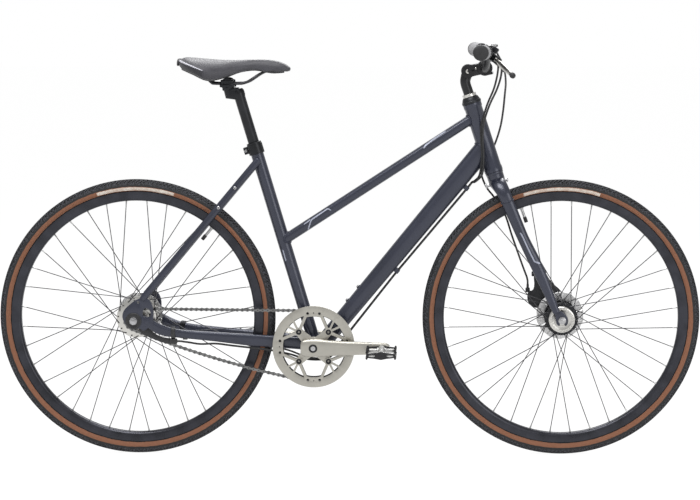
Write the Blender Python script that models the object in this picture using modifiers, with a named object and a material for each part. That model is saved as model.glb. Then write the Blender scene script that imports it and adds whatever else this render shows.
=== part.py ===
"""City bike on its two wheels. Metres: X runs forward, Y to the bike's left and Z up, with the origin
on the ground halfway between the axles."""

import math

import bmesh
import bpy
from mathutils import Matrix, Vector

# Clearance between neighbouring pieces
GAP = 0.0003
RUNNING_GAP = 0.0006
# In a bore with few sides, whose flats come nearer than its corners
BORE_GAP = 0.0006

# Wheels
WHEELBASE = 1.060
RIM_EDGE_RADIUS = 0.316
RIM_DEPTH = 0.024
RIM_INNER_RADIUS = RIM_EDGE_RADIUS - RIM_DEPTH
TYRE_STANDS_OUT = 0.030
TYRE_RADIUS = RIM_EDGE_RADIUS + TYRE_STANDS_OUT
TYRE_WIDTH = 0.036
RIM_WIDTH = 0.023
RIM_WALL = 0.002
RIM_BED_DEPTH = 0.0075
WHEEL_STEPS = 36
SPOKES = 36
SPOKE_RADIUS = 0.0009
SPOKE_STAGGER = 0.0013
FLANGE_THICKNESS = 0.0062

# Rear hub, axle and roller brake
REAR_DROPOUT_HALF = 0.066
DROPOUT_THICKNESS = 0.006
AXLE_RADIUS = 0.005
AXLE_SHOULDER_RADIUS = 0.008
NUT_RADIUS = 0.0095
NUT_HEIGHT = 0.0077
THREAD_END = 0.002
WASHER_RADIUS = 0.020
WASHER_THICKNESS = 0.0022
REAR_FLANGE_RIGHT = -0.026
REAR_FLANGE_LEFT = 0.020
REAR_FLANGE_RADIUS = 0.049
REAR_HOLE_CIRCLE = 0.045
REAR_SHELL_RADIUS = 0.031
REAR_HUB_RIGHT = -0.038
REAR_HUB_LEFT = 0.034
REAR_CROSS = math.radians(60)
REAR_DISC_RADIUS = 0.057
REAR_DRUM_RADIUS = 0.043
REAR_DRUM_FACE = 0.062

# Front hub, axle and roller brake
FRONT_DROPOUT_HALF = 0.050
FRONT_FLANGE_RIGHT = -0.026
FRONT_FLANGE_LEFT = 0.018
FRONT_FLANGE_RADIUS = 0.041
FRONT_HOLE_CIRCLE = 0.0375
FRONT_SHELL_RADIUS = 0.017
FRONT_COVER_RADIUS = 0.0325
FRONT_HUB_RIGHT = -0.0445
FRONT_HUB_LEFT = 0.025
FRONT_CROSS = math.radians(40)
FRONT_DISC_RADIUS = 0.060
FRONT_DRUM_RADIUS = 0.035
FRONT_DRUM_FACE = 0.046
BRAKE_DISC_THICKNESS = 0.0025
BRAKE_DISC_BOSS = 0.0022
BRAKE_DISC_BOSS_RADIUS = 0.024

# Frame
BB_AHEAD = 0.4443
BB_DROP = 0.067
BB_SHELL_RADIUS = 0.021
BB_SHELL_HALF = 0.034
BB_CARTRIDGE_RADIUS = 0.017
BB_FLANGE_RADIUS = 0.0205
BB_FLANGE_THICKNESS = 0.003
SEAT_ANGLE = math.radians(73.4)
SEAT_TUBE_LENGTH = 0.511
SEAT_TUBE_RADIUS = 0.0159
SEAT_BORE_DEPTH = 0.350
HEAD_ANGLE = math.radians(72)
FORK_RAKE = 0.047
CROWN_OVER_TYRE = 0.0255
CROWN_HEIGHT = TYRE_RADIUS + CROWN_OVER_TYRE
CROWN_RACE_HEIGHT = 0.0285
HEAD_TUBE_BOTTOM = CROWN_HEIGHT + CROWN_RACE_HEIGHT
HEAD_TUBE_LENGTH = 0.178
HEAD_TUBE_TOP = HEAD_TUBE_BOTTOM + HEAD_TUBE_LENGTH
HEAD_TUBE_RADIUS = 0.022
TOP_TUBE_ON_SEAT = 0.2705
TOP_TUBE_BELOW_HEAD = 0.033
TOP_TUBE_DEPTH = 0.025
TOP_TUBE_WIDTH = 0.031
DOWN_TUBE_ABOVE_HEAD = 0.0655
DOWN_TUBE_BELOW_BB = 0.015
DOWN_TUBE_PAST_BB = 0.003
DOWN_TUBE_DEPTH_HEAD = 0.049
DOWN_TUBE_DEPTH_BB = 0.040
DOWN_TUBE_WIDTH = 0.040
SEATSTAY_BELOW_TOP = 0.029
SEATSTAY_TOP_HALF = 0.019
SEATSTAY_THICKNESS = 0.018
SEATSTAY_WIDTH = 0.014
CHAINSTAY_WIDTH = 0.015
BOSS_RADIUS = 0.005
BOSS_HEIGHT = 0.002

# Seat clamp, post and saddle
POST_RADIUS = 0.0136
POST_SHOWS = 0.144
POST_LENGTH = 0.314
POST_TOP = SEAT_TUBE_LENGTH + POST_SHOWS
CLAMP_COLLAR_RADIUS = 0.0195
CLAMP_COLLAR_BELOW = 0.014
CLAMP_COLLAR_ABOVE = 0.016
SADDLE_CLAMP_OVER_POST = 0.0308
SADDLE_CLAMP_BEHIND = 0.0181
RAIL_RADIUS = 0.0035
RAIL_HALF_SPREAD = 0.022
SADDLE_PAD_THICKNESS = 0.020
SADDLE_BASE_THICKNESS = 0.003
SADDLE_WALL = 0.012
SADDLE_FIT = 0.0006

# Cranks and drive
CRANK_LENGTH = 0.170
CHAINLINE = -0.045
CHAIN_PITCH = 0.0127
RING_TEETH = 44
SPROCKET_TEETH = 13
TOOTH_HALF_WIDTH = 0.0012
TOOTH_TIP = 0.0034
TOOTH_ROOT = 0.0040
CHAIN_HALF_WIDTH = 0.0045
CHAIN_INNER_DEPTH = 0.0042
CHAIN_OUTER_DEPTH = 0.0048
CHAIN_GROOVE_HALF = 0.0019
CHAIN_GROOVE_ROOF = 0.0041
CHAIN_SAG = 0.0108
RING_INNER_RADIUS = 0.074
BOLT_CIRCLE = 0.052
BOLT_RADIUS = 0.005
RING_BOSS_RADIUS = 0.0095
SPIDER_THICKNESS = 0.0037
GUARD_THICKNESS = 0.0025
GUARD_RADIUS = 0.102
GUARD_INNER_RADIUS = 0.078
GUARD_BOSS_RADIUS = 0.012
GUARD_SPOKE_WIDTH = 0.0068
SPINDLE_RADIUS = 0.0075
ARM_FACE = 0.078
ARM_THICKNESS = 0.017
ARM_CAP_RADIUS = 0.010
ARM_CAP_THICKNESS = 0.002
PEDAL_AXLE_RADIUS = 0.005
PEDAL_THREAD_RADIUS = 0.007
PEDAL_COLLAR_RADIUS = 0.009
PEDAL_COLLAR_THICKNESS = 0.0025
PEDAL_LENGTH = 0.072
PEDAL_WIDTH = 0.094
PEDAL_HEIGHT = 0.020

# Steering and handlebar
STEERER_RADIUS = 0.0143
STEM_RADIUS = 0.0127
STEM_DEPTH = 0.090
STEERER_SHOWS = 0.022
STEERER_TOP = HEAD_TUBE_TOP + STEERER_SHOWS
HEADSET_CAP_ABOVE = 0.003
HEADSET_CAP_TOP = STEERER_TOP + HEADSET_CAP_ABOVE
BLADE_BELOW_CROWN = 0.0489
LAMP_BOSS_BELOW = 0.001
LAMP_BOSS_AHEAD = 0.0275
LAMP_BOSS_BEHIND = 0.031
LAMP_BOSS_RADIUS = 0.006
BLADE_TOP = CROWN_HEIGHT - BLADE_BELOW_CROWN
BLADE_TOP_HALF = 0.046
FORK_TIP_HALF = 0.053
PIVOT_BOSS_RADIUS = 0.016
PIVOT_BOSS_HALF = 0.012
PIVOT_PIN_RADIUS = 0.005
STEM_CHEEK = 0.006
BAR_CLAMP_RADIUS = 0.019
BAR_CLAMP_HALF = 0.022
BAR_RADIUS = 0.0111
BAR_HALF_SPAN = 0.300
GRIP_RADIUS = 0.0175
GRIP_LENGTH_LEFT = 0.1265
BRACKET_FROM_END = 0.137
BRACKET_AT = BAR_HALF_SPAN - BRACKET_FROM_END
BRACKET_HALF = 0.007
BRACKET_RADIUS = 0.0160
GRIP_LENGTH_RIGHT = 0.086
SHIFTER_LENGTH = 0.0255
SHIFTER_END = BAR_HALF_SPAN - GRIP_LENGTH_RIGHT
SHIFTER_START = SHIFTER_END - SHIFTER_LENGTH
SHIFTER_RADIUS = 0.0180
BELL_FROM_BRACKET = 0.023
BELL_AT = BRACKET_AT - BELL_FROM_BRACKET
CABLE_RADIUS = 0.0025

# Places that the sizes above fix
REAR = Vector((-WHEELBASE / 2, 0, TYRE_RADIUS))
FRONT = Vector((WHEELBASE / 2, 0, TYRE_RADIUS))
BB = REAR + Vector((BB_AHEAD, 0, -BB_DROP))
SIDE = Vector((0, 1, 0))
SEAT_UP = Vector((-math.cos(SEAT_ANGLE), 0, math.sin(SEAT_ANGLE)))
STEER_UP = Vector((-math.cos(HEAD_ANGLE), 0, math.sin(HEAD_ANGLE)))
STEER_AHEAD = Vector((math.sin(HEAD_ANGLE), 0, math.cos(HEAD_ANGLE)))
STEER_FOOT = FRONT - STEER_AHEAD * FORK_RAKE
RING_RADIUS = CHAIN_PITCH / (2 * math.sin(math.pi / RING_TEETH))
SPROCKET_RADIUS = CHAIN_PITCH / (2 * math.sin(math.pi / SPROCKET_TEETH))
PEDAL_RIGHT = BB + Vector((CRANK_LENGTH, 0, 0))
PEDAL_LEFT = BB - Vector((CRANK_LENGTH, 0, 0))


def seat_point(height):
    return BB + SEAT_UP * height


def steer_point(height, ahead=0.0, side=0.0):
    return STEER_FOOT + STEER_UP * height + STEER_AHEAD * ahead + SIDE * side


# Scene, collections and materials

for old in list(bpy.data.objects):
    bpy.data.objects.remove(old)

bike = bpy.data.collections.new("city_bike")
cutters = bpy.data.collections.new("cutters")
bpy.context.scene.collection.children.link(bike)
bpy.context.scene.collection.children.link(cutters)


def material(name, colour, roughness, metallic):
    made = bpy.data.materials.new(name)
    made.use_nodes = True
    surface = made.node_tree.nodes["Principled BSDF"]
    surface.inputs["Base Color"].default_value = (*colour, 1)
    surface.inputs["Roughness"].default_value = roughness
    surface.inputs["Metallic"].default_value = metallic
    return made


PAINT = material("frame_paint", (0.055, 0.066, 0.088), 0.42, 0.35)
BLACK_METAL = material("black_metal", (0.020, 0.021, 0.024), 0.35, 0.6)
SILVER = material("silver", (0.62, 0.61, 0.58), 0.28, 1.0)
CHAMPAGNE = material("champagne", (0.56, 0.53, 0.46), 0.34, 0.9)
STEEL = material("steel", (0.50, 0.50, 0.50), 0.30, 1.0)
TYRE_RUBBER = material("tyre_rubber", (0.022, 0.022, 0.022), 0.85, 0.0)
BLACK_PLASTIC = material("black_plastic", (0.025, 0.025, 0.027), 0.5, 0.0)
GRIP_RUBBER = material("grip_rubber", (0.30, 0.30, 0.31), 0.75, 0.0)
SADDLE_COVER = material("saddle_cover", (0.030, 0.030, 0.033), 0.6, 0.0)


# Modelling helpers


def add(name, data, look):
    made = bpy.data.objects.new(name, data)
    data.materials.append(look)
    bike.objects.link(made)
    return made


def finish_mesh(mesh, name, look):
    """The bmesh as an object, faces outward and round parts smooth."""
    bmesh.ops.recalc_face_normals(mesh, faces=mesh.faces)
    data = bpy.data.meshes.new(name)
    mesh.to_mesh(data)
    mesh.free()
    data.shade_smooth()
    data.set_sharp_from_angle(angle=math.radians(35))
    return add(name, data, look)


def frame_along(start, end):
    """Matrix whose Z runs from start to end, at their middle."""
    turn = (end - start).to_track_quat("Z", "Y").to_matrix().to_4x4()
    return Matrix.Translation((start + end) / 2) @ turn


def rod(name, start, end, radius, look, sides=16, end_radius=None):
    """Cylinder, or a cone when end_radius is given."""
    mesh = bmesh.new()
    bmesh.ops.create_cone(
        mesh,
        cap_ends=True,
        segments=sides,
        radius1=radius,
        radius2=radius if end_radius is None else end_radius,
        depth=(end - start).length,
        matrix=frame_along(start, end),
    )
    return finish_mesh(mesh, name, look)


def box(name, centre, size, look, axes=None):
    """Box of the given full sizes along the three axes, or along X, Y and Z."""
    turn = Matrix(axes).transposed().to_4x4() if axes else Matrix.Identity(4)
    mesh = bmesh.new()
    sized = Matrix.Translation(centre) @ turn @ Matrix.Diagonal((*size, 1))
    bmesh.ops.create_cube(mesh, size=1, matrix=sized)
    return finish_mesh(mesh, name, look)


def turned(name, centre, profile, look, steps, cyclic=True):
    """Solid turned about the line along Y through centre; profile points are (radius, y)."""
    data = bpy.data.meshes.new(name)
    points = [(radius, 0, y) for radius, y in profile]
    edges = [(i, i + 1) for i in range(len(points) - 1)]
    if cyclic:
        edges.append((len(points) - 1, 0))
    data.from_pydata(points, edges, [])
    made = add(name, data, look)
    made.location = centre
    made.rotation_euler = (-math.pi / 2, 0, 0)
    screw = made.modifiers.new("turn", "SCREW")
    screw.steps = steps
    screw.render_steps = steps
    screw.use_merge_vertices = True
    screw.merge_threshold = 0.00001
    screw.use_smooth_shade = True
    return made


def loft(name, sections, look, sides=16, power=2.0):
    """Solid through oval sections (centre, across, deep): the vectors are the half axes. A power over 2
    squares the oval."""
    mesh = bmesh.new()
    rings = []
    for centre, across, deep in sections:
        ring = []
        for step in range(sides):
            turn = 2 * math.pi * (step + 0.5) / sides
            x, y = math.cos(turn), math.sin(turn)
            out = (abs(x) ** power + abs(y) ** power) ** (-1 / power)
            ring.append(mesh.verts.new(centre + across * (x * out) + deep * (y * out)))
        rings.append(ring)
    for lower, upper in zip(rings, rings[1:]):
        for step in range(sides):
            after = (step + 1) % sides
            mesh.faces.new((lower[step], lower[after], upper[after], upper[step]))
    mesh.faces.new(rings[0])
    mesh.faces.new(rings[-1])
    return finish_mesh(mesh, name, look)


def tube_sections(stations, grow=0.0, hint=SIDE):
    """Sections square to a path; each station is (point, half width, half depth)."""
    sections = []
    for i, (point, half_width, half_depth) in enumerate(stations):
        before = stations[max(i - 1, 0)][0]
        after = stations[min(i + 1, len(stations) - 1)][0]
        along = (after - before).normalized()
        across = (hint - along * hint.dot(along)).normalized()
        deep = along.cross(across)
        sections.append((point, across * (half_width + grow), deep * (half_depth + grow)))
    return sections


def curve_spans(points):
    """Each span of a smooth curve through the points: its ends and the tangents there."""
    lengths = [(after - before).length for before, after in zip(points, points[1:])]
    legs = [(after - before) / long for before, after, long in zip(points, points[1:], lengths)]
    tangents = [legs[0]]
    for leg, following, long, next_long in zip(legs, legs[1:], lengths, lengths[1:]):
        tangents.append((leg * next_long + following * long) / (long + next_long))
    tangents.append(legs[-1])
    return [
        (points[i], points[i + 1], tangents[i] * lengths[i], tangents[i + 1] * lengths[i])
        for i in range(len(legs))
    ]


def on_span(span, t):
    start, end, leaving, arriving = span
    return (
        start * (2 * t**3 - 3 * t**2 + 1)
        + leaving * (t**3 - 2 * t**2 + t)
        + end * (3 * t**2 - 2 * t**3)
        + arriving * (t**3 - t**2)
    )


def bent_route(points, bend):
    """Points on a smooth curve: all the given ones, and more where it turns by over bend."""
    route = [points[0]]
    for span in curve_spans(points):
        steps = max(1, math.ceil(span[2].angle(span[3]) / bend))
        route += [on_span(span, step / steps) for step in range(1, steps + 1)]
    return route


def wire(name, points, radius, look, resolution=2):
    """Round wire or tube through the points."""
    data = bpy.data.curves.new(name, "CURVE")
    data.dimensions = "3D"
    data.bevel_depth = radius
    data.bevel_resolution = resolution
    data.use_fill_caps = True
    spline = data.splines.new("POLY")
    spline.points.add(len(points) - 1)
    for target, point in zip(spline.points, points):
        target.co = (*point, 1)
    return add(name, data, look)


def as_mesh(curve):
    """The curve object replaced by a mesh object with its caps welded on."""
    bpy.context.view_layer.update()
    graph = bpy.context.evaluated_depsgraph_get()
    data = bpy.data.meshes.new_from_object(curve.evaluated_get(graph))
    name, placed, look = curve.name, curve.matrix_world.copy(), curve.data.materials[0]
    bpy.data.objects.remove(curve)
    mesh = bmesh.new()
    mesh.from_mesh(data)
    bmesh.ops.remove_doubles(mesh, verts=mesh.verts, dist=0.000005)
    bmesh.ops.recalc_face_normals(mesh, faces=mesh.faces)
    mesh.to_mesh(data)
    mesh.free()
    data.materials.clear()
    made = add(name, data, look)
    made.matrix_world = placed
    return made


def plate(name, loops, thickness, y, look):
    """Flat plate square to Y, centred at y. Loops are outlines of (x, z), the first the outer one."""
    data = bpy.data.curves.new(name, "CURVE")
    data.dimensions = "2D"
    data.fill_mode = "BOTH"
    data.extrude = thickness / 2
    for loop in loops:
        spline = data.splines.new("POLY")
        spline.points.add(len(loop) - 1)
        for target, (x, z) in zip(spline.points, loop):
            target.co = (x, z, 0, 1)
        spline.use_cyclic_u = True
    made = add(name, data, look)
    made.location = (0, y, 0)
    made.rotation_euler = (math.pi / 2, 0, 0)
    return as_mesh(made)


def circle(centre, radius, steps, start=0.0):
    """Points (x, z) round a centre given as a vector."""
    turns = [start + 2 * math.pi * step / steps for step in range(steps)]
    return [(centre.x + radius * math.cos(a), centre.z + radius * math.sin(a)) for a in turns]


def helper(tool):
    """Marks an object as a cutter or a piece to be joined: it isn't a part by itself."""
    for holder in list(tool.users_collection):
        holder.objects.unlink(tool)
    cutters.objects.link(tool)
    tool.hide_render = True
    tool.display_type = "WIRE"
    return tool


def boolean(target, tools, operation, solver="EXACT"):
    for tool in tools:
        step = target.modifiers.new(tool.name, "BOOLEAN")
        step.operation = operation
        step.solver = solver
        step.object = helper(tool)
    return target


def carve(target, *tools, solver="EXACT"):
    return boolean(target, tools, "DIFFERENCE", solver)


def fuse(target, *tools):
    return boolean(target, tools, "UNION")


def at_axle(axle, outline):
    return [(axle.x + x, axle.z + z) for x, z in outline]


def mirror_y(vector, side):
    return Vector((vector.x, vector.y * side, vector.z))


# Shared cutters: each is a tube of the bike grown by the clearance

head_cutter = rod("head_cutter", steer_point(HEAD_TUBE_BOTTOM - 0.05),
                  steer_point(HEAD_TUBE_TOP + 0.02), HEAD_TUBE_RADIUS + GAP, PAINT, 16)
seat_cutter = rod("seat_cutter", seat_point(0), seat_point(SEAT_TUBE_LENGTH + 0.04),
                  SEAT_TUBE_RADIUS + GAP, PAINT, 16)
bb_cutter = rod("bb_cutter", BB - SIDE * 0.06, BB + SIDE * 0.06, BB_SHELL_RADIUS + GAP, PAINT, 16)


# Frame tubes


def make_head_tube():
    tube = rod("head_tube", steer_point(HEAD_TUBE_BOTTOM), steer_point(HEAD_TUBE_TOP),
               HEAD_TUBE_RADIUS, PAINT, 16)
    bore = rod("head_bore", steer_point(HEAD_TUBE_BOTTOM - 0.01), steer_point(HEAD_TUBE_TOP + 0.01),
               STEERER_RADIUS + RUNNING_GAP, PAINT, 16)
    return carve(tube, bore)


def make_seat_tube():
    tube = rod("seat_tube", seat_point(0), seat_point(SEAT_TUBE_LENGTH), SEAT_TUBE_RADIUS, PAINT, 16)
    bore = rod("seat_bore", seat_point(SEAT_TUBE_LENGTH - SEAT_BORE_DEPTH),
               seat_point(SEAT_TUBE_LENGTH + 0.01), POST_RADIUS + GAP, PAINT, 16)
    return carve(tube, bb_cutter, bore)


def make_top_tube():
    start = seat_point(TOP_TUBE_ON_SEAT)
    end = steer_point(HEAD_TUBE_TOP - TOP_TUBE_BELOW_HEAD)
    stations = [
        (start.lerp(end, share), TOP_TUBE_WIDTH / 2, TOP_TUBE_DEPTH / 2) for share in (0, 0.5, 1)
    ]
    tube = loft("top_tube", tube_sections(stations), PAINT, 16, 2.6)
    return carve(tube, head_cutter, seat_cutter)


def down_tube_line():
    """Start beside the bottom bracket and end on the head tube's axis."""
    end = steer_point(HEAD_TUBE_BOTTOM + DOWN_TUBE_ABOVE_HEAD)
    reach = end - BB
    tilt = math.atan2(reach.z, reach.x) - math.asin(-DOWN_TUBE_BELOW_BB / reach.length)
    along = Vector((math.cos(tilt), 0, math.sin(tilt)))
    length = math.sqrt(reach.length_squared - DOWN_TUBE_BELOW_BB**2) - DOWN_TUBE_PAST_BB
    start = end - along * length
    return start, end, along


def down_tube_depth(share):
    return DOWN_TUBE_DEPTH_BB + (DOWN_TUBE_DEPTH_HEAD - DOWN_TUBE_DEPTH_BB) * share


BOTTLE_BOSSES = (0.272, 0.205)
CABLE_GUIDES = (0.830, 0.415)
GUIDE_SIZE = Vector((0.010, 0.022, 0.010))
CABLE_DROP = 0.0070
CABLE_SIDE = 0.006


def down_tube_under(share, drop):
    """Point this far below the down tube's underside."""
    start, end, along = down_tube_line()
    below = Vector((along.z, 0, -along.x))
    return start.lerp(end, share) + below * (down_tube_depth(share) / 2 + drop)


def make_down_tube():
    start, end, along = down_tube_line()
    stations = [
        (start.lerp(end, share), DOWN_TUBE_WIDTH / 2, down_tube_depth(share) / 2)
        for share in (0, 0.35, 0.7, 1)
    ]
    tube = loft("down_tube", tube_sections(stations), PAINT, 14, 2.6)
    above = Vector((-along.z, 0, along.x))
    extras = []
    for number, share in enumerate(BOTTLE_BOSSES, 1):
        foot = start.lerp(end, share)
        top = foot + above * (down_tube_depth(share) / 2 + BOSS_HEIGHT)
        extras.append(rod(f"bottle_boss_{number}", foot, top, BOSS_RADIUS, PAINT, 8))
    axes = (tuple(along), tuple(SIDE), tuple(-above))
    for number, share in enumerate(CABLE_GUIDES, 1):
        centre = down_tube_under(share, CABLE_DROP - 0.001)
        guide = box(f"cable_guide_{number}", centre, GUIDE_SIZE + Vector((0, 0, 0.008)), PAINT, axes)
        extras.append(guide)
    fuse(tube, *extras)
    holes = []
    for number, share in enumerate(CABLE_GUIDES, 1):
        for side in (-1, 1):
            middle = down_tube_under(share, CABLE_DROP) + SIDE * (side * CABLE_SIDE)
            holes.append(rod(f"guide_hole_{number}_{side}", middle - along * 0.012,
                             middle + along * 0.012, CABLE_RADIUS + RUNNING_GAP, PAINT, 6))
    carve(tube, head_cutter)
    # These two cross each other on the tube's underside, where the exact solver can lose a face
    carve(tube, bb_cutter, seat_cutter, solver="MANIFOLD")
    return carve(tube, *holes)


def make_bottom_bracket_shell():
    shell = rod("bottom_bracket_shell", BB - SIDE * BB_SHELL_HALF, BB + SIDE * BB_SHELL_HALF,
                BB_SHELL_RADIUS, PAINT, 16)
    bore = rod("bb_bore", BB - SIDE * 0.05, BB + SIDE * 0.05, BB_CARTRIDGE_RADIUS + GAP, PAINT, 16)
    return carve(shell, bore)


# Stays. Places are measured from the rear axle, along X and Z, with the distance from the mid plane.

CHAINSTAY_ROUTE = (
    (0.030, 0.0660, -0.001, 0.022),
    (0.067, 0.0620, -0.0235, 0.026),
    (0.115, 0.0520, -0.035, 0.021),
    (0.200, 0.0400, -0.0444, 0.024),
    (0.286, 0.0310, -0.0537, 0.030),
    (0.335, 0.0270, -0.0574, 0.030),
)
CHAINSTAY_END_HALF = 0.022
CHAINSTAY_END_HEIGHT = 0.030
DROPOUT_OUTLINE = (
    (0.012, 0.057), (-0.020, 0.0325), (-0.0275, 0.018), (-0.0275, 0.005), (-0.020, -0.009),
    (-0.010, -0.018), (0.0045, -0.0205), (0.017, -0.018), (0.024, -0.0265), (0.034, -0.019),
    (0.0415, -0.0155), (0.049, -0.006), (0.049, 0.003), (0.050, 0.030), (0.044, 0.047), (0.034, 0.057),
)
DROPOUT_WINDOW = ((0.022, 0.011), (0.041, 0.009), (0.044, 0.018), (0.040, 0.029), (0.030, 0.033),
                  (0.023, 0.026))
SEATSTAY_FOOT = Vector((0.021, 0.069, 0.053))
RACK_BOSSES = (0.198, 0.340)


def dropout_centre(side):
    return side * (REAR_DROPOUT_HALF + DROPOUT_THICKNESS / 2)


def chainstay_stations(side):
    stations = [
        (REAR + Vector((x, side * y, z)), CHAINSTAY_WIDTH / 2, height / 2)
        for x, y, z, height in CHAINSTAY_ROUTE
    ]
    end = BB + Vector((0, side * CHAINSTAY_END_HALF, 0))
    return stations + [(end, CHAINSTAY_WIDTH / 2, CHAINSTAY_END_HEIGHT / 2)]


def chainstay_cutter(name, side):
    return loft(name, tube_sections(chainstay_stations(side), GAP), PAINT, 10, 2.4)


def make_chainstay(name, side):
    stay = loft(name, tube_sections(chainstay_stations(side)), PAINT, 10, 2.4)
    ear = circle(REAR + Vector((0.012, 0, 0.046)), 0.003, 6)
    loops = [at_axle(REAR, DROPOUT_OUTLINE), at_axle(REAR, DROPOUT_WINDOW), ear]
    dropout = plate(f"{name}_dropout", loops, DROPOUT_THICKNESS, dropout_centre(side), PAINT)
    fuse(stay, dropout)
    slot_top = REAR + SIDE * dropout_centre(side)
    reach = SIDE * DROPOUT_THICKNESS
    hole = rod(f"{name}_axle_hole", slot_top - reach, slot_top + reach, AXLE_RADIUS + BORE_GAP, PAINT, 10)
    mouth = box(f"{name}_axle_slot", slot_top - Vector((0, 0, 0.02)),
                Vector((2 * (AXLE_RADIUS + GAP), 2 * DROPOUT_THICKNESS, 0.04)), PAINT)
    return carve(stay, hole, mouth, bb_cutter, seat_cutter)


def seatstay_line(side):
    foot = REAR + mirror_y(SEATSTAY_FOOT, side)
    head = seat_point(SEAT_TUBE_LENGTH - SEATSTAY_BELOW_TOP) + SIDE * (side * SEATSTAY_TOP_HALF)
    return foot, head


def make_seatstay(name, side):
    foot, head = seatstay_line(side)
    stations = [(foot.lerp(head, share), SEATSTAY_WIDTH / 2, SEATSTAY_THICKNESS / 2)
                for share in (0, 0.5, 1)]
    stay = loft(name, tube_sections(stations), PAINT, 12, 2.2)
    bosses = []
    for number, share in enumerate(RACK_BOSSES, 1):
        inner = head.lerp(foot, share)
        outer = inner + SIDE * (side * (SEATSTAY_WIDTH / 2 + BOSS_HEIGHT))
        bosses.append(rod(f"{name}_boss_{number}", inner, outer, BOSS_RADIUS, PAINT, 8))
    fuse(stay, *bosses)
    around = plate(f"{name}_dropout_cutter", [at_axle(REAR, DROPOUT_OUTLINE)],
                   DROPOUT_THICKNESS + 2 * GAP, dropout_centre(side), PAINT)
    return carve(stay, seat_cutter, around)


def make_seat_clamp():
    low = SEAT_TUBE_LENGTH - CLAMP_COLLAR_BELOW
    high = SEAT_TUBE_LENGTH + CLAMP_COLLAR_ABOVE
    collar = rod("seat_clamp", seat_point(low), seat_point(high), CLAMP_COLLAR_RADIUS, BLACK_METAL, 14)
    behind = SEAT_UP.cross(SIDE).normalized()
    if behind.x > 0:
        behind = -behind
    middle = seat_point((low + high) / 2)
    axes = (tuple(behind), tuple(SIDE), tuple(SEAT_UP))
    ear = box("clamp_ear", middle + behind * (CLAMP_COLLAR_RADIUS + 0.003), Vector((0.014, 0.012, 0.018)),
              BLACK_METAL, axes)
    bolt_centre = middle + behind * (CLAMP_COLLAR_RADIUS + 0.005)
    reach = SIDE * 0.011
    bolt = rod("clamp_bolt", bolt_centre - reach, bolt_centre + reach, 0.0035, BLACK_METAL, 8)
    fuse(collar, ear, bolt)
    post_hole = rod("collar_post_hole", seat_point(low - 0.01), seat_point(high + 0.01),
                    POST_RADIUS + GAP, BLACK_METAL, 16)
    seat_hole = rod("collar_tube_hole", seat_point(low - 0.01), seat_point(SEAT_TUBE_LENGTH + GAP),
                    SEAT_TUBE_RADIUS + GAP, BLACK_METAL, 16)
    return carve(collar, seat_hole, post_hole)


head_tube = make_head_tube()
seat_tube = make_seat_tube()
top_tube = make_top_tube()
down_tube = make_down_tube()
bottom_bracket_shell = make_bottom_bracket_shell()
chainstay_right = make_chainstay("chainstay_right", -1)
chainstay_left = make_chainstay("chainstay_left", 1)
seatstay_right = make_seatstay("seatstay_right", -1)
seatstay_left = make_seatstay("seatstay_left", 1)
seat_clamp = make_seat_clamp()


# Wheels


def make_rim(name, axle):
    edge = RIM_WIDTH / 2
    inside = edge - RIM_WALL
    bed = RIM_EDGE_RADIUS - RIM_BED_DEPTH
    profile = [
        (RIM_EDGE_RADIUS, edge), (bed, inside), (bed, -inside), (RIM_EDGE_RADIUS, -edge),
        (RIM_INNER_RADIUS, -edge / 2), (RIM_INNER_RADIUS, edge / 2),
    ]
    return turned(name, axle, profile, BLACK_METAL, WHEEL_STEPS)


def make_tyre(name, axle):
    bead = RIM_WIDTH / 2 - RIM_WALL - GAP
    bead_radius = RIM_EDGE_RADIUS - RIM_BED_DEPTH + GAP
    over_rim = RIM_EDGE_RADIUS + GAP
    middle = TYRE_RADIUS - TYRE_WIDTH / 2
    profile = [(bead_radius, bead), (over_rim, bead)]
    for degrees in (90, 45, 0, -45, -90):
        turn = math.radians(degrees)
        profile.append((middle + TYRE_WIDTH / 2 * math.cos(turn), TYRE_WIDTH / 2 * math.sin(turn)))
    profile += [(over_rim, -bead), (bead_radius, -bead)]
    return turned(name, axle, profile, TYRE_RUBBER, WHEEL_STEPS)


def make_spokes(name, axle, hole_circle, right, left, cross):
    """All the spokes as three-sided rods. Every fourth rim hole repeats: left, right, left, right."""
    mesh = bmesh.new()
    rim_end = RIM_INNER_RADIUS * math.cos(math.pi / WHEEL_STEPS) - GAP
    for number in range(SPOKES):
        rim_turn = 2 * math.pi * (number + 0.5) / SPOKES
        kind = number % 4
        flange = left if kind in (0, 2) else right
        forward = 1 if kind in (1, 2) else -1
        hub_turn = rim_turn + forward * cross
        outward = math.copysign(SPOKE_STAGGER, flange) * forward
        start = axle + Vector((hole_circle * math.cos(hub_turn), flange + outward,
                               hole_circle * math.sin(hub_turn)))
        end = axle + Vector((rim_end * math.cos(rim_turn), 0, rim_end * math.sin(rim_turn)))
        bmesh.ops.create_cone(mesh, cap_ends=True, segments=3, radius1=SPOKE_RADIUS,
                              radius2=SPOKE_RADIUS, depth=(end - start).length,
                              matrix=frame_along(start, end))
    return finish_mesh(mesh, name, STEEL)


def flange_points(y, radius, shell):
    """Profile of one flange, from its left face to its right one."""
    half = FLANGE_THICKNESS / 2
    return [(shell, y + half), (radius, y + half), (radius, y - half), (shell, y - half)]


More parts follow.
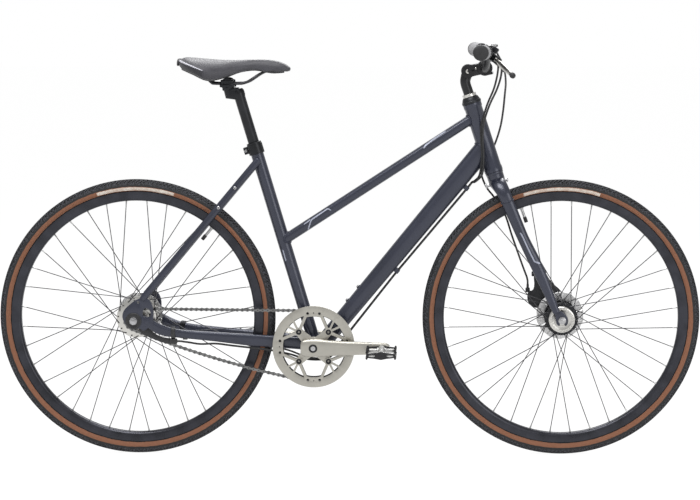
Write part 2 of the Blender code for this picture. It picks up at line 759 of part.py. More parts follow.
def make_rear_hub():
    bore = AXLE_RADIUS + GAP
    neck = 0.024
    profile = [(bore, REAR_HUB_LEFT), (neck, REAR_HUB_LEFT)]
    profile += [(neck, REAR_FLANGE_LEFT + FLANGE_THICKNESS / 2)]
    profile += flange_points(REAR_FLANGE_LEFT, REAR_FLANGE_RADIUS, REAR_SHELL_RADIUS)[1:]
    profile += flange_points(REAR_FLANGE_RIGHT, REAR_FLANGE_RADIUS, REAR_SHELL_RADIUS)
    profile += [(REAR_SHELL_RADIUS - 0.005, REAR_HUB_RIGHT), (bore, REAR_HUB_RIGHT)]
    hub = turned("rear_hub", REAR, profile, SILVER, 12)
    spokes = make_spokes("rear_spokes", REAR, REAR_HOLE_CIRCLE, REAR_FLANGE_RIGHT, REAR_FLANGE_LEFT,
                         REAR_CROSS)
    return fuse(hub, spokes)


def make_front_hub():
    bore = AXLE_RADIUS + GAP
    profile = [(bore, FRONT_HUB_LEFT), (FRONT_SHELL_RADIUS, FRONT_HUB_LEFT)]
    profile += flange_points(FRONT_FLANGE_LEFT, FRONT_FLANGE_RADIUS, FRONT_SHELL_RADIUS)
    profile += flange_points(FRONT_FLANGE_RIGHT, FRONT_FLANGE_RADIUS, FRONT_SHELL_RADIUS)[:3]
    profile += [(FRONT_COVER_RADIUS, FRONT_FLANGE_RIGHT - FLANGE_THICKNESS / 2),
                (FRONT_COVER_RADIUS, FRONT_HUB_RIGHT + 0.002), (FRONT_COVER_RADIUS - 0.004, FRONT_HUB_RIGHT),
                (bore, FRONT_HUB_RIGHT)]
    hub = turned("front_hub", FRONT, profile, BLACK_METAL, 12)
    spokes = make_spokes("front_spokes", FRONT, FRONT_HOLE_CIRCLE, FRONT_FLANGE_RIGHT,
                         FRONT_FLANGE_LEFT, FRONT_CROSS)
    return fuse(hub, spokes)


def make_disc(name, axle, hub_face, radius):
    """Cooling disc of a roller brake, on the hub's left end."""
    bore = AXLE_SHOULDER_RADIUS + GAP
    foot = hub_face + GAP
    back = foot + BRAKE_DISC_BOSS
    face = back + BRAKE_DISC_THICKNESS
    profile = [(bore, face), (radius, face), (radius, back), (BRAKE_DISC_BOSS_RADIUS, back),
               (BRAKE_DISC_BOSS_RADIUS, foot), (bore, foot)]
    return turned(name, axle, profile, SILVER, 14)


def disc_face(hub_face):
    return hub_face + GAP + BRAKE_DISC_BOSS + BRAKE_DISC_THICKNESS


def axle_side(hub_face, dropout_inner, dropout_outer, washer):
    """Profile of one end of an axle, from the hub outward: shoulder, bare thread, washer and nut."""
    points = [(AXLE_RADIUS, hub_face + GAP), (AXLE_SHOULDER_RADIUS, hub_face + GAP),
              (AXLE_SHOULDER_RADIUS, dropout_inner - GAP), (AXLE_RADIUS, dropout_inner - GAP)]
    seat = dropout_outer + GAP
    points.append((AXLE_RADIUS, seat))
    if washer:
        points += [(WASHER_RADIUS, seat), (WASHER_RADIUS, seat + WASHER_THICKNESS)]
        seat += WASHER_THICKNESS
    points += [(NUT_RADIUS, seat), (NUT_RADIUS, seat + NUT_HEIGHT), (AXLE_RADIUS, seat + NUT_HEIGHT),
               (AXLE_RADIUS, seat + NUT_HEIGHT + THREAD_END), (0, seat + NUT_HEIGHT + THREAD_END)]
    return points


def make_axle(name, axle, hub_left, hub_right, dropout_half, right_washer):
    outer = dropout_half + DROPOUT_THICKNESS
    left = axle_side(hub_left, dropout_half, outer, False)
    right = axle_side(-hub_right, dropout_half, outer, right_washer)
    profile = left[::-1] + [(radius, -y) for radius, y in right]
    return turned(name, axle, profile, STEEL, 8, cyclic=False)


rear_rim = make_rim("rear_rim", REAR)
rear_tyre = make_tyre("rear_tyre", REAR)
rear_hub = make_rear_hub()
rear_brake_disc = make_disc("rear_brake_disc", REAR, REAR_HUB_LEFT, REAR_DISC_RADIUS)
rear_axle = make_axle("rear_axle", REAR, REAR_HUB_LEFT, REAR_HUB_RIGHT, REAR_DROPOUT_HALF, True)
front_rim = make_rim("front_rim", FRONT)
front_tyre = make_tyre("front_tyre", FRONT)
front_hub = make_front_hub()
front_brake_disc = make_disc("front_brake_disc", FRONT, FRONT_HUB_LEFT, FRONT_DISC_RADIUS)
front_axle = make_axle("front_axle", FRONT, FRONT_HUB_LEFT, FRONT_HUB_RIGHT, FRONT_DROPOUT_HALF, False)


# Roller brake units, their cams and the gear cable arm. Places are measured from the axle.

REAR_ARM_OUTLINE = (
    (0.010, -0.030), (0.030, -0.014), (0.058, -0.040), (0.112, -0.052), (0.118, -0.058),
    (0.112, -0.068), (0.058, -0.054), (0.020, -0.042),
)
REAR_ARM_AT = 0.054
REAR_STRAP = Vector((0.106, 0.0535, -0.0335))
REAR_STRAP_SIZE = Vector((0.012, 0.024, 0.036))
REAR_STOP = Vector((0.111, 0.0605, -0.063))
CABLE_STOP_SIZE = Vector((0.010, 0.014, 0.011))
REAR_CAM_PIVOT = Vector((0.0, 0.0, -0.034))
REAR_CAM_END = Vector((0.004, 0.0, -0.060))
REAR_CAM_PLANE = 0.0640
FRONT_ARM_OUTLINE = (
    (-0.0675, 0.111), (-0.037, 0.111), (-0.0245, 0.0855), (0.011, 0.055), (0.026, 0.012),
    (0.000, -0.020), (-0.034, 0.012), (-0.080, 0.022), (-0.083, 0.060), (-0.0625, 0.062),
)
FRONT_ARM_AT = 0.040
FRONT_ARM_THICKNESS = 0.003
FRONT_STRAP = Vector((-0.0505, 0.0500, 0.105))
FRONT_STRAP_SIZE = Vector((0.036, 0.026, 0.012))
FRONT_STOP = Vector((-0.0785, 0.0450, 0.0620))
FRONT_STOP_HOLE = FRONT_STOP + Vector((-0.002, 0.001, 0))
FRONT_CAM_PIVOT = Vector((-0.050, 0.0, 0.034))
FRONT_CAM_END = Vector((-0.074, 0.0, 0.044))
FRONT_CAM_PLANE = 0.0433
CAM_THICKNESS = 0.0025
CAM_PIN_RADIUS = 0.003
CAM_HUB_RADIUS = 0.007
GEAR_ARM_OUTLINE = (
    (0.008, -0.020), (0.022, -0.008), (0.056, -0.040), (0.086, -0.046), (0.106, -0.046),
    (0.106, -0.060), (0.080, -0.060), (0.050, -0.050), (0.015, -0.034),
)
GEAR_ARM_AT = -0.055
GEAR_ARM_THICKNESS = 0.003
GEAR_RING_RADIUS = 0.024
GEAR_BLOCK = Vector((0.0965, -0.0565, -0.053))
GEAR_BLOCK_SIZE = Vector((0.019, 0.011, 0.013))
GEAR_STRAP = Vector((0.0965, -0.0560, -0.0315))
GEAR_STRAP_SIZE = Vector((0.010, 0.024, 0.036))


BLADE_AHEAD = 0.0088
BLADE_FOOT = Vector((-0.014, 0, 0.020))
# Between crown and tip: (share of the height, ahead of the steering axis, further out than the top)
BLADE_BEND = ((0.688, 0.0180, 0.002), (0.4154, 0.0300, 0.004))
# (half width, half depth) from the top down
BLADE_HALVES = ((0.010, 0.016), (0.0100, 0.0140), (0.0085, 0.0145), (0.0070, 0.0090))


def blade_stations(side):
    """The fork blade from crown to tip: (point, half width, half depth)."""
    top = steer_point(BLADE_TOP, BLADE_AHEAD, side * BLADE_TOP_HALF)
    tip = FRONT + Vector((BLADE_FOOT.x, side * FORK_TIP_HALF, BLADE_FOOT.z))
    places = [top]
    for share, ahead, aside in BLADE_BEND:
        places.append(steer_point(BLADE_TOP * share, ahead, side * (BLADE_TOP_HALF + aside)))
    return [(place, *half) for place, half in zip(places + [tip], BLADE_HALVES)]


def blade_sections(side, grow=0.0):
    """As square sections, but the top one lies square to the steering axis, where the crown meets it."""
    sections = tube_sections(blade_stations(side), grow)
    point, half_width, half_depth = blade_stations(side)[0]
    sections[0] = (point, SIDE * (half_width + grow), STEER_AHEAD * (half_depth + grow))
    turned_sections = [sections[0]]
    for centre, across, deep in sections[1:]:
        turned_sections.append((centre, across, deep if deep.dot(STEER_AHEAD) > 0 else -deep))
    return turned_sections


def make_rear_brake_unit():
    bore = AXLE_SHOULDER_RADIUS + GAP
    back = disc_face(REAR_HUB_LEFT) + RUNNING_GAP
    profile = [(bore, REAR_DRUM_FACE), (REAR_DRUM_RADIUS * 0.68, REAR_DRUM_FACE),
               (REAR_DRUM_RADIUS, REAR_DRUM_FACE - 0.007), (REAR_DRUM_RADIUS, back), (bore, back)]
    unit = turned("rear_brake_unit", REAR, profile, BLACK_METAL, 14)
    arm = plate("rear_brake_arm", [at_axle(REAR, REAR_ARM_OUTLINE)], 0.004, REAR_ARM_AT, BLACK_METAL)
    strap = box("rear_brake_strap", REAR + REAR_STRAP, REAR_STRAP_SIZE, BLACK_METAL)
    stop = box("rear_brake_stop", REAR + REAR_STOP, CABLE_STOP_SIZE, BLACK_METAL)
    fuse(unit, arm, strap, stop)
    pivot = REAR + REAR_CAM_PIVOT
    hole = rod("rear_cam_hole", pivot + SIDE * (back + 0.004), pivot + SIDE * (REAR_DRUM_FACE + 0.01),
               CAM_PIN_RADIUS + BORE_GAP, BLACK_METAL, 8)
    cable_hole = rod("rear_stop_hole", REAR + REAR_STOP - Vector((0.01, 0, 0)),
                     REAR + REAR_STOP + Vector((0.01, 0, 0)), CABLE_RADIUS + RUNNING_GAP, BLACK_METAL, 8)
    return carve(unit, hole, cable_hole, chainstay_cutter("rear_strap_cutter", 1))


def make_front_brake_unit():
    bore = AXLE_SHOULDER_RADIUS + GAP
    back = disc_face(FRONT_HUB_LEFT) + RUNNING_GAP
    profile = [(0, FRONT_DRUM_FACE), (FRONT_DRUM_RADIUS * 0.7, FRONT_DRUM_FACE),
               (FRONT_DRUM_RADIUS, FRONT_DRUM_FACE - 0.006), (FRONT_DRUM_RADIUS, back), (0, back)]
    unit = turned("front_brake_unit", FRONT, profile, BLACK_METAL, 14, cyclic=False)
    arm = plate("front_brake_arm", [at_axle(FRONT, FRONT_ARM_OUTLINE)], FRONT_ARM_THICKNESS, FRONT_ARM_AT,
                BLACK_METAL)
    strap = box("front_brake_strap", FRONT + FRONT_STRAP, FRONT_STRAP_SIZE, BLACK_METAL)
    stop = box("front_brake_stop", FRONT + FRONT_STOP, CABLE_STOP_SIZE, BLACK_METAL)
    fuse(unit, arm, strap, stop)
    pivot = FRONT + FRONT_CAM_PIVOT
    hole = rod("front_cam_hole", pivot + SIDE * (FRONT_ARM_AT - 0.01), pivot + SIDE * (FRONT_ARM_AT + 0.01),
               CAM_PIN_RADIUS + BORE_GAP, BLACK_METAL, 8)
    stop_hole = FRONT + FRONT_STOP_HOLE
    through = Vector((0, 0, CABLE_STOP_SIZE.z))
    cable_hole = rod("front_stop_hole", stop_hole - through, stop_hole + through, CABLE_RADIUS + RUNNING_GAP,
                     BLACK_METAL, 8)
    around = loft("front_strap_cutter", blade_sections(1, GAP), PAINT, 12, 2.2)
    shaft = rod("front_unit_bore", FRONT + SIDE * (back - 0.01), FRONT + SIDE * (FRONT_DRUM_FACE + 0.01),
                bore, BLACK_METAL, 12)
    return carve(unit, hole, cable_hole, around, shaft)


def make_cam(name, axle, pivot, end, plane, pin_depth):
    """Cam lever: a hub, a tapered arm and a pin that sits in the brake unit."""
    centre = axle + pivot + SIDE * plane
    tip = axle + end + SIDE * plane
    half = SIDE * (CAM_THICKNESS / 2)
    lever = rod(name, centre - half, centre + half, CAM_HUB_RADIUS, STEEL, 10)
    along = (tip - centre).normalized()
    across = Vector((along.z, 0, -along.x))
    bar = loft(f"{name}_arm", [(centre, across * 0.005, half * 0.96), (tip, across * 0.0035, half * 0.96)],
               STEEL, 8, 6)
    pin = rod(f"{name}_pin", centre - SIDE * pin_depth, centre, CAM_PIN_RADIUS, STEEL, 8)
    return fuse(lever, bar, pin)


def make_gear_cable_arm():
    centre = REAR + SIDE * GEAR_ARM_AT
    half = SIDE * 0.002
    ring = rod("gear_cable_arm", centre - half, centre + half, GEAR_RING_RADIUS, BLACK_METAL, 12)
    arm = plate("gear_arm_plate", [at_axle(REAR, GEAR_ARM_OUTLINE)], GEAR_ARM_THICKNESS, GEAR_ARM_AT,
                BLACK_METAL)
    block = box("gear_arm_block", REAR + GEAR_BLOCK, GEAR_BLOCK_SIZE, BLACK_METAL)
    strap = box("gear_arm_strap", REAR + GEAR_STRAP, GEAR_STRAP_SIZE, BLACK_METAL)
    fuse(ring, arm, block, strap)
    hole = rod("gear_ring_hole", centre - SIDE * 0.01, centre + SIDE * 0.01, AXLE_SHOULDER_RADIUS + GAP,
               BLACK_METAL, 12)
    return carve(ring, hole, chainstay_cutter("gear_strap_cutter", -1))


rear_brake_unit = make_rear_brake_unit()
front_brake_unit = make_front_brake_unit()
rear_brake_cam = make_cam("rear_brake_cam", REAR, REAR_CAM_PIVOT, REAR_CAM_END, REAR_CAM_PLANE, 0.012)
front_brake_cam = make_cam("front_brake_cam", FRONT, FRONT_CAM_PIVOT, FRONT_CAM_END, FRONT_CAM_PLANE, 0.0045)
gear_cable_arm = make_gear_cable_arm()


# Chain drive

AXLE_TO_BB = BB - REAR
RUN_TILT = math.atan2(AXLE_TO_BB.z, AXLE_TO_BB.x) + math.asin(
    (RING_RADIUS - SPROCKET_RADIUS) / AXLE_TO_BB.length
)
TOP_RUN = math.sqrt(AXLE_TO_BB.length_squared - (RING_RADIUS - SPROCKET_RADIUS) ** 2)
TOP_TANGENT = math.pi / 2 + RUN_TILT
LOW_TANGENT = 2 * math.atan2(AXLE_TO_BB.z, AXLE_TO_BB.x) - TOP_TANGENT
RING_PHASE = TOP_TANGENT
SPROCKET_PHASE = TOP_TANGENT - (TOP_RUN % CHAIN_PITCH) / SPROCKET_RADIUS


def on_circle(centre, radius, turn):
    return centre + Vector((radius * math.cos(turn), 0, radius * math.sin(turn)))


def toothed_outline(centre, teeth, radius, phase):
    """Outline of a toothed wheel whose rollers lie at the phase and every tooth angle from it."""
    points = []
    angle = 2 * math.pi / teeth
    for tooth in range(teeth):
        middle = phase + (tooth + 0.5) * angle
        for share, height in ((0, TOOTH_TIP), (0.5, -TOOTH_ROOT)):
            place = on_circle(centre, radius + height, middle + share * angle)
            points.append((place.x, place.z))
    return points


def chain_line():
    """Pitch line of the closed chain as (point, outward normal)."""
    line = []
    leave = math.atan2(4 * CHAIN_SAG, TOP_RUN)
    for centre, radius, start, end, steps in (
        (BB, RING_RADIUS, TOP_TANGENT, LOW_TANGENT + leave, 16),
        (REAR, SPROCKET_RADIUS, LOW_TANGENT - leave, TOP_TANGENT - 2 * math.pi, 8),
    ):
        for step in range(steps + 1):
            turn = start + (end - start) * step / steps
            line.append((on_circle(centre, radius, turn), on_circle(Vector(), 1, turn)))
        if centre == BB:
            low_start = line[-1][0]
            low_end = on_circle(REAR, SPROCKET_RADIUS, LOW_TANGENT - leave)
            reach = low_end - low_start
            down = Vector((-reach.z, 0, reach.x)).normalized()
            for step in range(1, 6):
                share = step / 6
                sag = 4 * CHAIN_SAG * share * (1 - share)
                slope = 4 * CHAIN_SAG * (1 - 2 * share) / reach.length
                normal = (down - reach.normalized() * slope).normalized()
                line.append((low_start + reach * share + down * sag, normal))
    return line


def make_chain():
    """Band of the chain's outer size with the inner groove in which the teeth run."""
    section = (
        (CHAIN_OUTER_DEPTH, -CHAIN_HALF_WIDTH), (CHAIN_OUTER_DEPTH, CHAIN_HALF_WIDTH),
        (-CHAIN_INNER_DEPTH, CHAIN_HALF_WIDTH), (-CHAIN_INNER_DEPTH, CHAIN_GROOVE_HALF),
        (CHAIN_GROOVE_ROOF, CHAIN_GROOVE_HALF), (CHAIN_GROOVE_ROOF, -CHAIN_GROOVE_HALF),
        (-CHAIN_INNER_DEPTH, -CHAIN_GROOVE_HALF), (-CHAIN_INNER_DEPTH, -CHAIN_HALF_WIDTH),
    )
    mesh = bmesh.new()
    rings = [
        [mesh.verts.new(point + normal * out + SIDE * (CHAINLINE + y)) for out, y in section]
        for point, normal in chain_line()
    ]
    for ring, after in zip(rings, rings[1:] + rings[:1]):
        for i in range(len(section)):
            j = (i + 1) % len(section)
            mesh.faces.new((ring[i], ring[j], after[j], after[i]))
    return finish_mesh(mesh, "chain", STEEL)


def bolt_turns():
    return [math.radians(45 + 90 * number) for number in range(4)]


def make_chainring():
    """Toothed ring with four tabs that reach in to the bolt circle."""
    inner = []
    tab = RING_BOSS_RADIUS
    for turn in bolt_turns():
        along = on_circle(Vector(), 1, turn)
        across = on_circle(Vector(), 1, turn + math.pi / 2)
        foot = math.sqrt(RING_INNER_RADIUS**2 - tab**2)
        inner.append(BB + along * foot - across * tab)
        for bend in range(4):
            round_turn = turn - math.pi / 2 - math.pi * bend / 3
            inner.append(on_circle(BB + along * BOLT_CIRCLE, tab, round_turn))
        inner.append(BB + along * foot + across * tab)
        half = math.asin(tab / RING_INNER_RADIUS)
        for step in range(1, 5):
            arc = turn + half + (math.pi / 2 - 2 * half) * step / 5
            inner.append(on_circle(BB, RING_INNER_RADIUS, arc))
    holes = [circle(on_circle(BB, BOLT_CIRCLE, turn), BOLT_RADIUS + GAP, 8) for turn in bolt_turns()]
    outline = toothed_outline(BB, RING_TEETH, RING_RADIUS, RING_PHASE)
    return plate("chainring", [outline, [(p.x, p.z) for p in inner], *holes], 2 * TOOTH_HALF_WIDTH,
                 CHAINLINE, CHAMPAGNE)


def make_chain_guard():
    """Guard ring on four bosses, each held by four spokes that fan out to the ring."""
    half = GUARD_SPOKE_WIDTH / 2
    fan = [math.radians(degrees) for degrees in (-62, -22, 22, 62)]
    loops = [circle(BB, GUARD_RADIUS, 32)]
    middle_hole = []
    for turn in bolt_turns():
        boss = on_circle(BB, BOLT_CIRCLE, turn)
        edges = []
        for spread in fan:
            along = on_circle(Vector(), 1, turn + spread)
            across = Vector((-along.z, 0, along.x))
            pair = []
            for side in (-1, 1):
                start = boss + across * (half * side)
                foot = start + along * math.sqrt(GUARD_BOSS_RADIUS**2 - half**2)
                offset = start - BB
                ahead = offset.dot(along)
                reach = math.sqrt(ahead**2 - offset.length_squared + GUARD_INNER_RADIUS**2) - ahead
                pair.append((foot, start + along * reach))
            edges.append(pair)
        for lower, upper in zip(edges, edges[1:]):
            loop = [lower[1][0], lower[1][1]]
            first = math.atan2((lower[1][1] - BB).z, (lower[1][1] - BB).x)
            last = math.atan2((upper[0][1] - BB).z, (upper[0][1] - BB).x)
            spread = (last - first) % (2 * math.pi)
            loop.append(on_circle(BB, GUARD_INNER_RADIUS, first + spread / 2))
            loop += [upper[0][1], upper[0][0]]
            loops.append([(p.x, p.z) for p in loop])
        middle_hole.append((boss, turn, edges[0][0], edges[-1][1]))
    opening = []
    for number, (boss, turn, first_edge, last_edge) in enumerate(middle_hole):
        opening += [first_edge[1], first_edge[0]]
        start = math.atan2((first_edge[0] - boss).z, (first_edge[0] - boss).x)
        end = math.atan2((last_edge[0] - boss).z, (last_edge[0] - boss).x)
        sweep = -((start - end) % (2 * math.pi))
        opening += [on_circle(boss, GUARD_BOSS_RADIUS, start + sweep * k / 4) for k in range(1, 4)]
        opening += [last_edge[0], last_edge[1]]
        after = middle_hole[(number + 1) % 4][2][1]
        begin = math.atan2((last_edge[1] - BB).z, (last_edge[1] - BB).x)
        span = (math.atan2((after - BB).z, (after - BB).x) - begin) % (2 * math.pi)
        opening += [on_circle(BB, GUARD_INNER_RADIUS, begin + span * k / 4) for k in (1, 2, 3)]
    loops.append([(p.x, p.z) for p in opening])
    loops += [circle(on_circle(BB, BOLT_CIRCLE, turn), BOLT_RADIUS + GAP, 8) for turn in bolt_turns()]
    return plate("chain_guard", loops, GUARD_THICKNESS, guard_middle(), CHAMPAGNE)


def spider_middle():
    return CHAINLINE - TOOTH_HALF_WIDTH - GAP - SPIDER_THICKNESS / 2


def guard_middle():
    return spider_middle() - SPIDER_THICKNESS / 2 - GAP - GUARD_THICKNESS / 2


def make_spider():
    """Four-armed plate with a hub, and the bolts that carry the chainring and the guard."""
    outline = []
    for turn in bolt_turns():
        along = on_circle(Vector(), 1, turn)
        across = on_circle(Vector(), 1, turn + math.pi / 2)
        outline.append(BB + along * 0.020 - across * 0.0135)
        for bend in range(4):
            outline.append(on_circle(BB + along * BOLT_CIRCLE, RING_BOSS_RADIUS,
                                     turn - math.pi / 2 + math.pi * bend / 3))
        outline.append(BB + along * 0.020 + across * 0.0135)
    spider = plate("spider", [[(p.x, p.z) for p in outline]], SPIDER_THICKNESS, spider_middle(), CHAMPAGNE)
    hub = rod("spider_hub", BB + SIDE * (spider_middle() + SPIDER_THICKNESS / 2 - 0.0004),
              BB - SIDE * (ARM_FACE - ARM_THICKNESS / 2), 0.019, CHAMPAGNE, 12)
    bolts = []
    for number, turn in enumerate(bolt_turns()):
        place = on_circle(BB, BOLT_CIRCLE, turn)
        inner = place + SIDE * (CHAINLINE + TOOTH_HALF_WIDTH + 0.0006)
        outer = place + SIDE * (guard_middle() - GUARD_THICKNESS / 2 - 0.0008)
        bolts.append(rod(f"ring_bolt_{number}", inner, outer, BOLT_RADIUS, STEEL, 8))
    return spider, hub, bolts


# Crank arms; each station is (share of the crank length, half height, middle, half thickness)
ARM_ROUTE = (
    (-0.1824, 0.0140, 0.0690, 0.0070), (-0.1294, 0.0205, 0.0690, 0.0088), (0.0, 0.0222, 0.0695, 0.0085),
    (0.5059, 0.0172, 0.0715, 0.0078), (1.0, 0.0145, 0.0740, 0.0068), (1.0824, 0.0120, 0.0740, 0.0066),
    (1.1118, 0.0080, 0.0740, 0.0060),
)
# Outer face of the arm where the pedal is screwed in
ARM_AT_PEDAL = ARM_ROUTE[4][2] + ARM_ROUTE[4][3]


def make_crank_arm(name, side):
    """The right arm points forward and the left one backward."""
    sections = []
    for reach, half_height, middle, half_thickness in ARM_ROUTE:
        centre = BB + Vector((-side * reach * CRANK_LENGTH, side * middle, 0))
        sections.append((centre, SIDE * half_thickness, Vector((0, 0, half_height))))
    arm = loft(name, sections, CHAMPAGNE, 8, 3.4)
    if side < 0:
        spider, hub, bolts = make_spider()
        fuse(arm, hub, spider, *bolts)
    spindle_hole = rod(f"{name}_spindle_hole", BB + SIDE * (side * 0.03), BB + SIDE * (side * 0.09),
                       SPINDLE_RADIUS + GAP, CHAMPAGNE, 12)
    pedal = PEDAL_RIGHT if side < 0 else PEDAL_LEFT
    pedal_hole = rod(f"{name}_pedal_hole", pedal + SIDE * (side * 0.05), pedal + SIDE * (side * 0.09),
                     PEDAL_THREAD_RADIUS + GAP, CHAMPAGNE, 12)
    return carve(arm, spindle_hole, pedal_hole)


def make_crank_spindle():
    cap = ARM_FACE + GAP
    half = [(ARM_CAP_RADIUS - 0.001, cap + ARM_CAP_THICKNESS), (ARM_CAP_RADIUS, cap), (SPINDLE_RADIUS, cap)]
    profile = [(0, cap + ARM_CAP_THICKNESS), *half, *[(r, -y) for r, y in half[::-1]],
               (0, -cap - ARM_CAP_THICKNESS)]
    return turned("crank_spindle", BB, profile, STEEL, 12, cyclic=False)


def make_bb_cartridge():
    bore = SPINDLE_RADIUS + RUNNING_GAP
    face = BB_SHELL_HALF + GAP + BB_FLANGE_THICKNESS
    shell = BB_SHELL_HALF + GAP
    profile = [(bore, face), (BB_FLANGE_RADIUS, face), (BB_FLANGE_RADIUS, shell),
               (BB_CARTRIDGE_RADIUS, shell), (BB_CARTRIDGE_RADIUS, -shell), (BB_FLANGE_RADIUS, -shell),
               (BB_FLANGE_RADIUS, -face), (bore, -face)]
    return turned("bb_cartridge", BB, profile, BLACK_METAL, 12)


def make_rear_sprocket():
    bore = AXLE_SHOULDER_RADIUS + RUNNING_GAP
    outline = toothed_outline(REAR, SPROCKET_TEETH, SPROCKET_RADIUS, SPROCKET_PHASE)
    wheel = plate("rear_sprocket", [outline], 2 * TOOTH_HALF_WIDTH, CHAINLINE, STEEL)
    inner = REAR + SIDE * (REAR_HUB_RIGHT - RUNNING_GAP)
    boss = rod("sprocket_boss", inner, REAR + SIDE * (CHAINLINE - 0.004), 0.017, STEEL, 12)
    fuse(wheel, boss)
    hole = rod("sprocket_bore", REAR + SIDE * (REAR_HUB_RIGHT + 0.01), REAR + SIDE * (CHAINLINE - 0.01),
               bore, STEEL, 12)
    return carve(wheel, hole)


def make_pedal_axle(name, pedal, side):
    """Threaded into the arm, with a collar, and ending inside the pedal."""
    collar = ARM_AT_PEDAL + GAP
    face = collar + PEDAL_COLLAR_THICKNESS
    end = face + GAP + PEDAL_WIDTH - 0.003
    inside = ARM_AT_PEDAL - 0.0126
    out = [(0, end), (PEDAL_AXLE_RADIUS, end), (PEDAL_AXLE_RADIUS, face),
           (PEDAL_COLLAR_RADIUS, face), (PEDAL_COLLAR_RADIUS, collar), (PEDAL_THREAD_RADIUS, collar),
           (PEDAL_THREAD_RADIUS, inside), (0, inside)]
    if side < 0:
        out = [(radius, -y) for radius, y in out[::-1]]
    return turned(name, pedal, out, STEEL, 10, cyclic=False)


def make_pedal(name, pedal, side):
    inner = ARM_AT_PEDAL + GAP + PEDAL_COLLAR_THICKNESS + GAP * 2
    middle = pedal + SIDE * (side * (inner + PEDAL_WIDTH / 2))
    body = box(name, middle, Vector((PEDAL_LENGTH, PEDAL_WIDTH, PEDAL_HEIGHT)), BLACK_PLASTIC)
    bevel = body.modifiers.new("round", "BEVEL")
    bevel.width = 0.004
    bevel.segments = 1
    bevel.limit_method = "ANGLE"
    windows = []
    window = Vector((PEDAL_LENGTH * 0.24, PEDAL_WIDTH * 0.34, PEDAL_HEIGHT * 2))
    for number, (x, y) in enumerate(((-1, -1), (-1, 1), (1, -1), (1, 1))):
        place = middle + Vector((x * PEDAL_LENGTH * 0.27, y * PEDAL_WIDTH * 0.22, 0))
        windows.append(box(f"{name}_window_{number}", place, window, BLACK_PLASTIC))
    start = pedal + SIDE * (side * (inner - 0.01))
    end = pedal + SIDE * (side * (inner + PEDAL_WIDTH - 0.0025))
    bore = rod(f"{name}_bore", start, end, PEDAL_AXLE_RADIUS + RUNNING_GAP, BLACK_PLASTIC, 14)
    return carve(body, *windows, bore)


chain = make_chain()
chainring = make_chainring()
chain_guard = make_chain_guard()
crank_arm_right = make_crank_arm("crank_arm_right", -1)
crank_arm_left = make_crank_arm("crank_arm_left", 1)
crank_spindle = make_crank_spindle()
bb_cartridge = make_bb_cartridge()
rear_sprocket = make_rear_sprocket()
pedal_axle_right = make_pedal_axle("pedal_axle_right", PEDAL_RIGHT, -1)
pedal_axle_left = make_pedal_axle("pedal_axle_left", PEDAL_LEFT, 1)
pedal_right = make_pedal("pedal_right", PEDAL_RIGHT, -1)
pedal_left = make_pedal("pedal_left", PEDAL_LEFT, 1)


# Fork, headset and stem

STEM_PIVOT_ABOVE = 0.057
STEM_PIVOT_AHEAD = 0.0154
STEM_STRAIGHT = 0.030
STEM_NECK_ABOVE = 0.0445
STEM_NECK_AHEAD = 0.0060
# (half width, half depth) at the neck and at the pivot
STEM_HALVES = ((0.0120, 0.0132), (0.0117, 0.0145))
STEM_PIVOT = steer_point(STEERER_TOP + STEM_PIVOT_ABOVE, STEM_PIVOT_AHEAD)
BAR_CLAMP = STEM_PIVOT + Vector((0.041, 0, 0.008))
CROWN_ROUTE = (
    (0.0, 0.0088, BLADE_TOP_HALF, 0.0160, 0.0100), (0.020, 0.0068, 0.0440, 0.0170, 0.0115),
    (0.038, 0.0030, 0.0330, 0.0190, 0.0130), (0.048, 0.0, 0.0160, 0.0205, 0.0130),
    (0.0485, 0.0, 0.0, 0.0210, 0.0130),
)


def make_fork_crown():
    """Bridge over the tyre from blade to blade, with the steerer and the lamp boss."""
    half = [(BLADE_TOP + GAP + up, ahead, side, fore, thick) for up, ahead, side, fore, thick in CROWN_ROUTE]
    route = half + [(up, ahead, -side, fore, thick) for up, ahead, side, fore, thick in half[-2::-1]]
    places = [steer_point(up, ahead, side) for up, ahead, side, _, _ in route]
    sections = []
    for i, (_, _, _, fore, thick) in enumerate(route):
        along = (places[min(i + 1, len(places) - 1)] - places[max(i - 1, 0)]).normalized()
        if i == 0:
            along = STEER_UP
        if i == len(route) - 1:
            along = -STEER_UP
        sections.append((places[i], STEER_AHEAD * fore, along.cross(STEER_AHEAD).normalized() * thick))
    crown = loft("fork_crown", sections, PAINT, 10, 2.3)
    race = rod("crown_race", steer_point(CROWN_HEIGHT), steer_point(HEAD_TUBE_BOTTOM - GAP),
               0.0205, PAINT, 12, 0.0215)
    steerer = rod("steerer", steer_point(CROWN_HEIGHT), steer_point(STEERER_TOP), STEERER_RADIUS, STEEL, 12)
    height = CROWN_HEIGHT - LAMP_BOSS_BELOW
    boss = rod("lamp_boss", steer_point(height, -LAMP_BOSS_BEHIND), steer_point(height, LAMP_BOSS_AHEAD),
               LAMP_BOSS_RADIUS, STEEL, 8)
    fuse(crown, race, steerer, boss)
    bore = rod("steerer_bore", steer_point(STEERER_TOP - STEM_DEPTH), steer_point(STEERER_TOP + 0.01),
               STEM_RADIUS + BORE_GAP, STEEL, 12)
    return carve(crown, bore)


FORK_TIP_OUTLINE = (
    (-0.022, 0.026), (-0.006, 0.026), (0.005, 0.018), (0.0135, 0.008), (0.0155, -0.003), (0.011, -0.013),
    (-0.011, -0.013), (-0.0155, -0.004), (-0.016, 0.008),
)


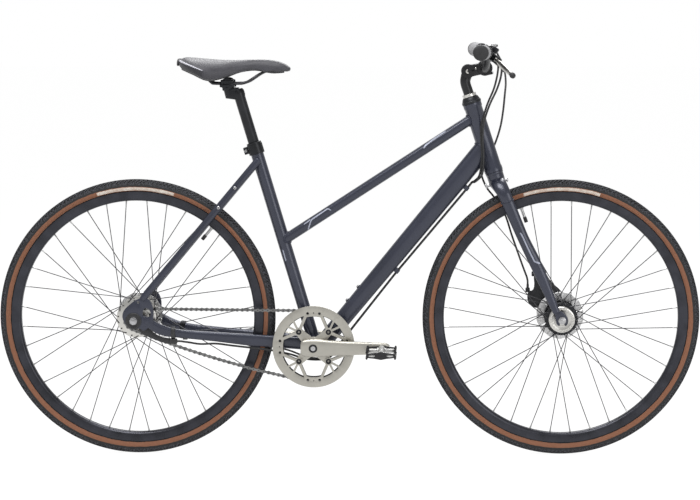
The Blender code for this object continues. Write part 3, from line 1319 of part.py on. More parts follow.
def make_fork_blade(name, side):
    blade = loft(name, blade_sections(side), PAINT, 12, 2.2)
    middle = side * (FRONT_DROPOUT_HALF + DROPOUT_THICKNESS / 2)
    tip = plate(f"{name}_tip", [at_axle(FRONT, FORK_TIP_OUTLINE)], DROPOUT_THICKNESS, middle, PAINT)
    fuse(blade, tip)
    centre = FRONT + SIDE * middle
    reach = SIDE * DROPOUT_THICKNESS
    hole = rod(f"{name}_axle_hole", centre - reach, centre + reach, AXLE_RADIUS + BORE_GAP, PAINT, 10)
    mouth = box(f"{name}_axle_slot", centre - Vector((0, 0, 0.015)),
                Vector((2 * (AXLE_RADIUS + GAP), 2 * DROPOUT_THICKNESS, 0.03)), PAINT)
    return carve(blade, hole, mouth)


def make_headset_cap():
    base = HEAD_TUBE_TOP + GAP
    cap = rod("headset_cap", steer_point(base), steer_point(HEADSET_CAP_TOP), HEAD_TUBE_RADIUS + 0.0005,
              BLACK_METAL, 16, 0.0175)
    wide = rod("cap_steerer_hole", steer_point(base - 0.01), steer_point(STEERER_TOP + GAP),
               STEERER_RADIUS + GAP, BLACK_METAL, 16)
    narrow = rod("cap_stem_hole", steer_point(base), steer_point(HEADSET_CAP_TOP + 0.01), STEM_RADIUS + GAP,
                 BLACK_METAL, 16)
    return carve(cap, wide, narrow)


def make_stem_column():
    low = steer_point(STEERER_TOP - STEM_DEPTH + GAP)
    high = steer_point(STEERER_TOP + STEM_STRAIGHT)
    neck = steer_point(STEERER_TOP + STEM_NECK_ABOVE, STEM_NECK_AHEAD)
    sections = tube_sections([(low, STEM_RADIUS, STEM_RADIUS), (high, STEM_RADIUS, STEM_RADIUS),
                              (neck, *STEM_HALVES[0]), (STEM_PIVOT, *STEM_HALVES[1])])
    point, _, _ = sections[1]
    sections[0] = (low, SIDE * STEM_RADIUS, STEER_AHEAD * -STEM_RADIUS)
    sections[1] = (point, SIDE * STEM_RADIUS, STEER_AHEAD * -STEM_RADIUS)
    column = loft("stem_column", sections, BLACK_METAL, 12)
    boss = rod("pivot_boss", STEM_PIVOT - SIDE * PIVOT_BOSS_HALF, STEM_PIVOT + SIDE * PIVOT_BOSS_HALF,
               PIVOT_BOSS_RADIUS, BLACK_METAL, 14)
    reach = SIDE * (PIVOT_BOSS_HALF + STEM_CHEEK - GAP)
    pin = rod("pivot_pin", STEM_PIVOT - reach, STEM_PIVOT + reach, PIVOT_PIN_RADIUS, STEEL, 10)
    return fuse(column, boss, pin)


def make_stem_arm():
    """Two cheeks beside the pivot boss, a body and the bar clamp."""
    outer = PIVOT_BOSS_HALF + GAP + STEM_CHEEK
    along = (BAR_CLAMP - STEM_PIVOT).normalized()
    deep = SIDE.cross(along)
    start = STEM_PIVOT + along * 0.008
    body = loft("stem_arm", [(start, SIDE * outer, deep * 0.0150), (BAR_CLAMP, SIDE * outer, deep * 0.0140)],
                BLACK_METAL, 8, 5)
    cheeks = []
    for side in (-1, 1):
        inner = SIDE * (side * (PIVOT_BOSS_HALF + GAP))
        cheeks.append(rod(f"stem_cheek_{side}", STEM_PIVOT + inner, STEM_PIVOT + SIDE * (side * outer),
                          PIVOT_BOSS_RADIUS + 0.001, BLACK_METAL, 14))
    clamp = rod("bar_clamp", BAR_CLAMP - SIDE * BAR_CLAMP_HALF, BAR_CLAMP + SIDE * BAR_CLAMP_HALF,
                BAR_CLAMP_RADIUS, BLACK_METAL, 14)
    half = SIDE * (PIVOT_BOSS_HALF + GAP)
    slot = rod("stem_slot", STEM_PIVOT - half, STEM_PIVOT + half, PIVOT_BOSS_RADIUS + 0.003, BLACK_METAL, 14)
    pin_hole = rod("stem_pin_hole", STEM_PIVOT - SIDE * 0.03, STEM_PIVOT + SIDE * 0.03,
                   PIVOT_PIN_RADIUS + BORE_GAP, BLACK_METAL, 10)
    bar_hole = rod("stem_bar_hole", BAR_CLAMP - SIDE * 0.03, BAR_CLAMP + SIDE * 0.03, BAR_RADIUS + GAP,
                   BLACK_METAL, 16)
    carve(body, slot)
    fuse(body, *cheeks, clamp)
    return carve(body, pin_hole, bar_hole)


fork_crown = make_fork_crown()
fork_blade_right = make_fork_blade("fork_blade_right", -1)
fork_blade_left = make_fork_blade("fork_blade_left", 1)
headset_cap = make_headset_cap()
stem_column = make_stem_column()
stem_arm = make_stem_arm()


# Handlebar and what sits on it

# From the clamp: the rise on one side, then the straight outer part
BAR_TAIL = 0.170
TAIL_START = Vector((0.0035, BAR_HALF_SPAN - BAR_TAIL, 0.041))
BAR_RISE = (Vector((0, BAR_CLAMP_HALF - 0.007, 0)), Vector((0, BAR_CLAMP_HALF + 0.012, 0.0005)),
            Vector((0.0008, TAIL_START.y * 0.477, 0.0125)), Vector((0.0025, TAIL_START.y * 0.769, 0.0335)))
TAIL_END = Vector((-0.018, BAR_HALF_SPAN, 0.042))


def bar_point(side, distance):
    """Point of the straight outer part of the bar, this far from the mid plane."""
    share = (distance - TAIL_START.y) / (TAIL_END.y - TAIL_START.y)
    return BAR_CLAMP + mirror_y(TAIL_START.lerp(TAIL_END, share), side)


def bar_outward(side):
    return mirror_y((TAIL_END - TAIL_START).normalized(), side)


def make_handlebar():
    half = [BAR_CLAMP + point for point in BAR_RISE]
    half += [bar_point(1, TAIL_START.y + (BAR_HALF_SPAN - TAIL_START.y) * step / 4) for step in range(5)]
    route = [mirror_y(point, -1) for point in half[::-1]] + half
    return wire("handlebar", bent_route(route, math.radians(14)), BAR_RADIUS, BLACK_METAL)


def make_grip(name, side, start):
    """Soft sleeve with a flared, closed end."""
    stations = []
    end = BAR_HALF_SPAN + 0.003
    for distance, radius in ((start, GRIP_RADIUS - 0.001), (start + 0.004, GRIP_RADIUS),
                             (end - 0.020, GRIP_RADIUS), (end - 0.006, GRIP_RADIUS + 0.002),
                             (end - 0.002, GRIP_RADIUS + 0.002), (end, GRIP_RADIUS - 0.001)):
        stations.append((bar_point(side, distance), radius, radius))
    grip = loft(name, tube_sections(stations, 0, Vector((0, 0, 1))), GRIP_RUBBER, 12)
    bore = rod(f"{name}_bore", bar_point(side, start - 0.01), bar_point(side, BAR_HALF_SPAN + GAP),
               BAR_RADIUS + BORE_GAP, GRIP_RUBBER, 12)
    return carve(grip, bore)


LEVER_AHEAD = Vector((0.80, 0, -0.60))
LEVER_PIVOT = 0.030
LEVER_ROUTE = ((0.0, 0.030, 0.0047, 0.0060), (0.0125, 0.0375, 0.0047, 0.0052), (0.030, 0.049, 0.0065, 0.0045),
               (0.058, 0.068, 0.0065, 0.0040), (0.085, 0.0866, 0.0048, 0.0038))
LEVER_BALL = (0.087, 0.088)
LEVER_BALL_RADIUS = 0.007
LEVER_PIN_RADIUS = 0.0025
LEVER_TONGUE_HALF = 0.0050
BRACKET_CHEEK = 0.0037
BARREL_END = 0.030
INDICATOR_AHEAD = 0.0135
INDICATOR_ASIDE = 0.0170
INDICATOR_SIZE = Vector((0.020, 0.016, 0.014))


def bracket_axes(side):
    """Along the bar outward, toward the lever, and along the lever's pin."""
    outward = bar_outward(side)
    ahead = (LEVER_AHEAD - outward * outward.dot(LEVER_AHEAD)).normalized()
    return outward, ahead, outward.cross(ahead)


def bracket_place(side, along, ahead, aside=0.0):
    outward, forward, pin = bracket_axes(side)
    return bar_point(side, BRACKET_AT) + outward * along + forward * ahead + pin * aside


def make_brake_mount(name, side):
    outward, ahead, pin = bracket_axes(side)
    centre = bar_point(side, BRACKET_AT)
    mount = rod(name, centre - outward * BRACKET_HALF, centre + outward * BRACKET_HALF, BRACKET_RADIUS,
                BLACK_METAL, 12)
    width = 2 * (LEVER_TONGUE_HALF + GAP + BRACKET_CHEEK)
    axes = (tuple(outward), tuple(ahead), tuple(pin))
    body = box(f"{name}_body", bracket_place(side, 0, 0.0255), Vector((0.017, 0.029, width)), BLACK_METAL,
               axes)
    barrel = rod(f"{name}_barrel", bracket_place(side, -BARREL_END, LEVER_PIVOT),
                 bracket_place(side, -BRACKET_HALF, LEVER_PIVOT), 0.0045, BLACK_METAL, 8)
    pieces = [body, barrel]
    if side < 0:
        place = bracket_place(side, 0, INDICATOR_AHEAD, INDICATOR_ASIDE)
        pieces.append(box("gear_indicator", place, INDICATOR_SIZE, BLACK_PLASTIC, axes))
    fuse(mount, *pieces)
    slot_size = Vector((0.0245, 0.034, 2 * (LEVER_TONGUE_HALF + GAP)))
    slot = box(f"{name}_slot", bracket_place(side, 0.004, 0.0385), slot_size, BLACK_METAL, axes)
    pin_hole = rod(f"{name}_pin_hole", bracket_place(side, 0, LEVER_PIVOT, -0.02),
                   bracket_place(side, 0, LEVER_PIVOT, 0.02), LEVER_PIN_RADIUS + BORE_GAP, BLACK_METAL, 8)
    bar_hole = rod(f"{name}_bar_hole", bar_point(side, BRACKET_AT - 0.02), bar_point(side, BRACKET_AT + 0.02),
                   BAR_RADIUS + BORE_GAP, BLACK_METAL, 12)
    return carve(mount, slot, pin_hole, bar_hole)


def make_brake_lever(name, side):
    outward, ahead, pin = bracket_axes(side)
    sections = []
    places = [bracket_place(side, along, reach) for along, reach, _, _ in LEVER_ROUTE]
    for i, (_, _, half_width, half_depth) in enumerate(LEVER_ROUTE):
        along = (places[min(i + 1, len(places) - 1)] - places[max(i - 1, 0)]).normalized()
        sections.append((places[i], pin * half_width, pin.cross(along) * half_depth))
    lever = loft(name, sections, SILVER, 8, 2.6)
    tongue_half = pin * (LEVER_TONGUE_HALF - 0.0001)
    pivot = bracket_place(side, 0, LEVER_PIVOT)
    tongue = rod(f"{name}_tongue", pivot - tongue_half, pivot + tongue_half, 0.0070, SILVER, 10)
    reach = pin * (LEVER_TONGUE_HALF + BRACKET_CHEEK)
    bolt = rod(f"{name}_pin", pivot - reach, pivot + reach, LEVER_PIN_RADIUS, STEEL, 8)
    ball = bmesh.new()
    bmesh.ops.create_uvsphere(ball, u_segments=7, v_segments=4, radius=LEVER_BALL_RADIUS,
                              matrix=Matrix.Translation(bracket_place(side, *LEVER_BALL)))
    tip = finish_mesh(ball, f"{name}_ball", SILVER)
    return fuse(lever, tongue, bolt, tip)


def make_shifter():
    """Twist shifter: a ribbed ring that turns on the bar."""
    start, end = bar_point(-1, SHIFTER_START), bar_point(-1, SHIFTER_END)
    ring = rod("shifter", start, end, SHIFTER_RADIUS, BLACK_PLASTIC, 20)
    bore = rod("shifter_bore", bar_point(-1, SHIFTER_START - 0.01), bar_point(-1, SHIFTER_END + 0.01),
               BAR_RADIUS + RUNNING_GAP, BLACK_PLASTIC, 20)
    return carve(ring, bore)


def make_bell():
    centre = bar_point(-1, BELL_AT)
    outward = bar_outward(-1)
    ring = rod("bell", centre - outward * 0.004, centre + outward * 0.004, 0.0140, BLACK_PLASTIC, 12)
    post = rod("bell_post", centre + Vector((0.006, 0, 0.006)), centre + Vector((0.008, 0, 0.018)), 0.005,
               BLACK_PLASTIC, 8)
    dome = bmesh.new()
    squash = Matrix.Translation(centre + Vector((0.008, 0, 0.0185))) @ Matrix.Diagonal((1, 1, 0.32, 1))
    bmesh.ops.create_uvsphere(dome, u_segments=8, v_segments=5, radius=0.0145, matrix=squash)
    cup = finish_mesh(dome, "bell_dome", SILVER)
    fuse(ring, post, cup)
    hole = rod("bell_bar_hole", bar_point(-1, BELL_AT - 0.02), bar_point(-1, BELL_AT + 0.02),
               BAR_RADIUS + BORE_GAP, BLACK_PLASTIC, 12)
    return carve(ring, hole)


handlebar = make_handlebar()
grip_left = make_grip("grip_left", 1, BAR_HALF_SPAN - GRIP_LENGTH_LEFT)
grip_right = make_grip("grip_right", -1, SHIFTER_END + RUNNING_GAP)
brake_mount_right = make_brake_mount("brake_mount_right", -1)
brake_mount_left = make_brake_mount("brake_mount_left", 1)
brake_lever_right = make_brake_lever("brake_lever_right", -1)
brake_lever_left = make_brake_lever("brake_lever_left", 1)
shifter = make_shifter()
bell = make_bell()


# Seat post and saddle

SEAT_BEHIND = Vector((-math.sin(SEAT_ANGLE), 0, -math.cos(SEAT_ANGLE)))
SADDLE_CLAMP = seat_point(POST_TOP + SADDLE_CLAMP_OVER_POST) + SEAT_BEHIND * SADDLE_CLAMP_BEHIND
SADDLE_CLAMP_SIZE = Vector((0.036, 0.056, 0.020))
POST_HEAD_SIZE = Vector((0.040, 0.026, 0.022))
POST_HEAD_AHEAD = 0.007
# Places on the saddle are measured from the clamp's middle. Rails: (x, z), then the nose with its own y
RAIL_ROUTE = (
    (-0.0530, 0.0210), (-0.0468, 0.0115), (-0.0390, 0.0030), (-0.0290, 0.0), (0.0260, 0.0),
    (0.0410, 0.0012), (0.0530, 0.0055), (0.0650, 0.0130),
)
RAIL_NOSE = ((0.0750, 0.0180, 0.0198), (0.0850, 0.0105, 0.0255), (0.0940, 0.0040, 0.0295))

# Saddle: (x, half width, top, bottom edge of the side) from tail to nose
SADDLE_STATIONS = (
    (-0.1225, 0.034, 0.0540, 0.0450), (-0.110, 0.062, 0.0645, 0.0310), (-0.081, 0.080, 0.0620, 0.0170),
    (-0.046, 0.079, 0.0585, 0.0090), (-0.011, 0.062, 0.0575, 0.0130), (0.029, 0.041, 0.0580, 0.0265),
    (0.069, 0.028, 0.0598, 0.0320), (0.109, 0.023, 0.0590, 0.0255), (0.139, 0.0195, 0.0535, 0.0265),
    (0.1575, 0.0110, 0.0415, 0.0300),
)
# Half of an arch from the middle of the top down the side: (share of the half width, of the height)
SADDLE_ARCH = (
    (0.0, 1.0), (0.22, 0.985), (0.48, 0.93), (0.75, 0.80), (0.94, 0.58), (1.0, 0.34), (0.93, 0.0),
)
BASE_ARCH = tuple(SADDLE_ARCH[i] for i in (0, 1, 3, 5, 6))
SADDLE_CHANNEL = 0.0045
# Where the saddle is narrower than this to each side, the channel gets shallower
SADDLE_CHANNEL_HALF = 0.030


def from_clamp(x, y, z):
    return SADDLE_CLAMP + Vector((x, y, z))


def saddle_place(share, end_wall):
    """Half width, top and bottom edge of the saddle, with how far along it they are."""
    first, last = SADDLE_STATIONS[0][0] + end_wall, SADDLE_STATIONS[-1][0] - end_wall
    x = first + (last - first) * share
    for before, after in zip(SADDLE_STATIONS, SADDLE_STATIONS[1:]):
        if x <= after[0]:
            break
    part = (x - before[0]) / (after[0] - before[0])
    return [x] + [a + (b - a) * part for a, b in zip(before[1:], after[1:])]


def saddle_arch(share, inset, shape):
    """One arch from side to side. The inset goes in from the cover; past the pad's thickness it goes in
    everywhere by the same amount."""
    in_pad = min(inset, SADDLE_PAD_THICKNESS)
    beyond = inset - in_pad
    x, half, top, low = saddle_place(share, min(in_pad, SADDLE_WALL))
    x += beyond * ((share == 0) - (share == 1))
    half -= min(in_pad, SADDLE_WALL, half * 0.22) + beyond
    top -= min(in_pad, (top - low) * 0.5) + beyond
    arch = []
    for wide, high in shape:
        z = low + (top - low) * high
        if wide == 0:
            z -= SADDLE_CHANNEL * min(half / SADDLE_CHANNEL_HALF, 1)
        arch.append((x, half * wide, z))
    return [(x, -y, z) for _, y, z in arch[:0:-1]] + arch


def saddle_shell(name, outer_inset, inner_inset, look, shape):
    """Closed shell, open below, between two such surfaces."""
    mesh = bmesh.new()
    shares = [
        (x - SADDLE_STATIONS[0][0]) / (SADDLE_STATIONS[-1][0] - SADDLE_STATIONS[0][0])
        for x, _, _, _ in SADDLE_STATIONS
    ]
    outer, inner = [
        [[mesh.verts.new(from_clamp(*p)) for p in saddle_arch(share, inset, shape)] for share in shares]
        for inset in (outer_inset, inner_inset)
    ]
    last = len(outer[0]) - 1
    for a in range(len(shares) - 1):
        for i in range(last):
            mesh.faces.new((outer[a][i], outer[a][i + 1], outer[a + 1][i + 1], outer[a + 1][i]))
            mesh.faces.new((inner[a][i], inner[a + 1][i], inner[a + 1][i + 1], inner[a][i + 1]))
        for i in (0, last):
            mesh.faces.new((outer[a][i], outer[a + 1][i], inner[a + 1][i], inner[a][i]))
    for end in (0, -1):
        mesh.faces.new(outer[end])
        mesh.faces.new(inner[end])
        mesh.faces.new((outer[end][0], outer[end][last], inner[end][last], inner[end][0]))
    return finish_mesh(mesh, name, look)


def rail_route():
    """Both rails as one wire, joined at the nose."""
    half = [from_clamp(x, RAIL_HALF_SPREAD, z) for x, z in RAIL_ROUTE] + [from_clamp(*p) for p in RAIL_NOSE]
    nose = from_clamp(RAIL_NOSE[-1][0] + 0.004, 0, RAIL_NOSE[-1][2] + 0.0005)
    return half + [nose] + [mirror_y(point, -1) for point in half[::-1]]


def rail_cutter(name):
    return as_mesh(wire(name, rail_route(), RAIL_RADIUS + GAP, STEEL))


def make_seatpost():
    foot = seat_point(POST_TOP - POST_LENGTH)
    post = rod("seatpost", foot, seat_point(POST_TOP), POST_RADIUS, BLACK_METAL, 16)
    top = SADDLE_CLAMP.z - SADDLE_CLAMP_SIZE.z / 2 - GAP
    centre = Vector((SADDLE_CLAMP.x + POST_HEAD_AHEAD, 0, top - POST_HEAD_SIZE.z / 2))
    return fuse(post, box("seatpost_head", centre, POST_HEAD_SIZE, BLACK_METAL))


def make_saddle_clamp():
    clamp = box("saddle_clamp", SADDLE_CLAMP, SADDLE_CLAMP_SIZE, BLACK_METAL)
    return carve(clamp, rail_cutter("clamp_rail_holes"))


def base_roof(x, y):
    """Height of the middle of the base shell over a place."""
    first, last = SADDLE_STATIONS[0][0] + SADDLE_WALL, SADDLE_STATIONS[-1][0] - SADDLE_WALL
    inset = SADDLE_PAD_THICKNESS + SADDLE_FIT + SADDLE_BASE_THICKNESS / 2
    arch = saddle_arch((x - first) / (last - first), inset, BASE_ARCH)
    for (_, y0, z0), (_, y1, z1) in zip(arch, arch[1:]):
        if abs(y) <= y1 and abs(y) >= y0:
            return z0 + (z1 - z0) * (abs(y) - y0) / (y1 - y0)


def rail_socket(name, x, y, length, rail_z):
    """Block from under a rail up into the base shell."""
    bottom = rail_z - RAIL_RADIUS - 0.002
    height = base_roof(x, y) - bottom
    return box(name, from_clamp(x, y, bottom + height / 2), Vector((length, length, height)), BLACK_PLASTIC)


def make_saddle_base():
    """Stiff shell under the pad, with a socket at the nose and one across the tail for the rails."""
    outer = SADDLE_PAD_THICKNESS + SADDLE_FIT
    base = saddle_shell("saddle_base", outer, outer + SADDLE_BASE_THICKNESS, BLACK_PLASTIC, BASE_ARCH)
    nose_x = RAIL_NOSE[-1][0] + 0.0055
    sockets = [rail_socket("nose_socket", nose_x, 0, 0.018, RAIL_NOSE[-1][2])]
    for side in (-1, 1):
        x, z = RAIL_ROUTE[0]
        sockets.append(rail_socket(f"tail_socket_{side}", x, side * RAIL_HALF_SPREAD, 0.014, z - 0.006))
    fuse(base, *sockets)
    return carve(base, rail_cutter("base_rail_holes"))


seatpost = make_seatpost()
saddle_clamp = make_saddle_clamp()
saddle_rails = wire("saddle_rails", rail_route(), RAIL_RADIUS, STEEL)
saddle_base = make_saddle_base()
saddle_pad = saddle_shell("saddle_pad", 0.0, SADDLE_PAD_THICKNESS, SADDLE_COVER, SADDLE_ARCH)


# Cables

CABLE_BEND = math.radians(24)


def guide_points(side):
    """Where a cable goes through the guides under the down tube."""
    return [down_tube_under(share, CABLE_DROP) + SIDE * (side * CABLE_SIDE) for share in CABLE_GUIDES]


def guide_run(side):
    """The same with points on each side of each guide, so that the cable is straight in it."""
    _, _, along = down_tube_line()
    run = []
    for middle in guide_points(side):
        run += [middle + along * (GUIDE_SIZE.x * share) for share in (2, 1, -1, -2)]
    return run


def cable_start(side):
    """Straight out of the bracket's barrel."""
    return [bracket_place(side, -BARREL_END - out, LEVER_PIVOT) for out in (GAP, 0.008)]


def make_cable(name, points):
    return wire(name, bent_route(points, CABLE_BEND), CABLE_RADIUS, BLACK_PLASTIC)


REAR_CABLE_DROP = (
    (0.368, -0.112, 0.984), (0.3665, -0.085, 0.955), (0.359, -0.060, 0.920), (0.345, -0.040, 0.884),
    (0.335, -0.0305, 0.852), (0.329, -0.0275, 0.825), (0.329, -0.0270, 0.790), (0.331, -0.0262, 0.752),
    (0.326, -0.016, 0.706), (0.3145, -0.002, 0.689),
)
REAR_CABLE_STAY = (
    (-0.020, 0.008, 0.282), (-0.050, 0.009, 0.2445), (-0.100, 0.012, 0.240), (-0.150, 0.022, 0.256),
    (-0.200, 0.0275, 0.267), (-0.250, 0.0315, 0.2715), (-0.300, 0.037, 0.279), (-0.350, 0.0445, 0.2835),
    (-0.395, 0.055, 0.284),
)
SHIFT_CABLE_DROP = (
    (0.366, -0.128, 1.004), (0.375, -0.105, 0.985), (0.376, -0.083, 0.955), (0.367, -0.062, 0.920),
    (0.351, -0.0465, 0.884), (0.340, -0.037, 0.852), (0.334, -0.034, 0.825), (0.333, -0.0335, 0.790),
    (0.335, -0.033, 0.752), (0.332, -0.029, 0.708), (0.316, -0.016, 0.688),
)
SHIFT_CABLE_STAY = (
    (-0.020, -0.008, 0.282), (-0.050, -0.009, 0.2445), (-0.100, -0.012, 0.240), (-0.150, -0.022, 0.256),
    (-0.200, -0.0275, 0.267), (-0.243, -0.031, 0.2725), (-0.292, -0.036, 0.279), (-0.330, -0.041, 0.2845),
    (-0.367, -0.047, 0.2845), (-0.395, -0.053, 0.2895),
)
FRONT_CABLE_DROP = (
    (0.380, 0.118, 0.984), (0.391, 0.103, 0.960), (0.394, 0.090, 0.930), (0.391, 0.075, 0.899),
    (0.386, 0.060, 0.856), (0.378, 0.048, 0.815), (0.362, 0.041, 0.770), (0.340, 0.040, 0.735),
    (0.332, 0.043, 0.703), (0.345, 0.049, 0.668), (0.366, 0.056, 0.640), (0.392, 0.061, 0.598),
    (0.411, 0.062, 0.541), (0.437, 0.058, 0.468), (0.4480, 0.049, 0.438),
)


def make_rear_brake_cable():
    stop = REAR + REAR_STOP
    cam_tip = REAR + REAR_CAM_END + SIDE * REAR_CAM_PLANE
    points = cable_start(-1) + [Vector(p) for p in REAR_CABLE_DROP] + guide_run(1)
    points += [Vector(p) for p in REAR_CABLE_STAY]
    points += [stop + Vector((0.008, 0, 0)), stop - Vector((0.008, 0, 0)), cam_tip + Vector((0.006, 0, 0))]
    return make_cable("rear_brake_cable", points)


def make_shift_cable():
    block_face = REAR + GEAR_BLOCK + Vector((GEAR_BLOCK_SIZE.x / 2, 0, 0))
    points = [bracket_place(-1, along, INDICATOR_AHEAD, INDICATOR_ASIDE)
              for along in (-INDICATOR_SIZE.x / 2 - GAP, -INDICATOR_SIZE.x / 2 - 0.008)]
    points += [Vector(p) for p in SHIFT_CABLE_DROP] + guide_run(-1) + [Vector(p) for p in SHIFT_CABLE_STAY]
    points += [block_face + Vector((0.008, 0, 0)), block_face + Vector((GAP, 0, 0))]
    return make_cable("shift_cable", points)


def make_front_brake_cable():
    hole = FRONT + FRONT_STOP_HOLE
    points = cable_start(1) + [Vector(p) for p in FRONT_CABLE_DROP]
    points += [hole + Vector((0, 0, height)) for height in (0.014, 0.007, -0.0095)]
    return make_cable("front_brake_cable", points)


rear_brake_cable = make_rear_brake_cable()
shift_cable = make_shift_cable()
front_brake_cable = make_front_brake_cable()


# What moves together hangs from an empty on its joint's axis


def ride(name, place, pieces, carrier=None):
    """Empty at the place, with the pieces and, through the carrier, the whole group riding on it."""
    pivot = bpy.data.objects.new(name, None)
    bike.objects.link(pivot)
    pivot.location = place
    bpy.context.view_layer.update()
    if carrier:
        pivot.parent = carrier
        pivot.matrix_parent_inverse = carrier.matrix_world.inverted()
        bpy.context.view_layer.update()
    for piece in pieces:
        piece.parent = pivot
        piece.matrix_parent_inverse = pivot.matrix_world.inverted()
    return pivot


steering = ride("steering", steer_point(HEAD_TUBE_TOP),
                (fork_crown, fork_blade_right, fork_blade_left, headset_cap, front_axle, front_brake_unit,
                 stem_column, front_brake_cable))
bars = ride("bars", STEM_PIVOT,
            (stem_arm, handlebar, grip_right, grip_left, brake_mount_right, brake_mount_left, bell), steering)
ride("front_wheel", FRONT, (front_tyre, front_rim, front_hub, front_brake_disc), steering)
ride("front_cam", FRONT + FRONT_CAM_PIVOT, (front_brake_cam,), steering)
ride("rear_wheel", REAR, (rear_tyre, rear_rim, rear_hub, rear_brake_disc))
ride("rear_cam", REAR + REAR_CAM_PIVOT, (rear_brake_cam,))
ride("driver", REAR, (rear_sprocket,))
ride("seat", seat_point(SEAT_TUBE_LENGTH), (seatpost, saddle_clamp, saddle_rails, saddle_base, saddle_pad))
cranks = ride("cranks", BB, (crank_spindle, crank_arm_right, crank_arm_left, chainring, chain_guard,
                             pedal_axle_right, pedal_axle_left))
ride("right_pedal", PEDAL_RIGHT, (pedal_right,), cranks)
ride("left_pedal", PEDAL_LEFT, (pedal_left,), cranks)
ride("right_lever", bracket_place(-1, 0, LEVER_PIVOT), (brake_lever_right,), bars)
ride("left_lever", bracket_place(1, 0, LEVER_PIVOT), (brake_lever_left,), bars)
ride("twist_ring", bar_point(-1, SHIFTER_START), (shifter,), bars)
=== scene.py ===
import math

import bmesh
import bpy
from mathutils import Matrix, Vector
from mathutils.bvhtree import BVHTree


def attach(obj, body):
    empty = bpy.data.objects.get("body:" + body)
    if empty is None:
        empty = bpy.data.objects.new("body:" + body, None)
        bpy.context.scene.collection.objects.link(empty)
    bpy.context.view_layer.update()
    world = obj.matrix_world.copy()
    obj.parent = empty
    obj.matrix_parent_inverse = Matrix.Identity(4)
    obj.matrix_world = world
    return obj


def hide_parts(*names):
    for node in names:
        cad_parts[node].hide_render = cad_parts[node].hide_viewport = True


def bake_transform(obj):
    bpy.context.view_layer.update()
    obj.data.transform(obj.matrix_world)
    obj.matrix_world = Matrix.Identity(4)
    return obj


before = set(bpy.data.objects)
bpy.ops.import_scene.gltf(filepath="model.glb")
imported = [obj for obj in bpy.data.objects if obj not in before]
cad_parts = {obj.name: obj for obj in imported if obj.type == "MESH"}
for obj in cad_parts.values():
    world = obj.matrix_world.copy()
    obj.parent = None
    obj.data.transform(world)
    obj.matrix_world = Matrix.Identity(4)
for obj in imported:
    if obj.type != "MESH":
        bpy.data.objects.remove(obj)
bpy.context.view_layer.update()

# The studio: a camera 4.6 m off the bicycle's right side and a little above it, turned down to it, on
# a white floor that keeps the shadow, with soft lamps above and beside.

scene = bpy.context.scene
scene.view_settings.view_transform = "Standard"
camera = bpy.data.objects.new("camera", bpy.data.cameras.new("camera"))
scene.collection.objects.link(camera)
scene.camera = camera
camera.location = (0.2042, -4.6, 1.0856)
camera.rotation_euler = [math.radians(turn) for turn in (85.52, 0.028, 0.868)]
camera.data.sensor_width = 36
camera.data.lens = 95.334
camera.data.shift_x = -0.075
camera.data.shift_y = -0.12


class Shade:
    """A shader socket. Python's operators on it add Math nodes; make() adds any other node."""

    def __init__(self, tree, socket=None):
        self.tree = tree
        self.socket = socket

    def make(self, kind, settings=(), inputs=(), output=0):
        node = self.tree.nodes.new(kind)
        for name, value in dict(settings).items():
            setattr(node, name, value)
        for name, value in dict(inputs).items():
            if isinstance(value, Shade):
                self.tree.links.new(value.socket, node.inputs[name])
            else:
                node.inputs[name].default_value = value
        return Shade(self.tree, node.outputs[output] if node.outputs else None)

    def math(self, operation, *values):
        return self.make("ShaderNodeMath", {"operation": operation}, dict(enumerate(values)))

    def __add__(self, other):
        return self.math("ADD", self, other)

    def __sub__(self, other):
        return self.math("SUBTRACT", self, other)

    def __mul__(self, other):
        return self.math("MULTIPLY", self, other)

    def __pow__(self, other):
        return self.math("POWER", self, other)

    def __gt__(self, other):
        return self.math("GREATER_THAN", self, other)

    def __lt__(self, other):
        return self.math("LESS_THAN", self, other)

    def between(self, low, high, to_low=0.0, to_high=1.0):
        """The value carried from one range to another, and held at its ends."""
        values = dict(enumerate((self, low, high, to_low, to_high)))
        return self.make("ShaderNodeMapRange", {"clamp": True}, values)

    def mix(self, first, second):
        """First colour where the value is 0, second where it is 1."""
        colours = [c if isinstance(c, Shade) else (*c, 1) for c in (first, second)]
        return self.make("ShaderNodeMix", {"data_type": "RGBA"}, {0: self, 6: colours[0], 7: colours[1]}, 2)


def white_ground(name, strength, share):
    """Diffuse white, with this share of plain white added where a camera or a reflection looks."""
    made = bpy.data.materials.new(name)
    made.use_nodes = True
    tree = made.node_tree
    tree.nodes.clear()
    start = Shade(tree)
    looks = [start.make("ShaderNodeLightPath", output=f"Is {kind} Ray")
             for kind in ("Camera", "Glossy", "Transmission")]
    seen = looks[0].math("MINIMUM", looks[0] + looks[1] + looks[2], 1.0)
    plain = start.make("ShaderNodeBsdfDiffuse", (), {"Color": (0.86, 0.86, 0.86, 1)})
    glow = start.make("ShaderNodeEmission", (), {"Color": (1, 1, 1, 1), "Strength": strength})
    both = start.make("ShaderNodeMixShader", (), {0: seen * share, 1: plain, 2: glow})
    start.make("ShaderNodeOutputMaterial", (), {"Surface": both})
    return made


floor_mesh = bmesh.new()
bmesh.ops.create_grid(floor_mesh, x_segments=1, y_segments=1, size=40)
floor_data = bpy.data.meshes.new("floor")
floor_mesh.to_mesh(floor_data)
floor_mesh.free()
floor = bpy.data.objects.new("floor", floor_data)
scene.collection.objects.link(floor)
floor_data.materials.append(white_ground("white_floor", 1.09, 0.88))

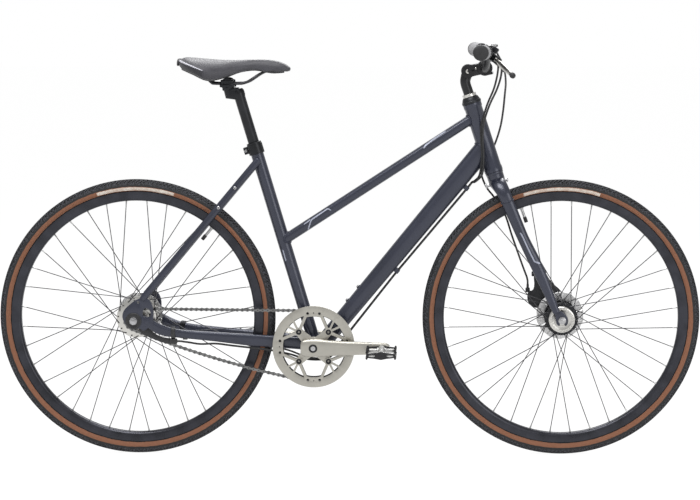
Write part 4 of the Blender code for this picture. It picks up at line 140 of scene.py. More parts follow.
world = bpy.data.worlds.new("studio")
scene.world = world
world.use_nodes = True
air = Shade(world.node_tree)
for node in list(world.node_tree.nodes):
    world.node_tree.nodes.remove(node)
sky = air.make("ShaderNodeLightPath", output="Is Camera Ray")
sky = sky + air.make("ShaderNodeLightPath", output="Is Glossy Ray") * 0.35
around = air.make("ShaderNodeBackground", (),
                  {"Color": (1, 1, 1, 1), "Strength": sky.between(0, 1, 0.36, 1.0)})
air.make("ShaderNodeOutputWorld", (), {"Surface": around})

# (name, place, size, power): the key from above and before the bicycle, a fill and a rim light
for name, place, size, power in (
    ("key", (-0.7, -1.6, 3.8), 2.0, 100),
    ("fill", (2.6, -3.0, 1.4), 2.0, 30),
    ("back", (0.2, 2.2, 3.2), 2.2, 85),
):
    lamp = bpy.data.objects.new(name, bpy.data.lights.new(name, "AREA"))
    scene.collection.objects.link(lamp)
    lamp.data.size, lamp.data.energy = size, power
    lamp.location = place
    lamp.rotation_euler = (Vector((0, 0, 0.5)) - lamp.location).to_track_quat("-Z", "Y").to_euler()

# Main tubes: drawn aluminium, welded and painted a matt dark slate with a fine fleck. The top tube
# is straight and thin, the down tube deep; the head tube is ringed at both ends.

SIDE = Vector((0, 1, 0))
WHEELBASE = 1.06
TYRE_RADIUS = 0.346
REAR = Vector((-WHEELBASE / 2, 0, TYRE_RADIUS))
FRONT = Vector((WHEELBASE / 2, 0, TYRE_RADIUS))
BB = REAR + Vector((0.4443, 0, -0.067))
SEAT_ANGLE = math.radians(73.4)
HEAD_ANGLE = math.radians(72)
SEAT_UP = Vector((-math.cos(SEAT_ANGLE), 0, math.sin(SEAT_ANGLE)))
SEAT_BACK = Vector((-math.sin(SEAT_ANGLE), 0, -math.cos(SEAT_ANGLE)))
STEER_UP = Vector((-math.cos(HEAD_ANGLE), 0, math.sin(HEAD_ANGLE)))
STEER_AHEAD = Vector((math.sin(HEAD_ANGLE), 0, math.cos(HEAD_ANGLE)))
STEER_FOOT = FRONT - STEER_AHEAD * 0.047
HEAD_BOTTOM, HEAD_TOP, HEAD_RADIUS = 0.4, 0.578, 0.022
SEAT_TUBE_TOP, SEAT_TUBE_RADIUS = 0.511, 0.0159
TOP_TUBE_HALVES = (0.0155, 0.0125)
DOWN_TUBE_BELOW = 0.015
SHELL_HALF, SHELL_RADIUS = 0.034, 0.021
SIDES = (("right", -1), ("left", 1))


def mm(*rows):
    """Rows of millimetres, as metres."""
    return [tuple(value / 1000 for value in row) for row in rows]


def seat_point(height):
    return BB + SEAT_UP * height


def steer_point(height, ahead=0.0, side=0.0):
    return STEER_FOOT + STEER_UP * height + STEER_AHEAD * ahead + SIDE * side


class Finish(Shade):
    """A material with one Principled shader, and its place on the object's own coordinates."""

    def __init__(self, name, colour, roughness, metallic=0.0, **fixed):
        self.material = bpy.data.materials.new(name)
        self.material.use_nodes = True
        super().__init__(self.material.node_tree)
        self.shader = self.tree.nodes["Principled BSDF"]
        self.colour, self.roughness = colour, roughness
        self.set("Base Color", (*colour, 1))
        self.set("Roughness", roughness)
        self.set("Metallic", metallic)
        for key, value in fixed.items():
            self.set(key.replace("_", " "), value)
        self.place = self.make("ShaderNodeTexCoord", output="Object")

    def set(self, socket, value):
        if isinstance(value, Shade):
            self.tree.links.new(value.socket, self.shader.inputs[socket])
        else:
            self.shader.inputs[socket].default_value = value

    def noise(self, scale, detail=2.0, stretch=(1, 1, 1)):
        vector = self.place
        if stretch != (1, 1, 1):
            vector = self.make("ShaderNodeMapping", (), {"Vector": self.place, "Scale": stretch})
        return self.make("ShaderNodeTexNoise", (), {"Vector": vector, "Scale": scale, "Detail": detail})

    def cells(self, scale, feature="F1"):
        return self.make("ShaderNodeTexVoronoi", {"feature": feature},
                         {"Vector": self.place, "Scale": scale})

    def worn(self, amount, scale, tint):
        """Roughness and colour that drift a little over the surface."""
        drift = self.noise(scale, 4.0)
        self.set("Roughness", drift.between(0.3, 0.7, self.roughness - amount, self.roughness + amount))
        darker = tuple(c * (1 - tint) for c in self.colour)
        lighter = tuple(min(c * (1 + tint), 1) for c in self.colour)
        self.tinted = drift.between(0.35, 0.65).mix(darker, lighter)
        self.set("Base Color", self.tinted)
        return self

    def bump(self, height, depth, strength):
        values = {"Strength": strength, "Distance": depth, "Height": height}
        self.set("Normal", self.make("ShaderNodeBump", (), values))
        return self

    def grain(self, scale, depth, strength):
        return self.bump(self.noise(scale), depth, strength)


paint = Finish("slate_paint", (0.03, 0.034, 0.055), 0.34, 0.4, Coat_Weight=0.42, Coat_Roughness=0.13)
paint.worn(0.05, 9.0, 0.1)
fleck = paint.cells(2600.0).between(0.0, 0.32, 1.0, 0.0)
paint.set("Base Color", (fleck * 0.25).mix(paint.tinted, (0.13, 0.14, 0.2)))
paint.grain(900.0, 0.00008, 0.35)


def bridge(mesh, loops, ends=True):
    """Skin from each loop of edges to the next, closed at both ends."""
    for lower, upper in zip(loops, loops[1:]):
        bmesh.ops.bridge_loops(mesh, edges=lower + upper)
    if ends:
        for loop in (loops[0], loops[-1]):
            bmesh.ops.contextual_create(mesh, geom=loop)


def squared(x, y, power):
    """A point of a circle moved out to the rounded square that a power over 2 gives."""
    out = (abs(x) ** power + abs(y) ** power) ** (-1 / power)
    return x * out, y * out


def loft(mesh, sections, sides, power=2.0, ends=True):
    """Skin over oval sections (centre, half axis across, half axis deep)."""
    loops = []
    for centre, across, deep in sections:
        ring = bmesh.ops.create_circle(mesh, cap_ends=False, segments=sides, radius=1)["verts"]
        for vert in ring:
            x, y = squared(vert.co.x, vert.co.y, power)
            vert.co = centre + across * x + deep * y
        loops.append(list({edge for vert in ring for edge in vert.link_edges}))
    bridge(mesh, loops, ends)
    return mesh


def along(rows, hint=SIDE):
    """Sections square to a path; each row is (x, y, z, half width, half depth)."""
    sections = []
    across = hint
    for i, row in enumerate(rows):
        path = (Vector(rows[min(i + 1, len(rows) - 1)][:3]) - Vector(rows[max(i - 1, 0)][:3])).normalized()
        across = (across - path * across.dot(path)).normalized()
        sections.append((Vector(row[:3]), across * row[3], path.cross(across) * row[4]))
    return sections


def smooth(rows, steps):
    """Rows of numbers on a smooth line through the given rows."""
    rows = [Vector(row) for row in rows]
    made = [rows[0]]
    for i in range(len(rows) - 1):
        a, b, c, d = (rows[min(max(i + k, 0), len(rows) - 1)] for k in (-1, 0, 1, 2))
        for step in range(1, steps + 1):
            t = step / steps
            made.append((2 * b + (c - a) * t + (2 * a - 5 * b + 4 * c - d) * t**2
                         + (3 * b - a - 3 * c + d) * t**3) * 0.5)
    return made


def spin(mesh, centre, axis, profile, steps, ring=True):
    """Shape turned round an axis from points (radius, distance along the axis)."""
    line = Vector(axis).normalized()
    out = line.orthogonal().normalized()
    verts = [mesh.verts.new(centre + out * radius + line * far) for radius, far in profile]
    pairs = list(zip(verts, verts[1:])) + ([(verts[-1], verts[0])] if ring else [])
    edges = [mesh.edges.new(pair) for pair in pairs]
    bmesh.ops.spin(mesh, geom=verts + edges, cent=centre, axis=line, angle=2 * math.pi, steps=steps,
                   use_merge=True)
    return mesh


def rod(mesh, start, end, radius, sides, end_radius=None, round_off=0.0):
    """Straight rod or cone, its two rims rounded off if asked."""
    turn = (end - start).to_track_quat("Z", "Y").to_matrix().to_4x4()
    made = bmesh.ops.create_cone(mesh, cap_ends=True, segments=sides, radius1=radius,
                                 radius2=radius if end_radius is None else end_radius,
                                 depth=(end - start).length,
                                 matrix=Matrix.Translation((start + end) / 2) @ turn)
    if round_off:
        line = (end - start).normalized()
        edges = {e for v in made["verts"] for e in v.link_edges}
        rims = [e for e in edges if abs((e.verts[0].co - e.verts[1].co).dot(line)) < 1e-6]
        bmesh.ops.bevel(mesh, geom=rims, offset=round_off, segments=2, profile=0.5, affect="EDGES",
                        material=-1)


def block(mesh, centre, size, round_off, axes=None, segments=2):
    """Box with rounded edges, along X, Y and Z or the given axes."""
    turn = Matrix(axes).transposed().to_4x4() if axes else Matrix.Identity(4)
    place = Matrix.Translation(centre) @ turn @ Matrix.Diagonal((*size, 1))
    made = bmesh.ops.create_cube(mesh, size=1, matrix=place)
    edges = list({edge for vert in made["verts"] for edge in vert.link_edges})
    bmesh.ops.bevel(mesh, geom=edges, offset=round_off, segments=segments, profile=0.5, affect="EDGES",
                    material=-1)


def piece(name, mesh, finish, body, slot, *nodes, sharp=32):
    """Ends a mesh as a piece that rides on a body and stands for CAD nodes."""
    bmesh.ops.remove_doubles(mesh, verts=mesh.verts, dist=1e-6)
    bmesh.ops.recalc_face_normals(mesh, faces=mesh.faces)
    data = bpy.data.meshes.new(name)
    mesh.to_mesh(data)
    mesh.free()
    data.shade_smooth()
    data.set_sharp_from_angle(angle=math.radians(sharp))
    data.materials.append(finish.material)
    made = bpy.data.objects.new(name, data)
    scene.collection.objects.link(made)
    if body:
        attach(made, body)
    if nodes:
        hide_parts(*nodes)
    return made


def surface(target):
    """A piece's faces, for finding where a line meets them."""
    return BVHTree.FromPolygons([v.co for v in target.data.vertices],
                                [p.vertices for p in target.data.polygons])


def weld(mesh, rows, power, target, size=0.0022):
    """Bead where a tube of these rows runs into another piece, found along the tube's own lines."""
    tree = surface(target)
    outer, inner = along(rows)[0], along(rows)[-1]
    bead = []
    for step in range(56):
        turn = 2 * math.pi * step / 56
        x, y = squared(math.cos(turn), math.sin(turn), power)
        a, b = (centre + across * x + deep * y for centre, across, deep in (outer, inner))
        hit, normal, _, _ = tree.ray_cast(a, (b - a).normalized(), (b - a).length)
        if hit:
            bead.append(hit + normal * (0.0006 * math.copysign(1, normal.dot(a - b))))
    if len(bead) < 20:
        return
    middle = sum(bead, Vector()) / len(bead)
    sections = []
    for i, point in enumerate(bead + bead[:1]):
        path = (bead[(i + 1) % len(bead)] - bead[(i - 1) % len(bead)]).normalized()
        out = point - middle
        out = (out - path * out.dot(path)).normalized()
        ripple = size * (1.12 if i % 2 else 0.92)
        sections.append((point, out * ripple, path.cross(out) * ripple))
    loft(mesh, sections, 8, 2.0, ends=False)


head_rings = ((0.0, 0.0232), (0.01, 0.0232), (0.012, HEAD_RADIUS))
mesh = bmesh.new()
length = HEAD_TOP - HEAD_BOTTOM
profile = [(r, far) for far, r in head_rings]
profile += [(r, length - far) for far, r in head_rings[::-1]] + [(0.015, length), (0.015, 0.0)]
spin(mesh, steer_point(HEAD_BOTTOM), STEER_UP, profile, 64)
head_tube = piece("head_tube_skin", mesh, paint, "frame", "frame_paint", "head_tube")

mesh = bmesh.new()
spin(mesh, BB, SEAT_UP,
     ((SEAT_TUBE_RADIUS, 0.01), (SEAT_TUBE_RADIUS, SEAT_TUBE_TOP), (0.014, SEAT_TUBE_TOP), (0.014, 0.01)),
     56)
seat_tube = piece("seat_tube_skin", mesh, paint, "frame", "frame_paint", "seat_tube")

mesh = bmesh.new()
spin(mesh, BB, SIDE,
     ((SHELL_RADIUS, -SHELL_HALF + 0.0008), (SHELL_RADIUS, SHELL_HALF - 0.0008),
      (SHELL_RADIUS - 0.0008, SHELL_HALF), (0.0175, SHELL_HALF), (0.0175, -SHELL_HALF),
      (SHELL_RADIUS - 0.0008, -SHELL_HALF)), 56)
shell = piece("bracket_shell_skin", mesh, paint, "frame", "frame_paint", "bottom_bracket_shell")

down_end = steer_point(HEAD_BOTTOM + 0.0655)
reach = down_end - BB
down_tilt = math.atan2(reach.z, reach.x) + math.asin(DOWN_TUBE_BELOW / reach.length)
DOWN = Vector((math.cos(down_tilt), 0, math.sin(down_tilt)))
ABOVE = Vector((-DOWN.z, 0, DOWN.x))
down_start = down_end - DOWN * (math.sqrt(reach.length_squared - DOWN_TUBE_BELOW**2) - 0.003)


def down_half(share):
    return (0.04 + 0.009 * share) / 2


top_rows = [(*seat_point(0.2705).lerp(steer_point(0.545), s), *TOP_TUBE_HALVES) for s in (0, 0.5, 1)]
down_rows = [(*down_start.lerp(down_end, s), 0.02, down_half(s)) for s in (0, 0.35, 0.7, 1)]
for name, rows in (("top_tube", top_rows), ("down_tube", down_rows)):
    mesh = bmesh.new()
    loft(mesh, along(rows), 48, 2.6)
    if name == "top_tube":
        # open and cut round the seat tube's wall, so that the post passes
        tree = surface(seat_tube)
        start = Vector(rows[0][:3])
        line = (Vector(rows[1][:3]) - start).normalized()
        mouth = [v for v in mesh.verts if abs((v.co - start).dot(line)) < 1e-4]
        shut = [face for face in mesh.faces if all(vert in mouth for vert in face.verts)]
        bmesh.ops.delete(mesh, geom=shut, context="FACES_ONLY")
        for vert in mouth:
            hit = tree.ray_cast(vert.co + line * 0.06, -line)[0]
            vert.co = (hit or vert.co) - line * 0.0004
    piece(f"{name}_skin", mesh, paint, "frame", "frame_paint", name)

mesh = bmesh.new()
weld(mesh, top_rows[1:], 2.6, head_tube)
weld(mesh, top_rows[1::-1], 2.6, seat_tube)
weld(mesh, down_rows[2:], 2.6, head_tube)
weld(mesh, down_rows[1::-1], 2.6, shell)
seat_rows = [(*seat_point(h), SEAT_TUBE_RADIUS, SEAT_TUBE_RADIUS) for h in (0.06, 0.005)]
weld(mesh, seat_rows, 2.0, shell)
bead_paint = Finish("bead_paint", paint.colour, 0.46, 0.3)
bead_paint.worn(0.05, 40.0, 0.12).grain(420.0, 0.0004, 0.6)
piece("weld_beads", mesh, bead_paint, "frame", "frame_paint", sharp=180)

# Screws and guides on the tubes: button-head screws of plated steel stand in the bottle and rack
# bosses, and two clips under the down tube carry both cables.

screw_steel = Finish("plated_steel", (0.48, 0.48, 0.49), 0.28, 1.0)
screw_steel.worn(0.07, 60.0, 0.15).grain(700.0, 0.0001, 0.3)
# painted shade in the dark plugs that fill the screws' sockets; the valve caps are of this black too
socket_shade_and_cap_black = Finish("painted_socket_shade_and_cap_black", (0.012, 0.012, 0.013), 0.6)
socket_shade_and_cap_black.worn(0.05, 90.0, 0.2)


def screw(mesh, recess, face, axis, radius, height):
    """Domed screw head with a six-sided socket, whose hollow is drawn as a dark plug of painted shade."""
    line = Vector(axis).normalized()
    dome = ((0.0, height), (radius * 0.62, height), (radius * 0.9, height * 0.62), (radius, 0.0),
            (0.0, 0.0))
    spin(mesh, face, line, dome, 20, ring=False)
    rod(recess, face + line * (height * 0.4), face + line * (height + 0.00012), radius * 0.42, 6)


screws, recesses, bosses = bmesh.new(), bmesh.new(), bmesh.new()
for share in (0.272, 0.205):
    foot = down_start.lerp(down_end, share)
    top = foot + ABOVE * (down_half(share) + 0.002)
    rod(bosses, foot, top, 0.0055, 24, round_off=0.0006)
    screw(screws, recesses, top, ABOVE, 0.0045, 0.0026)


def seatstay_ends(side):
    """Where a seat stay leaves the seat tube, and where it meets the dropout."""
    return (seat_point(SEAT_TUBE_TOP - 0.029) + SIDE * (side * 0.019),
            REAR + Vector((0.021, side * 0.069, 0.053)))


for side in (-1, 1):
    head, foot = seatstay_ends(side)
    for share in (0.198, 0.34):
        inner = head.lerp(foot, share)
        outer = inner + SIDE * (side * 0.009)
        rod(bosses, inner, outer, 0.0052, 24, round_off=0.0006)
        screw(screws, recesses, outer, SIDE * side, 0.0042, 0.0022)
GUIDE_SHARES = (0.83, 0.415)


def guide_middle(share, side):
    """Middle of a cable's seat in a guide, this share of the way up the down tube."""
    return down_start.lerp(down_end, share) - ABOVE * (down_half(share) + 0.007) + SIDE * (side * 0.006)


for share in GUIDE_SHARES:
    centre = down_start.lerp(down_end, share) - ABOVE * (down_half(share) + 0.006)
    block(bosses, centre + ABOVE * 0.004, (0.012, 0.02, 0.01), 0.002, (DOWN, SIDE, ABOVE))
    for side in (-1, 1):
        spin(bosses, guide_middle(share, side), DOWN, mm((2.8, -5), (4.5, -5), (4.5, 5), (2.8, 5)), 24)
piece("bosses_and_guides", bosses, paint, "frame", "frame_paint")
piece("frame_screws", screws, screw_steel, "frame", "steel")
piece("frame_screw_sockets", recesses, socket_shade_and_cap_black, "frame", "black_plastic")

# Stays: tapered tubes from the bottom bracket and the seat tube to the rear axle. Each chain stay
# ends in a cut and filed plate with the axle slot, which the seat stay's foot is welded to.

CHAINSTAY_ROUTE = mm((30, 66, -1, 22), (67, 62, -23.5, 26), (115, 52, -35, 21), (200, 40, -44.4, 24),
                     (286, 31, -53.7, 30), (335, 27, -57.4, 30))
DROPOUT_OUTLINE = mm((12, 57), (-20, 32.5), (-27.5, 18), (-27.5, 5), (-20, -9), (-11, -17.5), (-5.6, -19),
                     (-5.6, -6), (-5.6, 3), (0, 6.5), (5.6, 3), (5.6, -6), (5.6, -20), (17, -18),
                     (24, -26.5), (34, -19), (41.5, -15.5), (49, -6), (49, 3), (50, 30), (44, 47),
                     (34, 57))
DROPOUT_WINDOW = mm((22, 11), (41, 9), (44, 18), (40, 29), (30, 33), (23, 26))
REAR_DROPOUT = 0.069


def on_circle(centre, radius, turn, y=0.0):
    return centre + Vector((radius * math.cos(turn), y, radius * math.sin(turn)))


def flat(points):
    """Points as an outline of (x, z)."""
    return [(point.x, point.z) for point in points]


def disc(centre, radius, steps=24):
    return flat(on_circle(centre, radius, 2 * math.pi * step / steps) for step in range(steps))


def rounded(outline, centre):
    """Outline placed at a centre, its corners cut off twice over."""
    points = [Vector((x + centre.x, z + centre.z)) for x, z in outline]
    for _ in range(2):
        points = [a.lerp(b, s) for a, b in zip(points, points[1:] + points[:1]) for s in (0.25, 0.75)]
    return [tuple(point) for point in points]


def thicken(mesh, faces, thickness):
    """Gives faces square to Y this thickness."""
    grown = bmesh.ops.extrude_face_region(mesh, geom=faces)["geom"]
    bmesh.ops.translate(mesh, vec=(0, thickness, 0),
                        verts=[g for g in grown if isinstance(g, bmesh.types.BMVert)])


def plate(mesh, loops, thickness, y, soft):
    """Flat plate square to Y from outlines of (x, z), the later ones holes, with softened edges."""
    sheet = bmesh.new()
    edges = []
    for loop in loops:
        verts = [sheet.verts.new((x, y - thickness / 2, z)) for x, z in loop]
        edges += [sheet.edges.new(pair) for pair in zip(verts, verts[1:] + verts[:1])]
    bmesh.ops.triangle_fill(sheet, use_beauty=True, edges=edges)
    thicken(sheet, sheet.faces[:], thickness)
    bmesh.ops.recalc_face_normals(sheet, faces=sheet.faces)
    rims = [e for e in sheet.edges if e.is_manifold and e.calc_face_angle() > 1.2]
    bmesh.ops.bevel(sheet, geom=rims, offset=soft, segments=2, profile=0.5, affect="EDGES", material=-1)
    made = bpy.data.meshes.new("plate")
    sheet.to_mesh(made)
    sheet.free()
    mesh.from_mesh(made)
    bpy.data.meshes.remove(made)


beads = bmesh.new()
for name, side in SIDES:
    rows = [(REAR.x + x, side * y, REAR.z + z, 0.0075, height / 2) for x, y, z, height in CHAINSTAY_ROUTE]
    rows.append((BB.x, side * 0.022, BB.z, 0.0075, 0.015))
    mesh = bmesh.new()
    rows = smooth(rows, 5)
    loft(mesh, along(rows), 32, 2.4)
    plate(mesh,
          [rounded(DROPOUT_OUTLINE, REAR), rounded(DROPOUT_WINDOW, REAR),
           disc(REAR + Vector((0.012, 0, 0.046)), 0.003)], 0.006, side * REAR_DROPOUT, 0.0007)
    piece(f"chainstay_{name}_skin", mesh, paint, "frame", "frame_paint", f"chainstay_{name}")
    weld(beads, rows[-12:], 2.4, shell, 0.0018)

    head, foot = seatstay_ends(side)
    rows = [(*foot.lerp(head, share), 0.007 - 0.002 * (share == 0), 0.009 - 0.003 * (share == 0))
            for share in (0, 0.02, 0.5, 1)]
    mesh = bmesh.new()
    loft(mesh, along(rows), 32, 2.2)
    cap = head + (head - foot).normalized() * 0.003
    loft(mesh, along([(*head, 0.007, 0.009), (*cap, 0.0055, 0.0072)]), 32, 2.2)
    piece(f"seatstay_{name}_skin", mesh, paint, "frame", "frame_paint", f"seatstay_{name}")
    low = head - Vector((0, 0, 0.03))
    weld(beads, [(*low, 0.006, 0.006), (*(low - SIDE * (side * 0.019)), 0.006, 0.006)], 2.2, seat_tube,
         0.0016)
piece("stay_weld_beads", beads, bead_paint, "frame", "frame_paint", sharp=180)

# Seat clamp: an anodised collar split at the back, drawn together round the seat tube's mouth and
# the post by one socket screw through its ears.

black_metal = Finish("black_anodising", (0.02, 0.021, 0.024), 0.36, 0.6)
black_metal.worn(0.07, 30.0, 0.25).grain(1500.0, 0.00006, 0.3)
CLAMP_LOW, CLAMP_HIGH, CLAMP_RADIUS = 0.497, 0.527, 0.0195
mesh = bmesh.new()
spin(mesh, BB, SEAT_UP,
     ((CLAMP_RADIUS - 0.001, CLAMP_LOW), (CLAMP_RADIUS, CLAMP_LOW + 0.001),
      (CLAMP_RADIUS, CLAMP_HIGH - 0.005), (CLAMP_RADIUS - 0.0012, CLAMP_HIGH - 0.0045),
      (CLAMP_RADIUS - 0.0012, CLAMP_HIGH - 0.001), (CLAMP_RADIUS - 0.0022, CLAMP_HIGH),
      (0.014, CLAMP_HIGH), (0.014, SEAT_TUBE_TOP), (0.0163, SEAT_TUBE_TOP), (0.0163, CLAMP_LOW)), 56)
ears = seat_point((CLAMP_LOW + CLAMP_HIGH) / 2) + SEAT_BACK * (CLAMP_RADIUS + 0.0035)
for side in (-1, 1):
    block(mesh, ears + SIDE * (side * 0.0037), (0.013, 0.0052, 0.018), 0.0018, (SEAT_BACK, SIDE, SEAT_UP),
          3)
piece("seat_clamp_skin", mesh, black_metal, "frame", "black_metal", "seat_clamp")
screws, recesses = bmesh.new(), bmesh.new()
screw(screws, recesses, ears + SEAT_BACK * 0.001 - SIDE * 0.0062, -SIDE, 0.0042, 0.0038)
rod(screws, ears + SEAT_BACK * 0.001, ears + SEAT_BACK * 0.001 + SIDE * 0.0085, 0.0036, 20,
    round_off=0.0004)
piece("seat_clamp_screw", screws, screw_steel, "frame", "steel")
piece("seat_clamp_socket", recesses, socket_shade_and_cap_black, "frame", "black_plastic")

# Tyres: rubber on a cotton casing, with a black siped tread and tan side walls, and beads that hook
# under the edges of the black extruded rims.

TYRE_MIDDLE, TYRE_HALF = 0.328, 0.018
TREAD_ANGLE = 55
TYRE_STEPS = 640
RIM_EDGE, RIM_INNER = 0.316, 0.292
TAN_WALL, TREAD_EDGE = (0.3175, 0.3282), 0.333
# a painted highlight on the side walls over the top of each wheel: its radii, and the cosine of half its
# angle
HIGHLIGHT_RADII, HIGHLIGHT_REACH = (0.319, 0.3268), 0.9553
WHEELS = (("rear", REAR), ("front", FRONT))


def round_axle(finish, axle):
    """Distance from an axle, in the wheel's own plane, and height over it."""
    out = finish.make("ShaderNodeSeparateXYZ", (), {"Vector": finish.place})
    x = out - axle.x
    z = Shade(finish.tree, out.socket.node.outputs["Z"]) - axle.z
    return (x * x + z * z) ** 0.5, z


def step_round(offset, steps):
    """Number of the step that an offset from an axle points to, of so many round it."""
    return int((math.atan2(offset.z, offset.x) + math.pi) / (2 * math.pi) * steps + 0.01)


rim_black = Finish("rim_anodising", (0.034, 0.035, 0.044), 0.3, 0.6)
rim_black.worn(0.06, 26.0, 0.25).grain(2200.0, 0.00005, 0.3)
nipple_metal = Finish("nickel_nipples", (0.42, 0.42, 0.42), 0.32, 1.0)
nipple_metal.worn(0.08, 80.0, 0.2)
for name, axle in WHEELS:
    rubber = Finish(f"{name}_tyre_rubber", (0.021, 0.021, 0.022), 0.82)
    rubber.worn(0.06, 30.0, 0.25)
    out, level = round_axle(rubber, axle)
    out = out + rubber.noise(60.0).between(0.3, 0.7, -0.0004, 0.0004)
    tan = (out > TAN_WALL[0]) * (out < TAN_WALL[1])
    thread = rubber.make("ShaderNodeTexWave", {"wave_type": "RINGS", "rings_direction": "SPHERICAL"},
                         {"Vector": rubber.place, "Scale": 260.0, "Distortion": 2.0})
    wall = rubber.noise(140.0, 3.0).mix((0.215, 0.09, 0.048), (0.27, 0.115, 0.064))
    # painted highlight: the tan side wall is lightened in a pale strip at the top of the wheel, where light
    # from above falls
    top_highlight_mask = ((level - out * HIGHLIGHT_REACH) > 0) * (out > HIGHLIGHT_RADII[0]) * (out < HIGHLIGHT_RADII[1])
    painted_highlight = rubber.noise(90.0, 2.0).between(0.35, 0.65).mix((0.62, 0.5, 0.42), (0.78, 0.72, 0.64))
    wall = top_highlight_mask.mix(wall, painted_highlight)
    # speckle on the tread: partly dust, partly painted highlight on the knob tops with painted shade
    # between them
    tread_dust_and_highlights = rubber.cells(420.0).between(0.15, 0.55).mix((0.12, 0.125, 0.15), (0.01, 0.01, 0.011))
    tread = (out > TREAD_EDGE) * 0.8
    rubber.set("Base Color", tan.mix(tread.mix(rubber.tinted, tread_dust_and_highlights), wall))
    rubber.bump(rubber.noise(700.0) + thread * 0.4, 0.00025, 0.5)

    mesh = bmesh.new()
    profile = [(RIM_EDGE + 0.0004, 0.0094), (0.3178, 0.0128)]
    for degrees in range(-115, 116, 10):
        turn = math.radians(-degrees)
        thick = TYRE_HALF - (0.0008 if abs(degrees) > TREAD_ANGLE + 1 else 0)
        profile.append((TYRE_MIDDLE + thick * math.cos(turn), thick * math.sin(turn)))
    profile += [(0.3178, -0.0128), (RIM_EDGE + 0.0004, -0.0094), (0.3088, -0.009), (0.3088, 0.009)]
    spin(mesh, axle, SIDE, profile, TYRE_STEPS)
    sipes = []
    for face in mesh.faces:
        middle = face.calc_center_median() - axle
        lean = math.degrees(math.atan2(middle.y, math.hypot(middle.x, middle.z) - TYRE_MIDDLE))
        if abs(lean) > TREAD_ANGLE - 3:
            continue
        row, place = round(lean / 10), step_round(middle, TYRE_STEPS)
        if (place + row) % 3 == 0 or (abs(row) == 2 and place % 3 != 1):
            sipes.append(face)
    bmesh.ops.recalc_face_normals(mesh, faces=mesh.faces)
    bmesh.ops.inset_individual(mesh, faces=sipes, thickness=0.0002, depth=-0.0024)
    piece(f"{name}_tyre_skin", mesh, rubber, f"{name}_wheel", "tyre_rubber", f"{name}_tyre", sharp=24)

    mesh = bmesh.new()
    half = ((0.0094, 0.3085), (0.0096, RIM_EDGE - 0.0004), (0.0112, RIM_EDGE),
            (0.0116, RIM_EDGE - 0.0005), (0.0114, 0.3015), (0.0104, 0.2975), (0.008, 0.294),
            (0.0045, 0.2923))
    profile = [(radius, y) for y, radius in half] + [(radius, -y) for y, radius in half[::-1]]
    spin(mesh, axle, SIDE, profile, 144)
    piece(f"{name}_rim_skin", mesh, rim_black, f"{name}_wheel", "black_metal", f"{name}_rim")

# Spokes: stainless wire, 36 to a wheel, each hooked into a hub flange with a bent, headed end and
# drawn tight by a brass nipple in the rim, with the valve between two of them.

SPOKES = 36
SPOKE_RADIUS = 0.0011
FLANGE_HALF = 0.0031
spoke_wire = Finish("spoke_wire", (0.085, 0.085, 0.09), 0.34, 0.9)
spoke_wire.worn(0.08, 20.0, 0.25)
# (hole circle, right flange, left flange, how far round a spoke runs)
LACING = {"rear": (0.045, -0.026, 0.02, math.radians(60)),
          "front": (0.0375, -0.026, 0.018, math.radians(40))}
for name, axle in WHEELS:
    hole_circle, right, left, cross = LACING[name]
    wires, nipples = bmesh.new(), bmesh.new()
    for number in range(SPOKES):
        rim_turn = 2 * math.pi * (number + 0.5) / SPOKES
        flange = left if number % 2 == 0 else right
        forward = 1 if number % 4 in (1, 2) else -1
        hub_turn = rim_turn + forward * cross
        out = math.copysign(FLANGE_HALF + SPOKE_RADIUS, flange) * forward
        hole = on_circle(axle, hole_circle, hub_turn, flange)
        start = hole + SIDE * out
        end = on_circle(axle, RIM_INNER + 0.001, rim_turn)
        line = (end - start).normalized()
        rod(wires, start, end, SPOKE_RADIUS, 7)
        rod(wires, start - line * 0.0006, hole - SIDE * out, SPOKE_RADIUS * 1.1, 7)
        rod(wires, hole - SIDE * (out * 0.85), hole - SIDE * (out * 1.25), 0.0021, 8, 0.0014)
        rod(nipples, end - line * 0.0125, end, 0.0015, 8, 0.0021)
    piece(f"{name}_spokes", wires, spoke_wire, f"{name}_wheel", "steel", sharp=40)
    turn = math.radians(50 if name == "rear" else 110)
    foot, tip = on_circle(axle, RIM_INNER + 0.002, turn), on_circle(axle, RIM_INNER - 0.036, turn)
    rod(nipples, foot, foot.lerp(tip, 0.12), 0.0055, 6)
    rod(nipples, foot, tip, 0.0038, 16, 0.0036)
    piece(f"{name}_nipples", nipples, nipple_metal, f"{name}_wheel", "silver")
    cap = bmesh.new()
    rod(cap, foot.lerp(tip, 0.68), tip + (tip - foot).normalized() * 0.002, 0.0046, 12, round_off=0.0008)
    piece(f"{name}_valve_cap", cap, socket_shade_and_cap_black, f"{name}_wheel", "black_plastic")

# Rear hub: a polished aluminium shell with two drilled flanges, which holds the gears, and the
# pressed cooling disc of the roller brake on its left end.

silver = Finish("polished_alloy", (0.62, 0.61, 0.58), 0.27, 1.0)
silver.worn(0.07, 24.0, 0.1).bump(silver.noise(1200.0, 2.0, (1, 0.04, 1)), 0.00005, 0.35)
REAR_HUB_LEFT, REAR_HUB_RIGHT = 0.034, -0.038
disc_alloy = Finish("disc_alloy", (0.66, 0.66, 0.66), 0.36, 0.9)
disc_alloy.worn(0.07, 24.0, 0.1)


